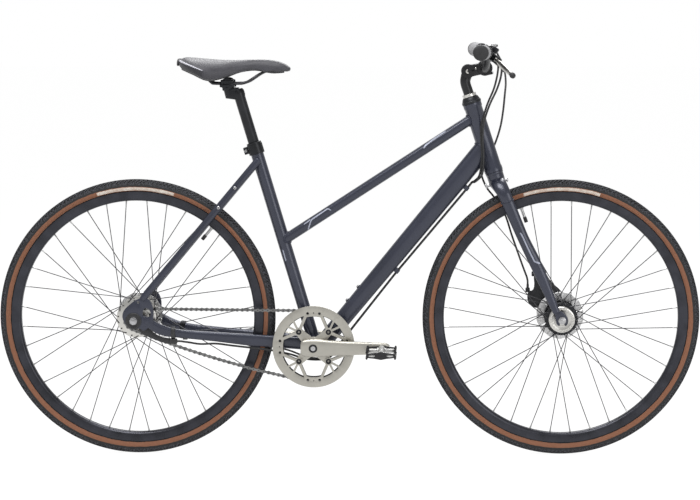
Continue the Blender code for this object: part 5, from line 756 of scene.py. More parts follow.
def cooling_disc(name, axle, hub_face, radius, lobes):
    """Pressed disc with a lobed edge and a ring of oval pressings."""
    foot, back = hub_face + 0.0003, hub_face + 0.0025
    front = back + 0.0025
    profile = ((0.0083, front), (0.02, front), (0.023, front - 0.0008), (radius * 0.62, front - 0.0008),
               (radius * 0.84, front - 0.0008), (radius - 0.001, front - 0.0006),
               (radius, front - 0.0016), (radius - 0.001, back), (0.024, back), (0.024, foot),
               (0.0083, foot))
    steps = lobes * 6
    mesh = spin(bmesh.new(), axle, SIDE, profile, steps)
    ovals = []
    for face in mesh.faces:
        middle = face.calc_center_median() - axle
        out = math.hypot(middle.x, middle.z)
        if radius * 0.64 < out < radius * 0.82 and step_round(middle, steps) % 6 in (1, 2, 3):
            ovals.append(face)
    for vert in mesh.verts:
        off = vert.co - axle
        out = math.hypot(off.x, off.z)
        if out > radius * 0.9:
            dent = 1 - 0.028 * (0.5 + 0.5 * math.cos(lobes * math.atan2(off.z, off.x)))
            vert.co.x, vert.co.z = axle.x + off.x * dent, axle.z + off.z * dent
    bmesh.ops.recalc_face_normals(mesh, faces=mesh.faces)
    bmesh.ops.inset_region(mesh, faces=ovals, thickness=0.0012, depth=0.0, use_even_offset=True)
    for face in ovals:
        for vert in face.verts:
            vert.co.y += 0.0009 if face.normal.y > 0.5 else -0.0009
    piece(f"{name}_brake_disc_skin", mesh, disc_alloy, f"{name}_wheel", "silver", f"{name}_brake_disc")


mesh = bmesh.new()
profile = mm((5.3, 34), (22, 34), (24, 32.5), (24, 24.5), (34, 23.8), (47, 23.1), (49, 22.2), (49, 17.8),
             (47, 16.9), (35, 16.5), (31.8, 14), (30.5, 8), (30.5, -14), (31.8, -20), (35, -22.5),
             (47, -22.9), (49, -23.8), (49, -28.2), (47, -29.1), (33, -29.8), (29, -33), (26, -38),
             (5.3, -38))
spin(mesh, REAR, SIDE, profile, 72)
piece("rear_hub_skin", mesh, silver, "rear_wheel", "silver", "rear_hub")
cooling_disc("rear", REAR, REAR_HUB_LEFT, 0.057, 12)

# Front hub: a black shell that holds the dynamo and the brake, with a silver pressed cover on its
# right end that has a ring of slots, and its own cooling disc on the left.

FRONT_HUB_LEFT, FRONT_HUB_RIGHT = 0.025, -0.0445
mesh = bmesh.new()
profile = mm((5.3, 25), (15.5, 25), (17, 23.5), (17, 21.5), (30, 21.3), (39.5, 21.1), (41, 20), (41, 16),
             (39.5, 14.9), (20, 14.8), (17.5, 12), (17.5, -18), (22, -22.2), (39.5, -22.9), (41, -24),
             (41, -28), (39.5, -29.1), (5.3, -29.1))
spin(mesh, FRONT, SIDE, profile, 72)
piece("front_hub_skin", mesh, black_metal, "front_wheel", "black_metal", "front_hub")
mesh = bmesh.new()
profile = mm((5.3, -29.2), (32.5, -29.2), (32.5, -41.5), (31.2, -43.8), (29.5, -44.5), (24.5, -44.5),
             (23.5, -44), (15, -44), (14, -43.2), (5.3, -43.2))
spin(mesh, FRONT, SIDE, profile, 72)
slots = []
for face in mesh.faces:
    middle = face.calc_center_median() - FRONT
    out = math.hypot(middle.x, middle.z)
    place = step_round(middle, 72)
    if 0.0245 < out < 0.0296 and middle.y < -0.044 and place % 3 != 0:
        slots.append(face)
bmesh.ops.recalc_face_normals(mesh, faces=mesh.faces)
bmesh.ops.inset_region(mesh, faces=slots, thickness=0.0006, depth=-0.0016)
piece("front_hub_cover", mesh, silver, "front_wheel", "silver")
cooling_disc("front", FRONT, FRONT_HUB_LEFT, 0.06, 14)

# Axles: solid steel, threaded, held in the frame and fork slots by six-sided nuts with washers. The
# rear one also carries the black cap of the gear changer outside the right dropout.

for name, axle, hub_left, hub_right, half, body in (
    ("rear", REAR, REAR_HUB_LEFT, REAR_HUB_RIGHT, 0.066, "frame"),
    ("front", FRONT, FRONT_HUB_LEFT, FRONT_HUB_RIGHT, 0.05, "steering"),
):
    mesh = bmesh.new()
    outer = half + 0.0063
    cap = 0.0022 if name == "rear" else 0.0
    rod(mesh, axle - SIDE * (outer + cap + 0.0097), axle + SIDE * (outer + 0.0097), 0.0049, 24,
        round_off=0.0007)
    for side, hub_end in ((-1, -hub_right), (1, hub_left)):
        rod(mesh, axle + SIDE * (side * (hub_end + 0.0003)), axle + SIDE * (side * (half - 0.0003)),
            0.008, 32)
        face = axle + SIDE * (side * (outer + cap * (side < 0)))
        rod(mesh, face, face + SIDE * (side * 0.0014), 0.0094, 40, round_off=0.0003)
        rod(mesh, face + SIDE * (side * 0.0012), face + SIDE * (side * 0.0077), 0.009, 6, round_off=0.0006)
    piece(f"{name}_axle_skin", mesh, screw_steel, body, "steel", f"{name}_axle")
changer = Finish("changer_plastic", (0.026, 0.026, 0.028), 0.42)
changer.worn(0.08, 40.0, 0.2).grain(900.0, 0.0001, 0.3)
mesh = bmesh.new()
spin(mesh, REAR - SIDE * 0.0723, -SIDE,
     mm((5.5, 0), (20, 0), (20, 1.4), (19.2, 2.1), (16.5, 2.2), (15.5, 1.6), (11.2, 1.6), (10.5, 2.2),
        (5.5, 2.2)), 48)
piece("changer_cap", mesh, changer, "frame", "black_plastic")

# Roller brakes: a finned steel cover on the left of each hub, with a pressed reaction arm strapped to
# the chain stay or the fork blade, a stop for the cable, and a lever on the cam.

REAR_ARM = mm((10, -30), (30, -14), (58, -40), (112, -52), (118, -58), (112, -68), (58, -54), (20, -42))
FRONT_ARM = mm((-67.5, 111), (-37, 111), (-24.5, 85.5), (11, 55), (26, 12), (0, -20), (-34, 12),
               (-80, 22), (-83, 60), (-62.5, 62))
REAR_STOP = REAR + Vector((0.111, 0.0605, -0.063))
FRONT_STOP = FRONT + Vector((-0.0805, 0.046, 0.062))
REAR_CAM = (REAR + Vector((0, 0.064, -0.034)), REAR + Vector((0.004, 0.064, -0.06)), 0.012)
FRONT_CAM = (FRONT + Vector((-0.05, 0.0433, 0.034)), FRONT + Vector((-0.074, 0.0433, 0.044)), 0.0045)
brake_black = Finish("brake_cover_black", (0.022, 0.023, 0.025), 0.45, 0.45)
brake_black.worn(0.08, 35.0, 0.25).grain(600.0, 0.00015, 0.4)


def capsule(start, start_radius, end, end_radius):
    """Outline (x, z) round two circles."""
    lean = math.atan2(end.z - start.z, end.x - start.x)
    ends = ((start, start_radius, lean + math.pi / 2), (end, end_radius, lean - math.pi / 2))
    return flat(on_circle(centre, radius, first + math.pi * step / 12) for centre, radius, first in ends
                for step in range(13))


def finned_cover(mesh, axle, back, face, radius):
    """Turned cover whose round wall has cooling fins."""
    profile = [(0.0086, face), (radius * 0.45, face), (radius * 0.5, face - 0.0012),
               (radius * 0.68, face - 0.0012), (radius * 0.93, face - 0.006), (radius, face - 0.0075)]
    y, root = face - 0.0085, radius - 0.0022
    while y - 0.0022 > back:
        profile += [(radius, y), (root, y - 0.0004), (root, y - 0.0014), (radius, y - 0.0018)]
        y -= 0.0032
    profile += [(radius, back), (0.0086, back)]
    spin(mesh, axle, SIDE, profile, 72)


def strap_sections(middle, line, half, wide, deep):
    """Sections of a band round a tube, 0.8 mm thicker than its two edges."""
    return along([(*(middle + line * far), wide + grown, deep + grown)
                  for far, grown in ((-half, 0), (0.0008 - half, 0.0008), (half - 0.0008, 0.0008),
                                     (half, 0))])


mesh = bmesh.new()
finned_cover(mesh, REAR, 0.0396, 0.062, 0.043)
plate(mesh, [rounded(REAR_ARM, REAR)], 0.004, 0.054, 0.0008)
block(mesh, REAR_STOP, (0.01, 0.013, 0.011), 0.0015)
block(mesh, REAR_STOP - SIDE * 0.006, (0.012, 0.006, 0.01), 0.001)
bands = bmesh.new()
strap = REAR + Vector((0.106, 0.0538, -0.0332))
stay_line = (Vector((0.2, 0.04, -0.0444)) - Vector((0.115, 0.052, -0.035))).normalized()
loft(bands, strap_sections(strap, stay_line, 0.006, 0.0094, 0.0132), 40, 2.6)
block(bands, strap + Vector((0.002, 0.0005, -0.0175)), (0.01, 0.011, 0.012), 0.0012)
piece("rear_brake_cover", mesh, brake_black, "frame", "black_metal", "rear_brake_unit")
piece("rear_brake_band", bands, black_metal, "frame", "black_metal")

mesh = bmesh.new()
finned_cover(mesh, FRONT, 0.0306, 0.046, 0.035)
plate(mesh, [rounded(FRONT_ARM, FRONT)], 0.003, 0.04, 0.0006)
block(mesh, FRONT_STOP + SIDE * 0.0005, (0.011, 0.013, 0.011), 0.0015)
piece("front_brake_cover", mesh, brake_black, "steering", "black_metal", "front_brake_unit")
BLADE_PLACES = ((1.0, 0.0088, 0.046), (0.688, 0.018, 0.048), (0.4154, 0.03, 0.05))
BLADE_HALVES = mm((10, 16), (10, 14), (8.5, 14.5), (7, 9))
BLADE_TOP = 0.3226


def blade_rows(side):
    """Centre line and half sizes of a fork blade, from the crown to the tip."""
    places = [steer_point(BLADE_TOP * share, ahead, side * aside) for share, ahead, aside in BLADE_PLACES]
    places.append(FRONT + Vector((-0.014, side * 0.053, 0.02)))
    return [(*place, *half) for place, half in zip(places, BLADE_HALVES)]


mesh = bmesh.new()
rows = smooth(blade_rows(1), 12)
row = min(rows, key=lambda r: abs(r[2] - (FRONT.z + 0.105)))
at = rows.index(row)
line = (Vector(rows[at + 1][:3]) - Vector(rows[at - 1][:3])).normalized()
middle = Vector(row[:3])
loft(mesh, strap_sections(middle, line, 0.007, row[3] + 0.0014, row[4] + 0.0014), 40, 2.4)
block(mesh, middle + Vector((-0.012, -0.008, -0.002)), (0.018, 0.008, 0.012), 0.0015)
piece("front_brake_band", mesh, black_metal, "steering", "black_metal")

cam_steel = Finish("cam_steel", (0.5, 0.5, 0.51), 0.34, 1.0)
cam_steel.worn(0.08, 60.0, 0.2).grain(800.0, 0.0001, 0.3)
for name, (pivot, tip, depth), body in (("rear", REAR_CAM, "rear_cam"), ("front", FRONT_CAM, "front_cam")):
    mesh = bmesh.new()
    plate(mesh, [capsule(pivot, 0.007, tip, 0.0042)], 0.0025, pivot.y, 0.0003)
    rod(mesh, pivot - SIDE * depth, pivot + SIDE * 0.0022, 0.003, 20)
    rod(mesh, pivot + SIDE * 0.001, pivot + SIDE * 0.003, 0.0046, 6, round_off=0.0003)
    rod(mesh, tip - SIDE * 0.0012, tip + SIDE * 0.004, 0.0032, 20, round_off=0.0004)
    piece(f"{name}_brake_cam_skin", mesh, cam_steel, body, "steel", f"{name}_brake_cam")

# Gear changer arm: a ring between hub and dropout with a pressed arm that runs forward under the chain
# stay, strapped to it, and ends in the moulded pulley housing the shift cable goes into.

GEAR_ARM = mm((8, -20), (22, -8), (56, -40), (86, -46), (106, -46), (106, -60), (80, -60), (50, -50),
              (15, -34))
mesh = bmesh.new()
spin(mesh, REAR - SIDE * 0.055, SIDE,
     mm((8.3, -2), (23.5, -2), (24, -1.4), (24, 1.4), (23.5, 2), (8.3, 2)), 56)
plate(mesh, [rounded(GEAR_ARM, REAR)], 0.003, -0.055, 0.0006)
block(mesh, REAR + Vector((0.0965, -0.0565, -0.053)), (0.019, 0.011, 0.013), 0.0024, segments=3)
strap = REAR + Vector((0.0965, -0.056, -0.0315))
loft(mesh, strap_sections(strap - SIDE * 0.0003, Vector((1, 0, 0)), 0.005, 0.0092, 0.014), 40, 2.6)
piece("gear_cable_arm_skin", mesh, changer, "frame", "black_plastic", "gear_cable_arm")

# Chain: 100 links of pressed steel plates with rollers and pins, 12.7 mm apart, taut above and with a
# little slack below, between 44 teeth in front and 13 behind.

PITCH = 0.0127
RING_TEETH, SPROCKET_TEETH = 44, 13
CHAINLINE = -0.045
RING_RADIUS = PITCH / (2 * math.sin(math.pi / RING_TEETH))
SPROCKET_RADIUS = PITCH / (2 * math.sin(math.pi / SPROCKET_TEETH))
CHAIN_SAG = 0.0108
BETWEEN = BB - REAR
RUN_TILT = math.atan2(BETWEEN.z, BETWEEN.x) + math.asin((RING_RADIUS - SPROCKET_RADIUS) / BETWEEN.length)
TOP_RUN = math.sqrt(BETWEEN.length_squared - (RING_RADIUS - SPROCKET_RADIUS) ** 2)
TOP_TANGENT = math.pi / 2 + RUN_TILT
LOW_TANGENT = 2 * math.atan2(BETWEEN.z, BETWEEN.x) - TOP_TANGENT
LEAVE = math.atan2(4 * CHAIN_SAG, TOP_RUN)


def chain_route():
    """The closed line that the rollers follow, from the ring's top forwards."""
    line = [on_circle(BB, RING_RADIUS, TOP_TANGENT + (LOW_TANGENT + LEAVE - TOP_TANGENT) * s / 200)
            for s in range(201)]
    low_start, low_end = line[-1], on_circle(REAR, SPROCKET_RADIUS, LOW_TANGENT - LEAVE)
    reach = low_end - low_start
    down = Vector((-reach.z, 0, reach.x)).normalized()
    line += [low_start + reach * s / 60 + down * (4 * CHAIN_SAG * (s / 60) * (1 - s / 60))
             for s in range(1, 60)]
    last = TOP_TANGENT - 2 * math.pi
    line += [on_circle(REAR, SPROCKET_RADIUS, LOW_TANGENT - LEAVE + (last - LOW_TANGENT + LEAVE) * s / 80)
             for s in range(81)]
    return line + [line[0]]


def spaced(line, count):
    """This many points at even steps along a line of points."""
    lengths = [0.0]
    for a, b in zip(line, line[1:]):
        lengths.append(lengths[-1] + (b - a).length)
    made, i = [], 0
    for number in range(count):
        want = lengths[-1] * number / count
        while lengths[i + 1] < want:
            i += 1
        made.append(line[i].lerp(line[i + 1], (want - lengths[i]) / (lengths[i + 1] - lengths[i])))
    return made


def link_plate(mesh, start, end, y, thickness):
    """Flat plate with two round ends and a waist."""
    line = (end - start).normalized()
    up = Vector((-line.z, 0, line.x))
    outline = []
    for centre, way in ((end, 1), (start, -1)):
        outline += [centre + (line * math.cos(t) + up * math.sin(t)) * (0.0042 * way)
                    for t in (math.radians(a) for a in (-75, -40, 0, 40, 75))]
        outline.append((start + end) / 2 + up * (0.0021 * way))
    verts = [mesh.verts.new(point + SIDE * (y - thickness / 2)) for point in outline]
    thicken(mesh, [mesh.faces.new(verts)], thickness)


chain_steel = Finish("chain_steel", (0.2, 0.2, 0.2), 0.32, 1.0)
chain_steel.worn(0.1, 70.0, 0.3)
pin_steel = Finish("oiled_pins", (0.09, 0.09, 0.09), 0.38, 0.9)
pin_steel.worn(0.1, 70.0, 0.3)
rollers = spaced(chain_route(), 100)
mesh, pins = bmesh.new(), bmesh.new()
for number, (start, end) in enumerate(zip(rollers, rollers[1:] + rollers[:1])):
    outer = number % 2 == 0
    for side in (-1, 1):
        link_plate(mesh, start, end, CHAINLINE + side * (0.0038 if outer else 0.0028), 0.0009)
    rod(mesh, start + SIDE * (CHAINLINE - 0.0023), start + SIDE * (CHAINLINE + 0.0023), 0.0037, 10)
    rod(pins, start + SIDE * (CHAINLINE - 0.0045), start + SIDE * (CHAINLINE + 0.0045), 0.0019, 8)
piece("chain_links", mesh, chain_steel, "frame", "steel", "chain", sharp=40)
piece("chain_pins", pins, pin_steel, "frame", "steel", sharp=40)

# Sprocket: punched and hardened steel with thirteen teeth, on the driver that turns the rear hub
# through its freewheel.

TOOTH = ((0, -0.004), (0.1, -0.0037), (0.2, -0.0022), (0.29, 0.0004), (0.37, 0.0022), (0.44, 0.0032),
         (0.5, 0.0034))
BOLT_TURNS = [math.radians(45 + 90 * number) for number in range(4)]
BOLT_CIRCLE = 0.052
champagne = Finish("bead_blasted_alloy", (0.46, 0.445, 0.4), 0.4, 0.92)
champagne.worn(0.05, 20.0, 0.06).grain(1600.0, 0.00005, 0.3)


def teeth_outline(centre, teeth, radius, phase):
    """Outline with a round seat for each roller and a tooth between them."""
    angle = 2 * math.pi / teeth
    heights = TOOTH + tuple((1 - share, height) for share, height in TOOTH[-2:0:-1])
    return flat(on_circle(centre, radius + height, phase + (tooth + share) * angle)
                for tooth in range(teeth) for share, height in heights)


mesh = bmesh.new()
phase = TOP_TANGENT - (TOP_RUN % PITCH) / SPROCKET_RADIUS
plate(mesh, [teeth_outline(REAR, SPROCKET_TEETH, SPROCKET_RADIUS, phase), disc(REAR, 0.0095, 32)], 0.0024,
      CHAINLINE, 0.0003)
spin(mesh, REAR, SIDE,
     mm((9.3, -38.6), (17, -38.6), (17, -43.5), (15.5, -44.2), (15.5, -48), (14.8, -48.8), (9.3, -48.8)),
     48)
piece("rear_sprocket_skin", mesh, screw_steel, "driver", "steel", "rear_sprocket")

# Chain guard: one punched and bead-blasted aluminium disc on the four ring bolts. Four spokes fan out
# from each bolt to the rim, which is drilled for lightness.

GUARD_RADIUS, WINDOW_RADIUS, OPENING_RADIUS, GUARD_BOSS = 0.102, 0.0805, 0.076, 0.01
GUARD_THICKNESS, RING_THICKNESS, SPIDER_THICKNESS, GAP = 0.0025, 0.0024, 0.0037, 0.0003
SPIDER_MIDDLE = CHAINLINE - RING_THICKNESS / 2 - GAP - SPIDER_THICKNESS / 2
GUARD_MIDDLE = SPIDER_MIDDLE - SPIDER_THICKNESS / 2 - GAP - GUARD_THICKNESS / 2
# (how far a spoke turns from the bolt's own direction, its width)
FAN = [(math.radians(degrees), width)
       for degrees, width in ((-68, 0.0074), (-19, 0.0052), (19, 0.0052), (68, 0.0074))]


def arc(centre, start, end, steps):
    """Points round a centre from one point to another, the short way, without its ends."""
    first = math.atan2((start - centre).z, (start - centre).x)
    sweep = (math.atan2((end - centre).z, (end - centre).x) - first + math.pi) % (2 * math.pi) - math.pi
    return [on_circle(centre, (start - centre).length, first + sweep * s / steps) for s in range(1, steps)]


def guard_spoke(turn, spread, width, radii=(0, 0)):
    """The two sides of a spoke, each from its bolt's boss out to a rim radius."""
    boss = on_circle(BB, BOLT_CIRCLE, turn)
    line = on_circle(Vector(), 1, turn + spread)
    across = Vector((-line.z, 0, line.x))
    sides = []
    for side, radius in zip((-1, 1), radii):
        start = boss + across * (width / 2 * side)
        offset = start - BB
        ahead = offset.dot(line)
        far = math.sqrt(ahead**2 - offset.length_squared + radius**2) - ahead
        sides.append((start + line * math.sqrt(GUARD_BOSS**2 - (width / 2) ** 2), start + line * far))
    return sides


def spoked_ring(mesh, outline, window_radius, opening_radius, fan, thickness, y, extra=()):
    """Disc with four bolt bosses, spokes that fan out from them, and openings between."""
    loops = [outline]
    radii = [(opening_radius, window_radius)] + [(window_radius, window_radius)] * (len(fan) - 2)
    radii.append((window_radius, opening_radius))
    opening = []
    for number, turn in enumerate(BOLT_TURNS):
        boss = on_circle(BB, BOLT_CIRCLE, turn)
        spokes = [guard_spoke(turn, *spoke, pair) for spoke, pair in zip(fan, radii)]
        for lower, upper in zip(spokes, spokes[1:]):
            (foot, tip), (next_foot, next_tip) = lower[1], upper[0]
            loops.append(flat([foot, tip, *arc(BB, tip, next_tip, 10), next_tip, next_foot,
                               *arc(boss, next_foot, foot, 6)]))
        first, last = spokes[0][0], spokes[-1][1]
        start = math.atan2((first[0] - boss).z, (first[0] - boss).x)
        sweep = -((start - math.atan2((last[0] - boss).z, (last[0] - boss).x)) % (2 * math.pi))
        round_boss = [on_circle(boss, GUARD_BOSS, start + sweep * step / 16) for step in range(1, 16)]
        opening += [first[1], first[0], *round_boss, last[0], last[1]]
        after = guard_spoke(BOLT_TURNS[(number + 1) % 4], *fan[0], radii[0])[0][1]
        opening += arc(BB, last[1], after, 16)
    loops.append(flat(opening))
    loops += [disc(on_circle(BB, BOLT_CIRCLE, turn), 0.005) for turn in BOLT_TURNS]
    plate(mesh, loops + list(extra), thickness, y, 0.0005)


holes = []
for turn in (0, 90, 180, 270):
    for aside, radius in ((-9.9, 0.0033), (9.9, 0.0033), (0, 0.0014)):
        holes.append(disc(on_circle(BB, 0.0848, math.radians(turn + aside)), radius, 20))
mesh = bmesh.new()
spoked_ring(mesh, disc(BB, GUARD_RADIUS, 128), WINDOW_RADIUS, OPENING_RADIUS, FAN, GUARD_THICKNESS,
            GUARD_MIDDLE, holes)
piece("chain_guard_skin", mesh, champagne, "cranks", "champagne", "chain_guard")

# Chainring: machined aluminium, anodised black, with 44 teeth. Its legs lie behind the guard's outer
# spokes and go to the same four bolts.

mesh = bmesh.new()
spoked_ring(mesh, teeth_outline(BB, RING_TEETH, RING_RADIUS, TOP_TANGENT), 0.0785, 0.0745,
            (FAN[0], FAN[-1]), RING_THICKNESS, CHAINLINE)
piece("chainring_skin", mesh, black_metal, "cranks", "black_metal", "chainring")

# Cranks: forged aluminium arms pressed on the square spindle, the right one with a four-armed spider.
# Black sleeve nuts hold ring and guard, and a dark cap covers each spindle bolt.

CRANK_LENGTH = 0.17
ARM_ROUTE = (
    (-0.1824, 0.014, 0.069, 0.007), (-0.17, 0.0168, 0.069, 0.0082), (-0.1294, 0.0205, 0.069, 0.0088),
    (0.0, 0.0222, 0.0695, 0.0085), (0.22, 0.0198, 0.0704, 0.0082), (0.5059, 0.0172, 0.0715, 0.0078),
    (1.0, 0.0145, 0.074, 0.0068), (1.06, 0.0132, 0.074, 0.0067), (1.095, 0.0108, 0.074, 0.0063),
    (1.1118, 0.008, 0.074, 0.0058),
)
TAB_RADIUS, SPIDER_ROOT, SPIDER_HALF = 0.0095, 0.0205, 0.0135
for name, side in SIDES:
    mesh = bmesh.new()
    arm = [(BB + Vector((-side * reach * CRANK_LENGTH, side * middle, 0)), SIDE * thick,
            Vector((0, 0, half))) for reach, half, middle, thick in smooth(ARM_ROUTE, 4)]
    loft(mesh, arm, 36, 3.2)
    if name == "right":
        outline = []
        for turn in BOLT_TURNS:
            line, across = on_circle(Vector(), 1, turn), on_circle(Vector(), 1, turn + math.pi / 2)
            outline.append(BB + line * SPIDER_ROOT - across * SPIDER_HALF)
            outline += [on_circle(BB + line * BOLT_CIRCLE, TAB_RADIUS, turn + math.pi * (step / 12 - 0.5))
                        for step in range(13)]
            outline.append(BB + line * SPIDER_ROOT + across * SPIDER_HALF)
        plate(mesh, [flat(outline)], SPIDER_THICKNESS, SPIDER_MIDDLE, 0.0006)
        spin(mesh, BB, SIDE, mm((7.8, -47), (18.5, -47), (19, -48), (19, -69), (7.8, -69)), 56)
    piece(f"crank_arm_{name}_skin", mesh, champagne, "cranks", "champagne", f"crank_arm_{name}")
mesh = bmesh.new()
for turn in BOLT_TURNS:
    face = on_circle(BB, BOLT_CIRCLE, turn, GUARD_MIDDLE - GUARD_THICKNESS / 2)
    spin(mesh, face, -SIDE,
         mm((2.5, -12.5), (6.8, -12.5), (7, -12), (7, -11.2), (4.9, -11.2), (4.9, 0), (6.6, 0),
            (6.9, 0.5), (6.2, 1.2), (3.6, 1.2), (2.5, 0.6)), 28)
piece("ring_bolts", mesh, black_metal, "cranks", "black_metal")
mesh = bmesh.new()
for side in (-1, 1):
    face = BB + SIDE * (side * 0.0783)
    spin(mesh, face, SIDE * side,
         mm((6.6, -4), (9.8, -1), (10.6, 0), (10.4, 1.4), (9.6, 2.1), (7, 2.1), (6.6, 1.2)), 40)
piece("spindle_caps", mesh, black_metal, "cranks", "black_metal")
mesh = bmesh.new()
rod(mesh, BB - SIDE * 0.0775, BB + SIDE * 0.0775, 0.0074, 32)
for side in (-1, 1):
    spin(mesh, BB + SIDE * (side * 0.0775), SIDE * side,
         mm((0, 0), (0, 0.5), (1.8, 0.5), (2.1, 1.6), (5.8, 1.6), (6.4, 1), (6.4, 0)), 32)
piece("crank_spindle_skin", mesh, screw_steel, "cranks", "steel", "crank_spindle")
mesh = bmesh.new()
for side in (-1, 1):
    profile = [(0.0082, 0.0373), (0.016, 0.0373), (0.0165, 0.0368), (0.0205, 0.0366), (0.0205, 0.0343),
               (0.0169, 0.0343), (0.0169, 0.0), (0.0082, 0.0)]
    spin(mesh, BB, SIDE * side, profile, 56)
piece("bb_cartridge_skin", mesh, black_metal, "frame", "black_metal", "bb_cartridge")

# Pedals: a cast aluminium body round the axle's barrel between black steel cage plates with toothed
# edges, riveted on in front and behind, and black end plates.

pedal_alloy = Finish("cast_pedal_alloy", (0.5, 0.5, 0.49), 0.36, 0.95)
pedal_alloy.worn(0.08, 40.0, 0.15).grain(700.0, 0.00015, 0.4)
cage_black = Finish("cage_black", (0.022, 0.022, 0.024), 0.46, 0.4)
cage_black.worn(0.08, 40.0, 0.25).grain(900.0, 0.0001, 0.3)
PEDAL_X, PEDAL_Y, PEDAL_Z = 0.072, 0.094, 0.02
COLLAR = 0.074 + 0.0068 + GAP
for name, side in SIDES:
    pedal = BB - Vector((side * CRANK_LENGTH, 0, 0))
    inside = COLLAR - 0.0129
    mesh = bmesh.new()
    spin(mesh, pedal, SIDE * side,
         ((0.0, inside), (0.0068, inside), (0.007, inside + 0.0005), (0.007, COLLAR), (0.0088, COLLAR),
          (0.009, COLLAR + 0.0004), (0.009, COLLAR + 0.0021), (0.0086, COLLAR + 0.0025),
          (0.0049, COLLAR + 0.0025), (0.0049, COLLAR + 0.09), (0.0, COLLAR + 0.09)), 32, ring=False)
    piece(f"pedal_axle_{name}_skin", mesh, screw_steel, "cranks", "steel", f"pedal_axle_{name}")
    inner = COLLAR + 0.0025 + 0.0006
    middle = pedal + SIDE * (side * (inner + PEDAL_Y / 2))
    mesh, cage = bmesh.new(), bmesh.new()
    spin(mesh, pedal, SIDE * side,
         ((0.0056, inner + 0.003), (0.0098, inner + 0.003), (0.0094, inner + 0.03),
          (0.0084, inner + 0.036), (0.0084, inner + 0.08), (0.0094, inner + 0.086),
          (0.0094, inner + 0.0905), (0.0056, inner + 0.0905)), 36)
    for y in (-0.3, 0.3):
        block(mesh, middle + SIDE * (y * PEDAL_Y), (PEDAL_X - 0.008, 0.016, 0.0085), 0.0025, segments=3)
        block(mesh, middle + SIDE * (y * PEDAL_Y), (0.026, 0.01, 0.0135), 0.003, segments=3)
    for x in (-1, 1):
        front = middle + Vector((x * (PEDAL_X / 2 - 0.0016), 0, 0))
        block(cage, front, (0.0024, PEDAL_Y - 0.004, 0.0125), 0.0005)
        for number in range(9):
            y = (number / 8 - 0.5) * (PEDAL_Y - 0.012)
            for z in (-1, 1):
                rod(cage, front + Vector((0, y, z * 0.0058)), front + Vector((0, y, z * PEDAL_Z / 2)),
                    0.0032, 4, 0.0016)
        for y in (-0.3, 0.3):
            rivet = front + SIDE * (y * PEDAL_Y)
            rod(mesh, rivet, rivet + Vector((x * 0.0022, 0, 0)), 0.0026, 16, round_off=0.0006)
    for y in (inner + 0.0016, inner + PEDAL_Y - 0.0014):
        end_plate = []
        for step in range(72):
            turn = 2 * math.pi * step / 72
            x = (PEDAL_X / 2 - 0.001) * math.copysign(abs(math.cos(turn)) ** 0.5, math.cos(turn))
            z = math.copysign(abs(math.sin(turn)) ** 0.6, math.sin(turn))
            z *= 0.0066 + 0.0032 * math.exp(-((x / 0.011) ** 2))
            end_plate.append((pedal.x + x, pedal.z + z))
        windows = [rounded(((x0, -0.0026), (x1, -0.0026), (x1, 0.0026), (x0, 0.0026)), pedal)
                   for x0, x1 in ((-0.03, -0.014), (0.014, 0.03))]
        plate(cage, [end_plate, *windows], 0.0026, side * y, 0.0005)
    rod(cage, pedal + SIDE * (side * (inner + 0.085)), pedal + SIDE * (side * (inner + PEDAL_Y)), 0.0076,
        32, round_off=0.001)
    piece(f"pedal_{name}_skin", mesh, pedal_alloy, f"{name}_pedal", "silver", f"pedal_{name}")
    piece(f"pedal_{name}_cage", cage, cage_black, f"{name}_pedal", "black_metal")

# Fork: aluminium blades under a crown that arches over the tyre, welded, painted and ringed at the
# head. A lamp and mudguard screw goes through the crown, and each blade ends in a slotted plate.

CROWN_HEIGHT = 0.3715
CROWN_ROUTE = mm((0, 8.8, 46, 16, 10), (20, 6.8, 44, 17, 11.5), (38, 3, 33, 19, 13),
                 (48, 0, 16, 20.5, 13), (48.5, 0, 0, 21, 13))
FORK_TIP = mm((-22, 26), (-6, 26), (5, 18), (13.5, 8), (15.5, -3), (11, -13), (5.6, -13.3), (5.6, -6),
              (5.6, 3), (0, 6.5), (-5.6, 3), (-5.6, -6), (-5.6, -13.3), (-11, -13), (-15.5, -4), (-16, 8))
half = [(BLADE_TOP + up, ahead, aside, fore, thick) for up, ahead, aside, fore, thick in CROWN_ROUTE]
mirrored = [(up, ahead, -aside, fore, thick) for up, ahead, aside, fore, thick in half[-2::-1]]
route = smooth(half + mirrored, 6)
places = [steer_point(*row[:3]) for row in route]
sections = []
for i, (_, _, _, fore, thick) in enumerate(route):
    line = (places[min(i + 1, len(places) - 1)] - places[max(i - 1, 0)]).normalized()
    line = STEER_UP if i == 0 else -STEER_UP if i == len(route) - 1 else line
    sections.append((places[i], STEER_AHEAD * fore, line.cross(STEER_AHEAD).normalized() * thick))
mesh = bmesh.new()
loft(mesh, sections, 36, 2.3)
spin(mesh, steer_point(0), STEER_UP,
     ((0.01, CROWN_HEIGHT - 0.006), (0.02, CROWN_HEIGHT - 0.002), (0.0208, CROWN_HEIGHT + 0.004),
      (0.0212, 0.3925), (0.0222, 0.394), (0.0224, 0.3985), (0.0218, 0.3997), (0.01, 0.3997)), 64)
piece("fork_crown_skin", mesh, paint, "steering", "frame_paint", "fork_crown")
mesh, recesses = bmesh.new(), bmesh.new()
lamp_height = CROWN_HEIGHT - 0.001
rod(mesh, steer_point(lamp_height, -0.03), steer_point(lamp_height, 0.0265), 0.004, 24)
for ahead, way in ((-0.0265, -1), (0.0235, 1)):
    rod(mesh, steer_point(lamp_height, ahead), steer_point(lamp_height, ahead + way * 0.0012), 0.0066, 28,
        round_off=0.0003)
screw(mesh, recesses, steer_point(lamp_height, 0.0247), STEER_AHEAD, 0.0052, 0.0028)
rod(mesh, steer_point(lamp_height, -0.0277), steer_point(lamp_height, -0.0308), 0.0058, 6, round_off=0.0004)
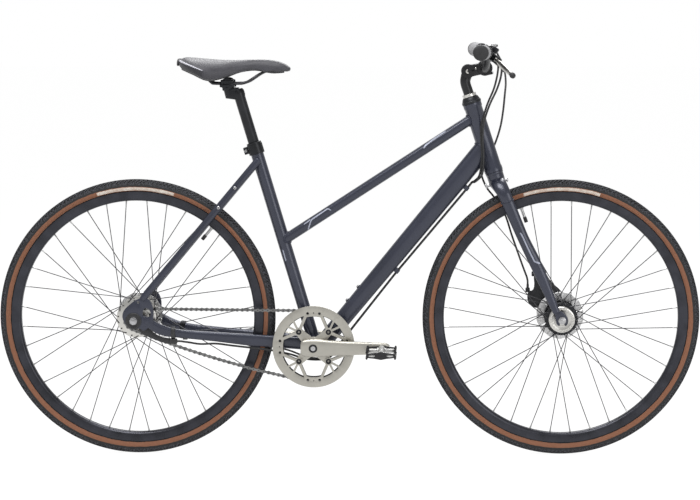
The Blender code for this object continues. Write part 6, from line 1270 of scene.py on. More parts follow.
piece("crown_screw", mesh, screw_steel, "steering", "steel")
piece("crown_screw_socket", recesses, socket_shade_and_cap_black, "steering", "black_plastic")
mesh = bmesh.new()
for name, side in SIDES:
    rows = smooth(blade_rows(side), 10)
    sections = along(rows)
    sections[0] = (sections[0][0], SIDE * -0.01, STEER_AHEAD * 0.016)
    aligned = [sections[0]]
    for centre, across, deep in sections[1:]:
        same = 1 if across.dot(aligned[-1][1]) > 0 else -1
        aligned.append((centre, across * same, deep * (1 if deep.dot(aligned[-1][2]) > 0 else -1)))
    blade = bmesh.new()
    loft(blade, aligned, 36, 2.2)
    plate(blade, [rounded(FORK_TIP, FRONT)], 0.006, side * 0.053, 0.0007)
    piece(f"fork_blade_{name}_skin", blade, paint, "steering", "frame_paint", f"fork_blade_{name}")
    bead = []
    for step in range(48):
        turn = 2 * math.pi * step / 48
        x, y = squared(math.cos(turn), math.sin(turn), 2.2)
        bead.append(aligned[0][0] + SIDE * (0.01 * x) + STEER_AHEAD * (0.016 * y))
    ring = []
    for i, point in enumerate(bead + bead[:1]):
        line = (bead[(i + 1) % 48] - bead[(i - 1) % 48]).normalized()
        size = 0.0019 if i % 2 else 0.0015
        ring.append((point, line.cross(STEER_UP).normalized() * size, STEER_UP * size))
    loft(mesh, ring, 8, ends=False)
piece("fork_weld_beads", mesh, bead_paint, "steering", "frame_paint", sharp=180)

# Headset: a black conical cover over the upper bearing, pressed in the head tube, and a bright spacer
# round the stem's foot. The lower bearing's race is part of the crown.

HEADSET_TOP = 0.603
mesh = bmesh.new()
spin(mesh, steer_point(0), STEER_UP,
     ((0.013, HEAD_TOP + 0.0003), (0.0236, HEAD_TOP + 0.0003), (0.0242, HEAD_TOP + 0.001),
      (0.0242, HEAD_TOP + 0.0055), (0.0232, HEAD_TOP + 0.007), (0.0226, HEAD_TOP + 0.0074),
      (0.0224, HEAD_TOP + 0.0084), (0.0196, HEAD_TOP + 0.015), (0.0178, HEAD_TOP + 0.0165),
      (0.0178, HEAD_TOP + 0.017), (0.013, HEAD_TOP + 0.017)), 64)
piece("headset_cap_skin", mesh, black_metal, "steering", "black_metal", "headset_cap")
mesh = bmesh.new()
spin(mesh, steer_point(0), STEER_UP,
     ((0.0131, HEAD_TOP + 0.0172), (0.0166, HEAD_TOP + 0.0172), (0.0172, HEAD_TOP + 0.0178),
      (0.0172, HEADSET_TOP - 0.0008), (0.0164, HEADSET_TOP), (0.0131, HEADSET_TOP)), 64)
piece("headset_spacer", mesh, silver, "steering", "silver")

# Stem: a black column that goes down into the steerer, and an arm that tilts on a cross bolt between
# its two cheeks and clamps the bar with a four-screw cap.

STEM_PIVOT = steer_point(0.657, 0.0154)
BAR_CLAMP = STEM_PIVOT + Vector((0.041, 0, 0.008))
stem_black = Finish("stem_black", (0.022, 0.022, 0.024), 0.33, 0.5)
stem_black.worn(0.06, 30.0, 0.2).grain(1400.0, 0.00006, 0.3)
mesh = bmesh.new()
rows = [(*steer_point(0.5103), 0.0127, 0.0127), (*steer_point(0.6), 0.0127, 0.0127),
        (*steer_point(0.63), 0.0127, 0.0127), (*steer_point(0.6445, 0.006), 0.012, 0.0132),
        (*STEM_PIVOT, 0.0117, 0.0145)]
loft(mesh, along(smooth(rows, 6)), 40)
spin(mesh, STEM_PIVOT, SIDE, mm((0, -12), (15, -12), (16, -11), (16, 11), (15, 12), (0, 12)), 56,
     ring=False)
piece("stem_column_skin", mesh, stem_black, "steering", "black_metal", "stem_column")
ARM_LINE = (BAR_CLAMP - STEM_PIVOT).normalized()
ARM_UP = ARM_LINE.cross(SIDE)
ARM_UP *= math.copysign(1, ARM_UP.z)
mesh, recesses = bmesh.new(), bmesh.new()
for side in (-1, 1):
    face = STEM_PIVOT + SIDE * (side * 0.015)
    spin(mesh, face, SIDE * side, mm((0, 0), (6.6, 0), (6.8, 0.6), (6, 2.4), (3, 2.7), (0, 2.7)), 32,
         ring=False)
    # painted shade: a dark six-sided plug stands for the bolt's socket
    rod(recesses, face, face + SIDE * (side * 0.0029), 0.0024, 6)
    screw(mesh, recesses, STEM_PIVOT + ARM_LINE * 0.02 + ARM_UP * 0.0035 + SIDE * (side * 0.018),
          SIDE * side, 0.0026, 0.0014)
piece("stem_pivot_bolt", mesh, silver, "steering", "silver")
piece("stem_pivot_socket", recesses, socket_shade_and_cap_black, "steering", "black_plastic")

mesh = bmesh.new()
for side in (-1, 1):
    face = STEM_PIVOT + SIDE * (side * 0.0123)
    spin(mesh, face, SIDE * side,
         mm((5.2, 0), (17, 0), (17, 4.6), (15.8, 6), (8.6, 6), (8, 3.6), (5.2, 3.6)), 56)
    rows = [(*(STEM_PIVOT + SIDE * (side * 0.0153)), 0.003, 0.015),
            (*(STEM_PIVOT + ARM_LINE * 0.02 + SIDE * (side * 0.0153)), 0.003, 0.0142),
            (*(BAR_CLAMP + SIDE * (side * 0.015)), 0.003, 0.014)]
    loft(mesh, along(rows), 32, 5.0)
rows = [(*(STEM_PIVOT + ARM_LINE * d), w, h)
        for d, w, h in ((0.0192, 0.018, 0.012), (0.02, 0.0182, 0.0138), (0.03, 0.0182, 0.014),
                        (0.04, 0.0182, 0.014))]
loft(mesh, along(rows), 40, 5.0)
spin(mesh, BAR_CLAMP, SIDE, mm((11.4, -22), (18, -22), (19, -20.8), (19, 20.8), (18, 22), (11.4, 22)), 56)
for side in (-1, 1):
    for up in (-1, 1):
        block(mesh, BAR_CLAMP + ARM_LINE * 0.0095 + ARM_UP * (up * 0.0148) + SIDE * (side * 0.0135),
              (0.015, 0.0105, 0.008), 0.0022, (ARM_LINE, SIDE, ARM_UP), 3)
piece("stem_arm_skin", mesh, stem_black, "bars", "black_metal", "stem_arm")
mesh, recesses = bmesh.new(), bmesh.new()
for side in (-1, 1):
    for up in (-1, 1):
        screw(mesh, recesses,
              BAR_CLAMP + ARM_LINE * 0.0166 + ARM_UP * (up * 0.0148) + SIDE * (side * 0.0135), ARM_LINE,
              0.0038, 0.0022)
piece("stem_screws", mesh, screw_steel, "bars", "steel")
piece("stem_screw_sockets", recesses, socket_shade_and_cap_black, "bars", "black_plastic")

# Handlebar: one black aluminium tube, 22.2 mm thick, that rises from the clamp and sweeps back to the
# grips.

BAR_HALF = 0.3
TAIL_START = Vector((0.0035, 0.13, 0.041))
TAIL_END = Vector((-0.018, BAR_HALF, 0.042))


def other_side(vector, side):
    return Vector((vector.x, vector.y * side, vector.z))


def bar_point(side, distance):
    """Point of the bar's straight end, this far from the middle of the bicycle."""
    share = (distance - TAIL_START.y) / (TAIL_END.y - TAIL_START.y)
    return BAR_CLAMP + other_side(TAIL_START.lerp(TAIL_END, share), side)


def bar_outward(side):
    return other_side((TAIL_END - TAIL_START).normalized(), side)


half = [BAR_CLAMP + Vector(p)
        for p in ((0, 0.015, 0), (0, 0.034, 0.0005), (0.0008, 0.062, 0.0125), (0.0025, 0.1, 0.0335))]
half += [bar_point(1, TAIL_START.y + (BAR_HALF - TAIL_START.y) * step / 4) for step in range(5)]
route = [other_side(point, -1) for point in half[::-1]] + half
piece("handlebar_skin",
      loft(bmesh.new(),
           along([(*point, 0.0111, 0.0111) for point in smooth(route, 6)], Vector((0, 0, 1))), 36),
      black_metal, "bars", "black_metal", "handlebar")

# Grips: soft grey rubber sleeves with fine ribs, a black collar on the inner end and a black cap pressed
# in at the outer one. The right one is short, beside the twist shifter.

grip_rubber = Finish("grey_grip_rubber", (0.36, 0.36, 0.37), 0.78)
grip_rubber.worn(0.06, 60.0, 0.1).grain(900.0, 0.0002, 0.5)
grip_black = Finish("black_grip_rubber", (0.02, 0.02, 0.022), 0.62)
grip_black.worn(0.08, 60.0, 0.2).grain(900.0, 0.0002, 0.5)
for name, side, start in (("left", 1, BAR_HALF - 0.1265), ("right", -1, BAR_HALF - 0.086 + 0.0006)):
    end = BAR_HALF + 0.0026
    rows = []
    steps = int((end - 0.014 - start) / 0.001)
    for step in range(steps + 1):
        share = step / steps
        swell = 0.0164 + 0.0012 * math.sin(math.pi * min(share * 1.15, 1))
        swell += 0.0016 * max(share - 0.72, 0) / 0.28
        ripple = 0.00035 * math.sin(step * math.pi / 2) if 6 < step < steps - 4 else 0
        swell -= 0.0016 * max(0, 1 - step / 3)
        rows.append((*bar_point(side, start + (end - 0.014 - start) * share), swell + ripple,
                     swell + ripple))
    piece(f"grip_{name}_sleeve", loft(bmesh.new(), along(rows, Vector((0, 0, 1))), 36), grip_rubber,
          "bars", "grip_rubber", f"grip_{name}")
    mesh = bmesh.new()
    spin(mesh, bar_point(side, end), bar_outward(side),
         mm((0, -0.5), (11, -0.2), (15.2, -1), (17.4, -2.6), (18.4, -5.2), (18.4, -10), (17.8, -14.2),
            (0, -14.2)), 40, ring=False)
    piece(f"grip_{name}_cap", mesh, grip_black, "bars", "black_plastic")
    mesh = bmesh.new()
    spin(mesh, bar_point(side, start), bar_outward(side),
         mm((11.5, -0.3), (17.2, -0.3), (17.8, 0.6), (17.8, 3.6), (17, 4.4), (11.5, 4.4)), 40)
    piece(f"grip_{name}_collar", mesh, grip_black, "bars", "black_plastic")

# Twist shifter: a ribbed rubber ring that turns on the bar inside the right grip, with a moulded black
# hub beside it.

mesh = bmesh.new()
start, end = bar_point(-1, BAR_HALF - 0.1115), bar_point(-1, BAR_HALF - 0.086)
length = (end - start).length
profile = ((0.0117, 0.0), (0.0168, 0.0), (0.0174, 0.0008), (0.0174, 0.003), (0.017, 0.0036),
           (0.0171, 0.0042), (0.0171, length - 0.0036), (0.0176, length - 0.0028),
           (0.0176, length - 0.0008), (0.017, length), (0.0117, length))
spin(mesh, start, (end - start), profile, 72)
ribs = []
line = (end - start).normalized()
for face in mesh.faces:
    middle = face.calc_center_median() - start
    far = middle.dot(line)
    out = middle - line * far
    place = step_round(Vector((out.dot(line.cross(Vector((0, 0, 1))).normalized()), 0, out.z)), 72)
    if 0.0045 < far < length - 0.004 and out.length > 0.016 and place % 4 < 2:
        ribs.append(face)
bmesh.ops.recalc_face_normals(mesh, faces=mesh.faces)
bmesh.ops.inset_region(mesh, faces=ribs, thickness=0.0003, depth=0.0008)
piece("shifter_ring", mesh, grip_black, "twist_ring", "black_plastic", "shifter")

# Brake levers: bent aluminium blades with a black ball at the tip, on a pin between the cheeks of a
# black bracket that clamps round the bar. The right bracket also holds the gear indicator.

LEVER_AHEAD = Vector((0.8, 0, -0.6))
LEVER_PIVOT = 0.03
LEVER_ROUTE = mm((0, 30, 4.7, 6), (12.5, 37.5, 4.7, 5.2), (30, 49, 6.5, 4.5), (58, 68, 6.5, 4),
                 (83, 85, 4.8, 3.6))
BRACKET_AT = BAR_HALF - 0.137
INDICATOR = (0.0135, 0.017)


def bracket_axes(side):
    """Outward along the bar, toward the lever, and along the lever's pin."""
    outward = bar_outward(side)
    ahead = (LEVER_AHEAD - outward * outward.dot(LEVER_AHEAD)).normalized()
    return outward, ahead, outward.cross(ahead)


def bracket_place(side, out, ahead, aside=0.0):
    outward, forward, pin = bracket_axes(side)
    return bar_point(side, BRACKET_AT) + outward * out + forward * ahead + pin * aside


indicator_grey = Finish("indicator_grey", (0.3, 0.3, 0.31), 0.4)
indicator_grey.worn(0.06, 60.0, 0.1)
for name, side in SIDES:
    outward, ahead, pin = bracket_axes(side)
    centre = bar_point(side, BRACKET_AT)
    mesh = bmesh.new()
    spin(mesh, centre, outward, mm((11.4, -7), (15.2, -7), (16, -6), (16, 6), (15.2, 7), (11.4, 7)), 48)
    for aside in (-1, 1):
        cheek = bracket_place(side, 0.0, 0.0255, aside * 0.0072)
        block(mesh, cheek, (0.0165, 0.029, 0.0036), 0.0014, (outward, ahead, pin), 3)
        rod(mesh, bracket_place(side, 0, LEVER_PIVOT, aside * 0.0054),
            bracket_place(side, 0, LEVER_PIVOT, aside * 0.0092), 0.0048, 28, round_off=0.0005)
    block(mesh, bracket_place(side, -0.0055, 0.0235), (0.005, 0.026, 0.015), 0.0012,
          (outward, ahead, pin), 2)
    spin(mesh, bracket_place(side, -0.007, LEVER_PIVOT), -outward,
         mm((2.8, 0), (5.8, 0), (6, 4), (4.6, 4.6), (4.6, 9.5), (5.6, 10), (5.6, 17), (4.4, 17.8),
            (4, 23), (2.8, 23)), 24)
    if side < 0:
        block(mesh, bracket_place(side, 0, *INDICATOR), (0.02, 0.016, 0.014), 0.0035,
              (outward, ahead, pin), 4)
        spin(mesh, bracket_place(side, -0.01, *INDICATOR), -outward,
             mm((2.8, 0), (4.8, 0), (4.2, 3), (3.8, 6.5), (2.8, 6.5)), 24)
    piece(f"brake_mount_{name}_skin", mesh, black_metal, "bars", "black_metal", f"brake_mount_{name}")
    pins, screw_sockets = bmesh.new(), bmesh.new()
    screw(pins, screw_sockets, bracket_place(side, 0, -0.0152), -ahead, 0.0034, 0.0024)
    piece(f"brake_mount_{name}_screw", pins, screw_steel, "bars", "steel")
    piece(f"brake_mount_{name}_socket", screw_sockets, socket_shade_and_cap_black, "bars", "black_plastic")

    rows = smooth([(*bracket_place(side, out, reach), wide, deep)
                   for out, reach, wide, deep in LEVER_ROUTE], 6)
    mesh = bmesh.new()
    loft(mesh, along(rows, pin), 28, 2.6)
    tongue = bracket_place(side, 0, LEVER_PIVOT)
    rod(mesh, tongue - pin * 0.0049, tongue + pin * 0.0049, 0.007, 36, round_off=0.0008)
    piece(f"brake_lever_{name}_skin", mesh, silver, f"{name}_lever", "silver", f"brake_lever_{name}")
    mesh = bmesh.new()
    rod(mesh, tongue - pin * 0.009, tongue + pin * 0.009, 0.0025, 20, round_off=0.0003)
    piece(f"brake_lever_{name}_pin", mesh, screw_steel, f"{name}_lever", "steel")
    tip = bracket_place(side, 0.087, 0.088)
    neck = bracket_place(side, 0.079, 0.0822)
    mesh = bmesh.new()
    spin(mesh, neck, tip - neck,
         mm((0, 0), (4.8, 0), (5.6, 1.2), (5.4, 3), (6, 4.6), (6.9, 7.8), (7, 10), (6.4, 13.2),
            (4.6, 15.6), (2.2, 16.7), (0, 16.9)), 32, ring=False)
    piece(f"brake_lever_{name}_tip", mesh, grip_black, f"{name}_lever", "black_plastic")
mesh = bmesh.new()
block(mesh, bracket_place(-1, 0.001, 0.015, 0.0236), (0.012, 0.009, 0.0016), 0.0006, bracket_axes(-1))
piece("gear_indicator_window", mesh, indicator_grey, "bars", "grip_rubber")

# Bell: a small chromed dome on a post, with its striker, clipped round the bar by a black plastic
# strap between the right bracket and the stem.

bell_chrome = Finish("bell_chrome", (0.72, 0.72, 0.72), 0.14, 1.0)
bell_chrome.worn(0.05, 30.0, 0.05)
centre = bar_point(-1, BRACKET_AT - 0.023)
outward = bar_outward(-1)
mesh = bmesh.new()
spin(mesh, centre, outward, mm((11.5, -4), (13.4, -4), (14, -3.2), (14, 3.2), (13.4, 4), (11.5, 4)), 48)
post = (centre + Vector((0.006, 0, 0.006)), centre + Vector((0.008, 0, 0.0155)))
rod(mesh, post[0], post[1], 0.005, 24, 0.006)
top = post[1]
rod(mesh, top + Vector((0.004, 0.002, -0.0015)), top + Vector((0.0155, 0.004, -0.001)), 0.0016, 12)
rod(mesh, top + Vector((0.0145, 0.004, -0.0022)), top + Vector((0.015, 0.004, 0.0032)), 0.0028, 20,
    round_off=0.0008)
piece("bell_strap", mesh, changer, "bars", "black_plastic", "bell")
mesh = bmesh.new()
dome = centre + Vector((0.008, 0, 0.016))
profile = [(0.0145 * math.cos(a), 0.0071 * math.sin(a))
           for a in (math.radians(90 - 9 * k) for k in range(11))]
profile += [(0.014, -0.0006), (0.0136, 0.0002)]
profile += [(0.0134 * math.cos(a), 0.006 * math.sin(a))
            for a in (math.radians(10 + 10 * k) for k in range(9))]
spin(mesh, dome, (0.05, 0, 1), profile, 48, ring=False)
piece("bell_dome", mesh, bell_chrome, "bars", "silver")

# Seat post: a straight black aluminium tube that slides in the seat tube, with a forged head that holds
# the saddle's rails between a cradle and a cap on one bolt.

POST_TOP = 0.655
SADDLE_CLAMP = seat_point(POST_TOP + 0.0308) + SEAT_BACK * 0.0181


def from_clamp(x, y, z):
    return SADDLE_CLAMP + Vector((x, y, z))


mesh = bmesh.new()
spin(mesh, seat_point(0), SEAT_UP,
     ((0.0, POST_TOP - 0.314), (0.0128, POST_TOP - 0.314), (0.0136, POST_TOP - 0.3125),
      (0.0136, POST_TOP - 0.012), (0.015, POST_TOP - 0.006), (0.015, POST_TOP + 0.004),
      (0.012, POST_TOP + 0.01), (0.0, POST_TOP + 0.01)), 56, ring=False)
head = SADDLE_CLAMP + Vector((0.007, 0, -0.0213))
rows = [(*seat_point(POST_TOP - 0.004), 0.0135, 0.014),
        (*(head + Vector((-0.001, 0, -0.002))), 0.0132, 0.0185),
        (*(head + Vector((0, 0, 0.0095))), 0.013, 0.0198)]
loft(mesh, along(rows), 36, 3.0)
block(mesh, head + Vector((0, 0, 0.007)), (0.04, 0.026, 0.008), 0.0022, segments=3)
piece("seatpost_skin", mesh, black_metal, "seat", "black_metal", "seatpost")
RAIL_SPREAD = 0.022
mesh, recesses = bmesh.new(), bmesh.new()
for side in (-1, 1):
    block(mesh, from_clamp(0, side * RAIL_SPREAD, -0.0052), (0.036, 0.012, 0.0086), 0.0022, segments=3)
    block(mesh, from_clamp(0, side * RAIL_SPREAD, 0.0054), (0.032, 0.012, 0.008), 0.0026, segments=3)
block(mesh, from_clamp(0, 0, -0.0055), (0.03, 0.046, 0.008), 0.002, segments=3)
block(mesh, from_clamp(0, 0, 0.0062), (0.022, 0.046, 0.0066), 0.0022, segments=3)
for side in (-1, 1):
    spin(mesh, from_clamp(0, side * 0.0262, -0.001), SIDE * side,
         mm((0, -4), (15, -4), (15.6, -3.2), (15.6, 0), (14.6, 1.2), (9, 1.6), (8.4, 0.6), (0, 0.6)), 40,
         ring=False)
piece("saddle_clamp_skin", mesh, black_metal, "seat", "black_metal", "saddle_clamp")
mesh = bmesh.new()
screw(mesh, recesses, from_clamp(0, 0, 0.0094), (0, 0, 1), 0.005, 0.0006)
rod(mesh, from_clamp(0, 0, -0.015), from_clamp(0, 0, 0.0094), 0.0032, 20)
piece("saddle_clamp_bolt", mesh, screw_steel, "seat", "steel")
piece("saddle_clamp_socket", recesses, socket_shade_and_cap_black, "seat", "black_plastic")

# Saddle rails: one bent steel wire, 7 mm thick and painted black, sprung into sockets at the saddle's
# nose and tail.

RAIL_ROUTE = mm((-53, 21), (-46.8, 11.5), (-39, 3), (-29, 0), (26, 0), (41, 1.2), (53, 5.5), (65, 13))
RAIL_NOSE = mm((75, 18, 19.8), (85, 10.5, 25.5), (94, 4, 29.5))
half = [from_clamp(x, RAIL_SPREAD, z) for x, z in RAIL_ROUTE] + [from_clamp(*p) for p in RAIL_NOSE]
route = half + [from_clamp(0.098, 0, 0.03)] + [other_side(point, -1) for point in half[::-1]]
mesh = bmesh.new()
loft(mesh, along([(*point, 0.0035, 0.0035) for point in smooth(route, 5)]), 20)
rail_black = Finish("rail_black", (0.034, 0.034, 0.038), 0.34, 0.5)
rail_black.worn(0.08, 40.0, 0.25)
piece("saddle_rails_skin", mesh, rail_black, "seat", "steel", "saddle_rails")

# Saddle pad: foam glued on the base under a stretched, fine-grained grey cover with a shallow channel
# down the middle. Piping closes the seam at the tail, where the side panels are darker.

# (x from the clamp, half width, top, lower edge of the side) from tail to nose
SADDLE_STATIONS = mm((-122.5, 18, 54.5, 49), (-120, 30, 59, 45), (-110, 54, 63.5, 35),
                     (-81, 76, 62, 23.5), (-46, 77.5, 59, 8.5), (-11, 60, 57, 13), (29, 39.5, 57.2, 27.2),
                     (69, 26.8, 59.2, 32.8), (109, 22.2, 58.8, 26.2), (139, 19.2, 53, 27.5),
                     (156.5, 12, 42, 31), (158.5, 7, 39.5, 33))
SADDLE_ARCH = ((0.0, 1.0), (0.22, 0.985), (0.48, 0.93), (0.75, 0.8), (0.94, 0.58), (1.0, 0.34),
               (0.95, 0.08), (0.88, 0.0))


def saddle_arch(x, half, top, low, steps):
    """Points across the saddle at one station, from its left lower edge over the top to its right one."""
    side = [Vector((x, half * wide, low + (top - low) * high)) for wide, high in smooth(SADDLE_ARCH, steps)]
    for point in side:
        point.z -= 0.0045 * min(half / 0.03, 1) * math.exp(-((point.y / 0.009) ** 2))
    return side[::-1] + [other_side(point, -1) for point in side[1:]]


def saddle_loop(mesh, outer, inner):
    """Edges round one section of a shell that is open below."""
    ring = [mesh.verts.new(SADDLE_CLAMP + point) for point in outer + inner[::-1]]
    return [mesh.edges.new((ring[i - 1], ring[i])) for i in range(len(ring))]


mesh = bmesh.new()
loops = []
rows = smooth(SADDLE_STATIONS, 5)
for number, (x, half, top, low) in enumerate(rows):
    near_end = min(number / 8, (len(rows) - 1 - number) / 8, 1)
    outer = saddle_arch(x, half, top, low, 3)
    wall = min(0.01, half * 0.22)
    inner = saddle_arch(x, half - wall, low + max(top - low - 0.019, 0.001) * near_end + 0.0005, low, 3)
    loops.append(saddle_loop(mesh, outer, inner))
bridge(mesh, loops)
cover = Finish("saddle_cover", (0.052, 0.051, 0.061), 0.5, Sheen_Weight=0.15, Sheen_Roughness=0.5)
cover.worn(0.06, 26.0, 0.1)
panel = cover.make("ShaderNodeAttribute", {"attribute_name": "panel"}, (), "Fac")
cover.set("Base Color", panel.mix(cover.tinted, (0.018, 0.018, 0.024)))
cover.bump(cover.cells(1500.0, "SMOOTH_F1") + cover.noise(300.0) * 0.3, 0.00018, 0.45)
pad = piece("saddle_pad_cover", mesh, cover, None, "saddle_cover", "saddle_pad", sharp=180)


def stuff(pad, voxel, pressure, cap):
    """Fills the pad out as foam does its cover, no point further than the cap, and smooths it once."""
    remesh = pad.modifiers.new("remesh", "REMESH")
    remesh.mode, remesh.voxel_size = "VOXEL", voxel
    bpy.context.view_layer.objects.active = pad
    bpy.ops.object.modifier_apply(modifier=remesh.name)
    start = [vert.co.copy() for vert in pad.data.vertices]
    cloth = pad.modifiers.new("cloth", "CLOTH")
    cloth.settings.use_pressure, cloth.settings.uniform_pressure_force = True, pressure
    cloth.settings.effector_weights.gravity = 0
    for frame_number in range(1, 21):
        scene.frame_set(frame_number)
    bpy.ops.object.modifier_apply(modifier=cloth.name)
    for vert, place in zip(pad.data.vertices, start):
        move = vert.co - place
        vert.co = place + move * min(1, cap / max(move.length, 1e-9))
    scene.frame_set(1)
    rounder = pad.modifiers.new("rounder", "SUBSURF")
    rounder.levels = rounder.render_levels = 1
    bpy.ops.object.modifier_apply(modifier=rounder.name)
    pad.data.shade_smooth()


stuff(pad, 0.0042, 4.0, 0.0022)
tree = surface(pad)
# the seam from the tail's upper corner down to the lower edge, as (x, z) from the clamp
SEAM = mm((-115, 56), (-106, 53), (-90, 47.5), (-72, 40.5), (-54, 33.5))
panel = pad.data.attributes.new("panel", "FLOAT", "POINT")
for vert, value in zip(pad.data.vertices, panel.data):
    x, z = vert.co.x - SADDLE_CLAMP.x, vert.co.z - SADDLE_CLAMP.z
    seam = 0.056 + (x + 0.115) * -0.37
    inside = min((x + 0.116) / 0.004, (-0.05 - x) / 0.008, (seam - z) / 0.0025, (z - seam + 0.02) / 0.006)
    value.value = min(max(inside, 0), 1) if abs(vert.co.y) > 0.03 else 0
seams = bmesh.new()
for side in (-1, 1):
    points = []
    for x, z in smooth(SEAM, 6):
        start = SADDLE_CLAMP + Vector((x, side * 0.2, z))
        hit, normal, _, _ = tree.ray_cast(start, SIDE * -side)
        wide = 0.0026 - 0.0016 * (x + 0.115) / 0.061
        points.append((*(hit + normal * 0.0002), wide, wide))
    loft(seams, along(points), 12)
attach(pad, "seat")
piping = Finish("piping", (0.62, 0.62, 0.68), 0.36)
piping.worn(0.06, 60.0, 0.1).grain(800.0, 0.0001, 0.4)
piece("saddle_piping", seams, piping, "seat", "grip_rubber")

# Saddle base: a black moulded shell under the pad, open below, with a socket for each end of the
# rails, and a bumper that wraps the tail.

shell_black = Finish("saddle_shell_plastic", (0.03, 0.03, 0.032), 0.5)
shell_black.worn(0.07, 30.0, 0.15).grain(900.0, 0.00012, 0.4)
mesh = bmesh.new()
loops = []
rows = smooth(SADDLE_STATIONS[2:-2], 4)
for x, half, top, low in rows:
    wall = min(0.012, half * 0.24) + 0.0006
    outer = saddle_arch(x, half - wall, top - 0.0206, low - 0.0012, 2)
    inner = saddle_arch(x, half - wall - 0.0026, top - 0.0232, low - 0.0012, 2)
    loops.append(saddle_loop(mesh, outer, inner))
bridge(mesh, loops)
block(mesh, from_clamp(0.0995, 0, 0.0325), (0.022, 0.022, 0.012), 0.004, segments=3)
block(mesh, from_clamp(0.108, 0, 0.03), (0.034, 0.01, 0.008), 0.003, segments=3)
for side in (-1, 1):
    block(mesh, from_clamp(-0.056, side * RAIL_SPREAD, 0.0265), (0.018, 0.015, 0.02), 0.0045, segments=3)
piece("saddle_base_skin", mesh, shell_black, "seat", "black_plastic", "saddle_base")
mesh = bmesh.new()
x, half, top, low = smooth(SADDLE_STATIONS, 5)[6]
arch = saddle_arch(x, half, top, low, 3)
points = [(*(SADDLE_CLAMP + point + Vector((-0.0008, 0, 0.0002))), 0.003, 0.003) for point in arch[2:-2]]
for index, share in ((0, 0.3), (1, 0.75), (-2, 0.75), (-1, 0.3)):
    points[index] = (*points[index][:3], 0.003 * share, 0.003 * share)
loft(mesh, along(points, Vector((1, 0, 0))), 14)
piece("saddle_tail_bumper", mesh, shell_black, "seat", "black_plastic", sharp=60)

# Cables: black plastic housings round steel wire, from the levers and the shifter past the head tube.
# Two run under the down tube in the guides and on to the rear hub, one down the left fork blade. Bare
# wires go on from the brakes' stops to their cams.

housing = Finish("cable_housing", (0.016, 0.016, 0.017), 0.4)
housing.worn(0.07, 60.0, 0.2)
wire_steel = Finish("inner_wire", (0.42, 0.42, 0.42), 0.35, 1.0)
wire_steel.worn(0.08, 200.0, 0.15)
CABLE_RADIUS = 0.0025


def guide_run(side):
    """Places in the guides under the down tube on this side."""
    return [guide_middle(share, side) - DOWN * (0.01 * step) for share in GUIDE_SHARES
            for step in (-2, -1, 1, 2)]


def cable(name, points, cuts, *nodes):
    """A housing cut in pieces, each (its last point, its body or the two bodies that it runs between)."""
    rows = [(*point, CABLE_RADIUS, CABLE_RADIUS) for point in smooth(points, 6)]
    first = 0
    for number, (last, *bodies) in enumerate(cuts):
        mesh = bmesh.new()
        part = rows[first * 6:last * 6 + 1]
        loft(mesh, along(part), 12)
        made = piece(f"{name}_{number + 1}", mesh, housing, None if len(bodies) > 1 else bodies[0],
                     "black_plastic", *(nodes if number == 0 else ()))
        if len(bodies) > 1:
            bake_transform(made)
        first = last


def ferrule(name, end, out, body):
    """Black cap pressed on a housing's end, where the bare wire comes out."""
    profile = mm((2.4, -10), (3, -9.8), (3.2, -9), (3.2, -0.4), (2.8, 0.4), (1, 0.6))
    piece(name, spin(bmesh.new(), end, out, profile, 20), housing, body, "black_plastic")


REAR_DROP = mm((368, -112, 984), (366.5, -85, 955), (359, -60, 920), (345, -40, 884), (335, -30.5, 852),
               (329, -27.5, 825), (329, -27, 790), (331, -26.2, 752), (326, -16, 706), (314.5, -2, 689))
REAR_STAY = mm((-20, 8, 282), (-50, 9, 244.5), (-100, 12, 240), (-150, 22, 256), (-200, 27.5, 267),
               (-250, 31.5, 271.5), (-300, 37, 279), (-350, 44.5, 283.5), (-395, 55, 284))
SHIFT_DROP = mm((366, -128, 1004), (375, -105, 985), (376, -83, 955), (367, -62, 920), (351, -46.5, 884),
                (340, -37, 852), (334, -34, 825), (333, -33.5, 790), (335, -33, 752), (332, -29, 708),
                (316, -16, 688))
SHIFT_STAY = mm((-20, -8, 282), (-50, -9, 244.5), (-100, -12, 240), (-150, -22, 256), (-200, -27.5, 267),
                (-243, -31, 272.5), (-292, -36, 279), (-330, -41, 284.5), (-367, -47, 284.5),
                (-395, -53, 289.5))
FRONT_DROP = mm((380, 118, 984), (391, 103, 960), (394, 90, 930), (391, 75, 899), (386, 60, 856),
                (378, 48, 815), (362, 41, 770), (340, 40, 735), (332, 43, 703), (345, 49, 668),
                (366, 56, 640), (392, 61, 598), (411, 62, 541), (437, 58, 468), (448, 49, 438))
points = [bracket_place(-1, -0.0303, 0.03), bracket_place(-1, -0.038, 0.03), *map(Vector, REAR_DROP)]
points += [*guide_run(1), *map(Vector, REAR_STAY)]
points += [REAR_STOP + Vector((x, 0, 0)) for x in (0.016, 0.0045)]
cable("rear_brake_housing", points,
      ((5, "bars", "steering"), (11, "steering", "frame"), (len(points) - 1, "frame")),
      "rear_brake_cable")
block_face = REAR + Vector((0.106, -0.0565, -0.053))
points = [bracket_place(-1, out, *INDICATOR) for out in (-0.0103, -0.018)]
points += [*map(Vector, SHIFT_DROP), *guide_run(-1), *map(Vector, SHIFT_STAY)]
points += [block_face + Vector((0.008, 0, 0)), block_face + Vector((0.0003, 0, 0))]
cable("shift_housing", points,
      ((6, "bars", "steering"), (12, "steering", "frame"), (len(points) - 1, "frame")), "shift_cable")
points = [bracket_place(1, -0.0303, 0.03), bracket_place(1, -0.038, 0.03), *map(Vector, FRONT_DROP)]
points += [FRONT_STOP + Vector((0, 0, z)) for z in (0.014, 0.005)]
cable("front_brake_housing", points,
      ((5, "bars", "steering"), (9, "steering", "frame"), (14, "frame", "steering"),
       (len(points) - 1, "steering")), "front_brake_cable")
ferrule("front_brake_ferrule", FRONT_STOP + Vector((0, 0, 0.0052)), Vector((0, 0, -1)), "steering")
ferrule("rear_brake_ferrule", REAR_STOP + Vector((0.0047, 0, 0)), Vector((-1, 0, 0)), "frame")
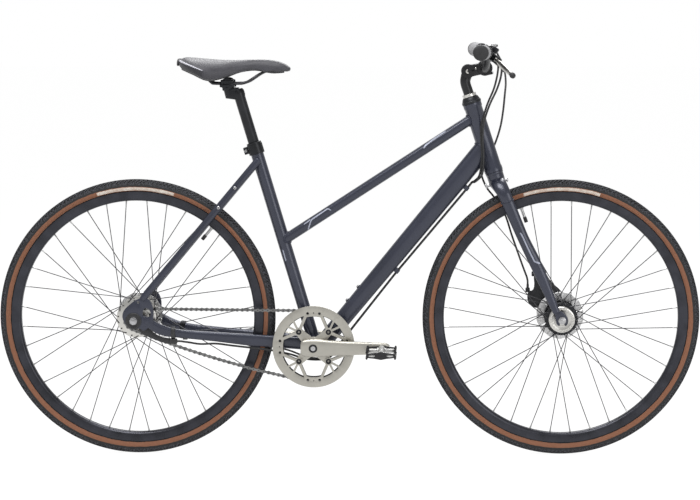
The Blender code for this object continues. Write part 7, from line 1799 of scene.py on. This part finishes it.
for name, start, tip, body, cam in (
    ("rear", REAR_STOP, REAR_CAM[1], "frame", "rear_cam"),
    ("front", FRONT_STOP, FRONT_CAM[1], "steering", "front_cam"),
):
    tip = tip + SIDE * 0.0026
    mesh = bmesh.new()
    rows = [start.lerp(tip, step / 12) for step in range(13)]
    loft(mesh, along([(*row, 0.0008, 0.0008) for row in rows]), 8)
    wire = piece(f"{name}_brake_wire", mesh, wire_steel, None, "steel")
    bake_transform(wire)

# Accents: narrow silver-grey lines of paint, sprayed on the tubes and the fork blades through a mask,
# the same on both sides of the bicycle.

accent = Finish("accent_silver", (0.36, 0.38, 0.46), 0.4, 0.4)
accent.worn(0.05, 30.0, 0.08)


def accent_line(name, body, skin, line, width, side):
    """Film of paint along (x, z) points on the skin, as it is met from this side."""
    tree = surface(bpy.data.objects[skin])
    mesh = bmesh.new()
    points = smooth(line, 8)
    pairs = []
    for i, point in enumerate(points):
        way = (points[min(i + 1, len(points) - 1)] - points[max(i - 1, 0)]).normalized()
        taper = min(1, i / 3 + 0.3, (len(points) - 1 - i) / 3 + 0.3)
        pair = []
        for across in (-1, -0.33, 0.33, 1):
            x, z = point + Vector((-way.y, way.x)) * (width / 2 * across * taper)
            pair.append(tree.ray_cast(Vector((x, side * 0.3, z)), SIDE * -side)[:2])
        if all(hit for hit, _ in pair):
            pairs.append([(mesh.verts.new(hit + normal * 0.00025), mesh.verts.new(hit - normal * 0.0006))
                          for hit, normal in pair])
    for before, after in zip(pairs, pairs[1:]):
        for k in range(3):
            mesh.faces.new([before[k][0], before[k + 1][0], after[k + 1][0], after[k][0]])
            mesh.faces.new([before[k][1], after[k][1], after[k + 1][1], before[k + 1][1]])
        for k in (0, 3):
            mesh.faces.new([before[k][0], after[k][0], after[k][1], before[k][1]])
    for pair in (pairs[0], pairs[-1]):
        for k in range(3):
            mesh.faces.new([pair[k][0], pair[k][1], pair[k + 1][1], pair[k + 1][0]])
    piece(name, mesh, accent, body, "silver")


# (name, the skin it lies on, its width, its points)
ACCENTS = (
    ("top_tube_accent", "top_tube_skin", 0.003,
     mm((-101, 566), (-96.5, 580), (-92.5, 590.5), (-82, 599), (-64, 611), (-52, 619), (-43, 615.5))),
    ("top_tube_branch", "top_tube_skin", 0.0022, mm((-111, 580), (-103, 586), (-94.5, 592.5))),
    ("top_tube_end_accent", "top_tube_skin", 0.0034,
     mm((187, 770), (193.5, 779), (212, 793), (242, 813))),
    ("seat_tube_accent", "seat_tube_skin", 0.003, mm((-164, 517), (-160, 502), (-156, 488))),
)
FORK_ACCENT = mm((424.5, 565), (430, 557), (445, 525), (459, 497), (464, 492.5), (475, 488.5))
for name, side in SIDES:
    accent_line(f"fork_accent_{name}", "steering", f"fork_blade_{name}_skin", FORK_ACCENT, 0.0036, side)
    for line_name, skin, width, line in ACCENTS:
        accent_line(f"{line_name}_{name}", "frame", skin, line, width, side)
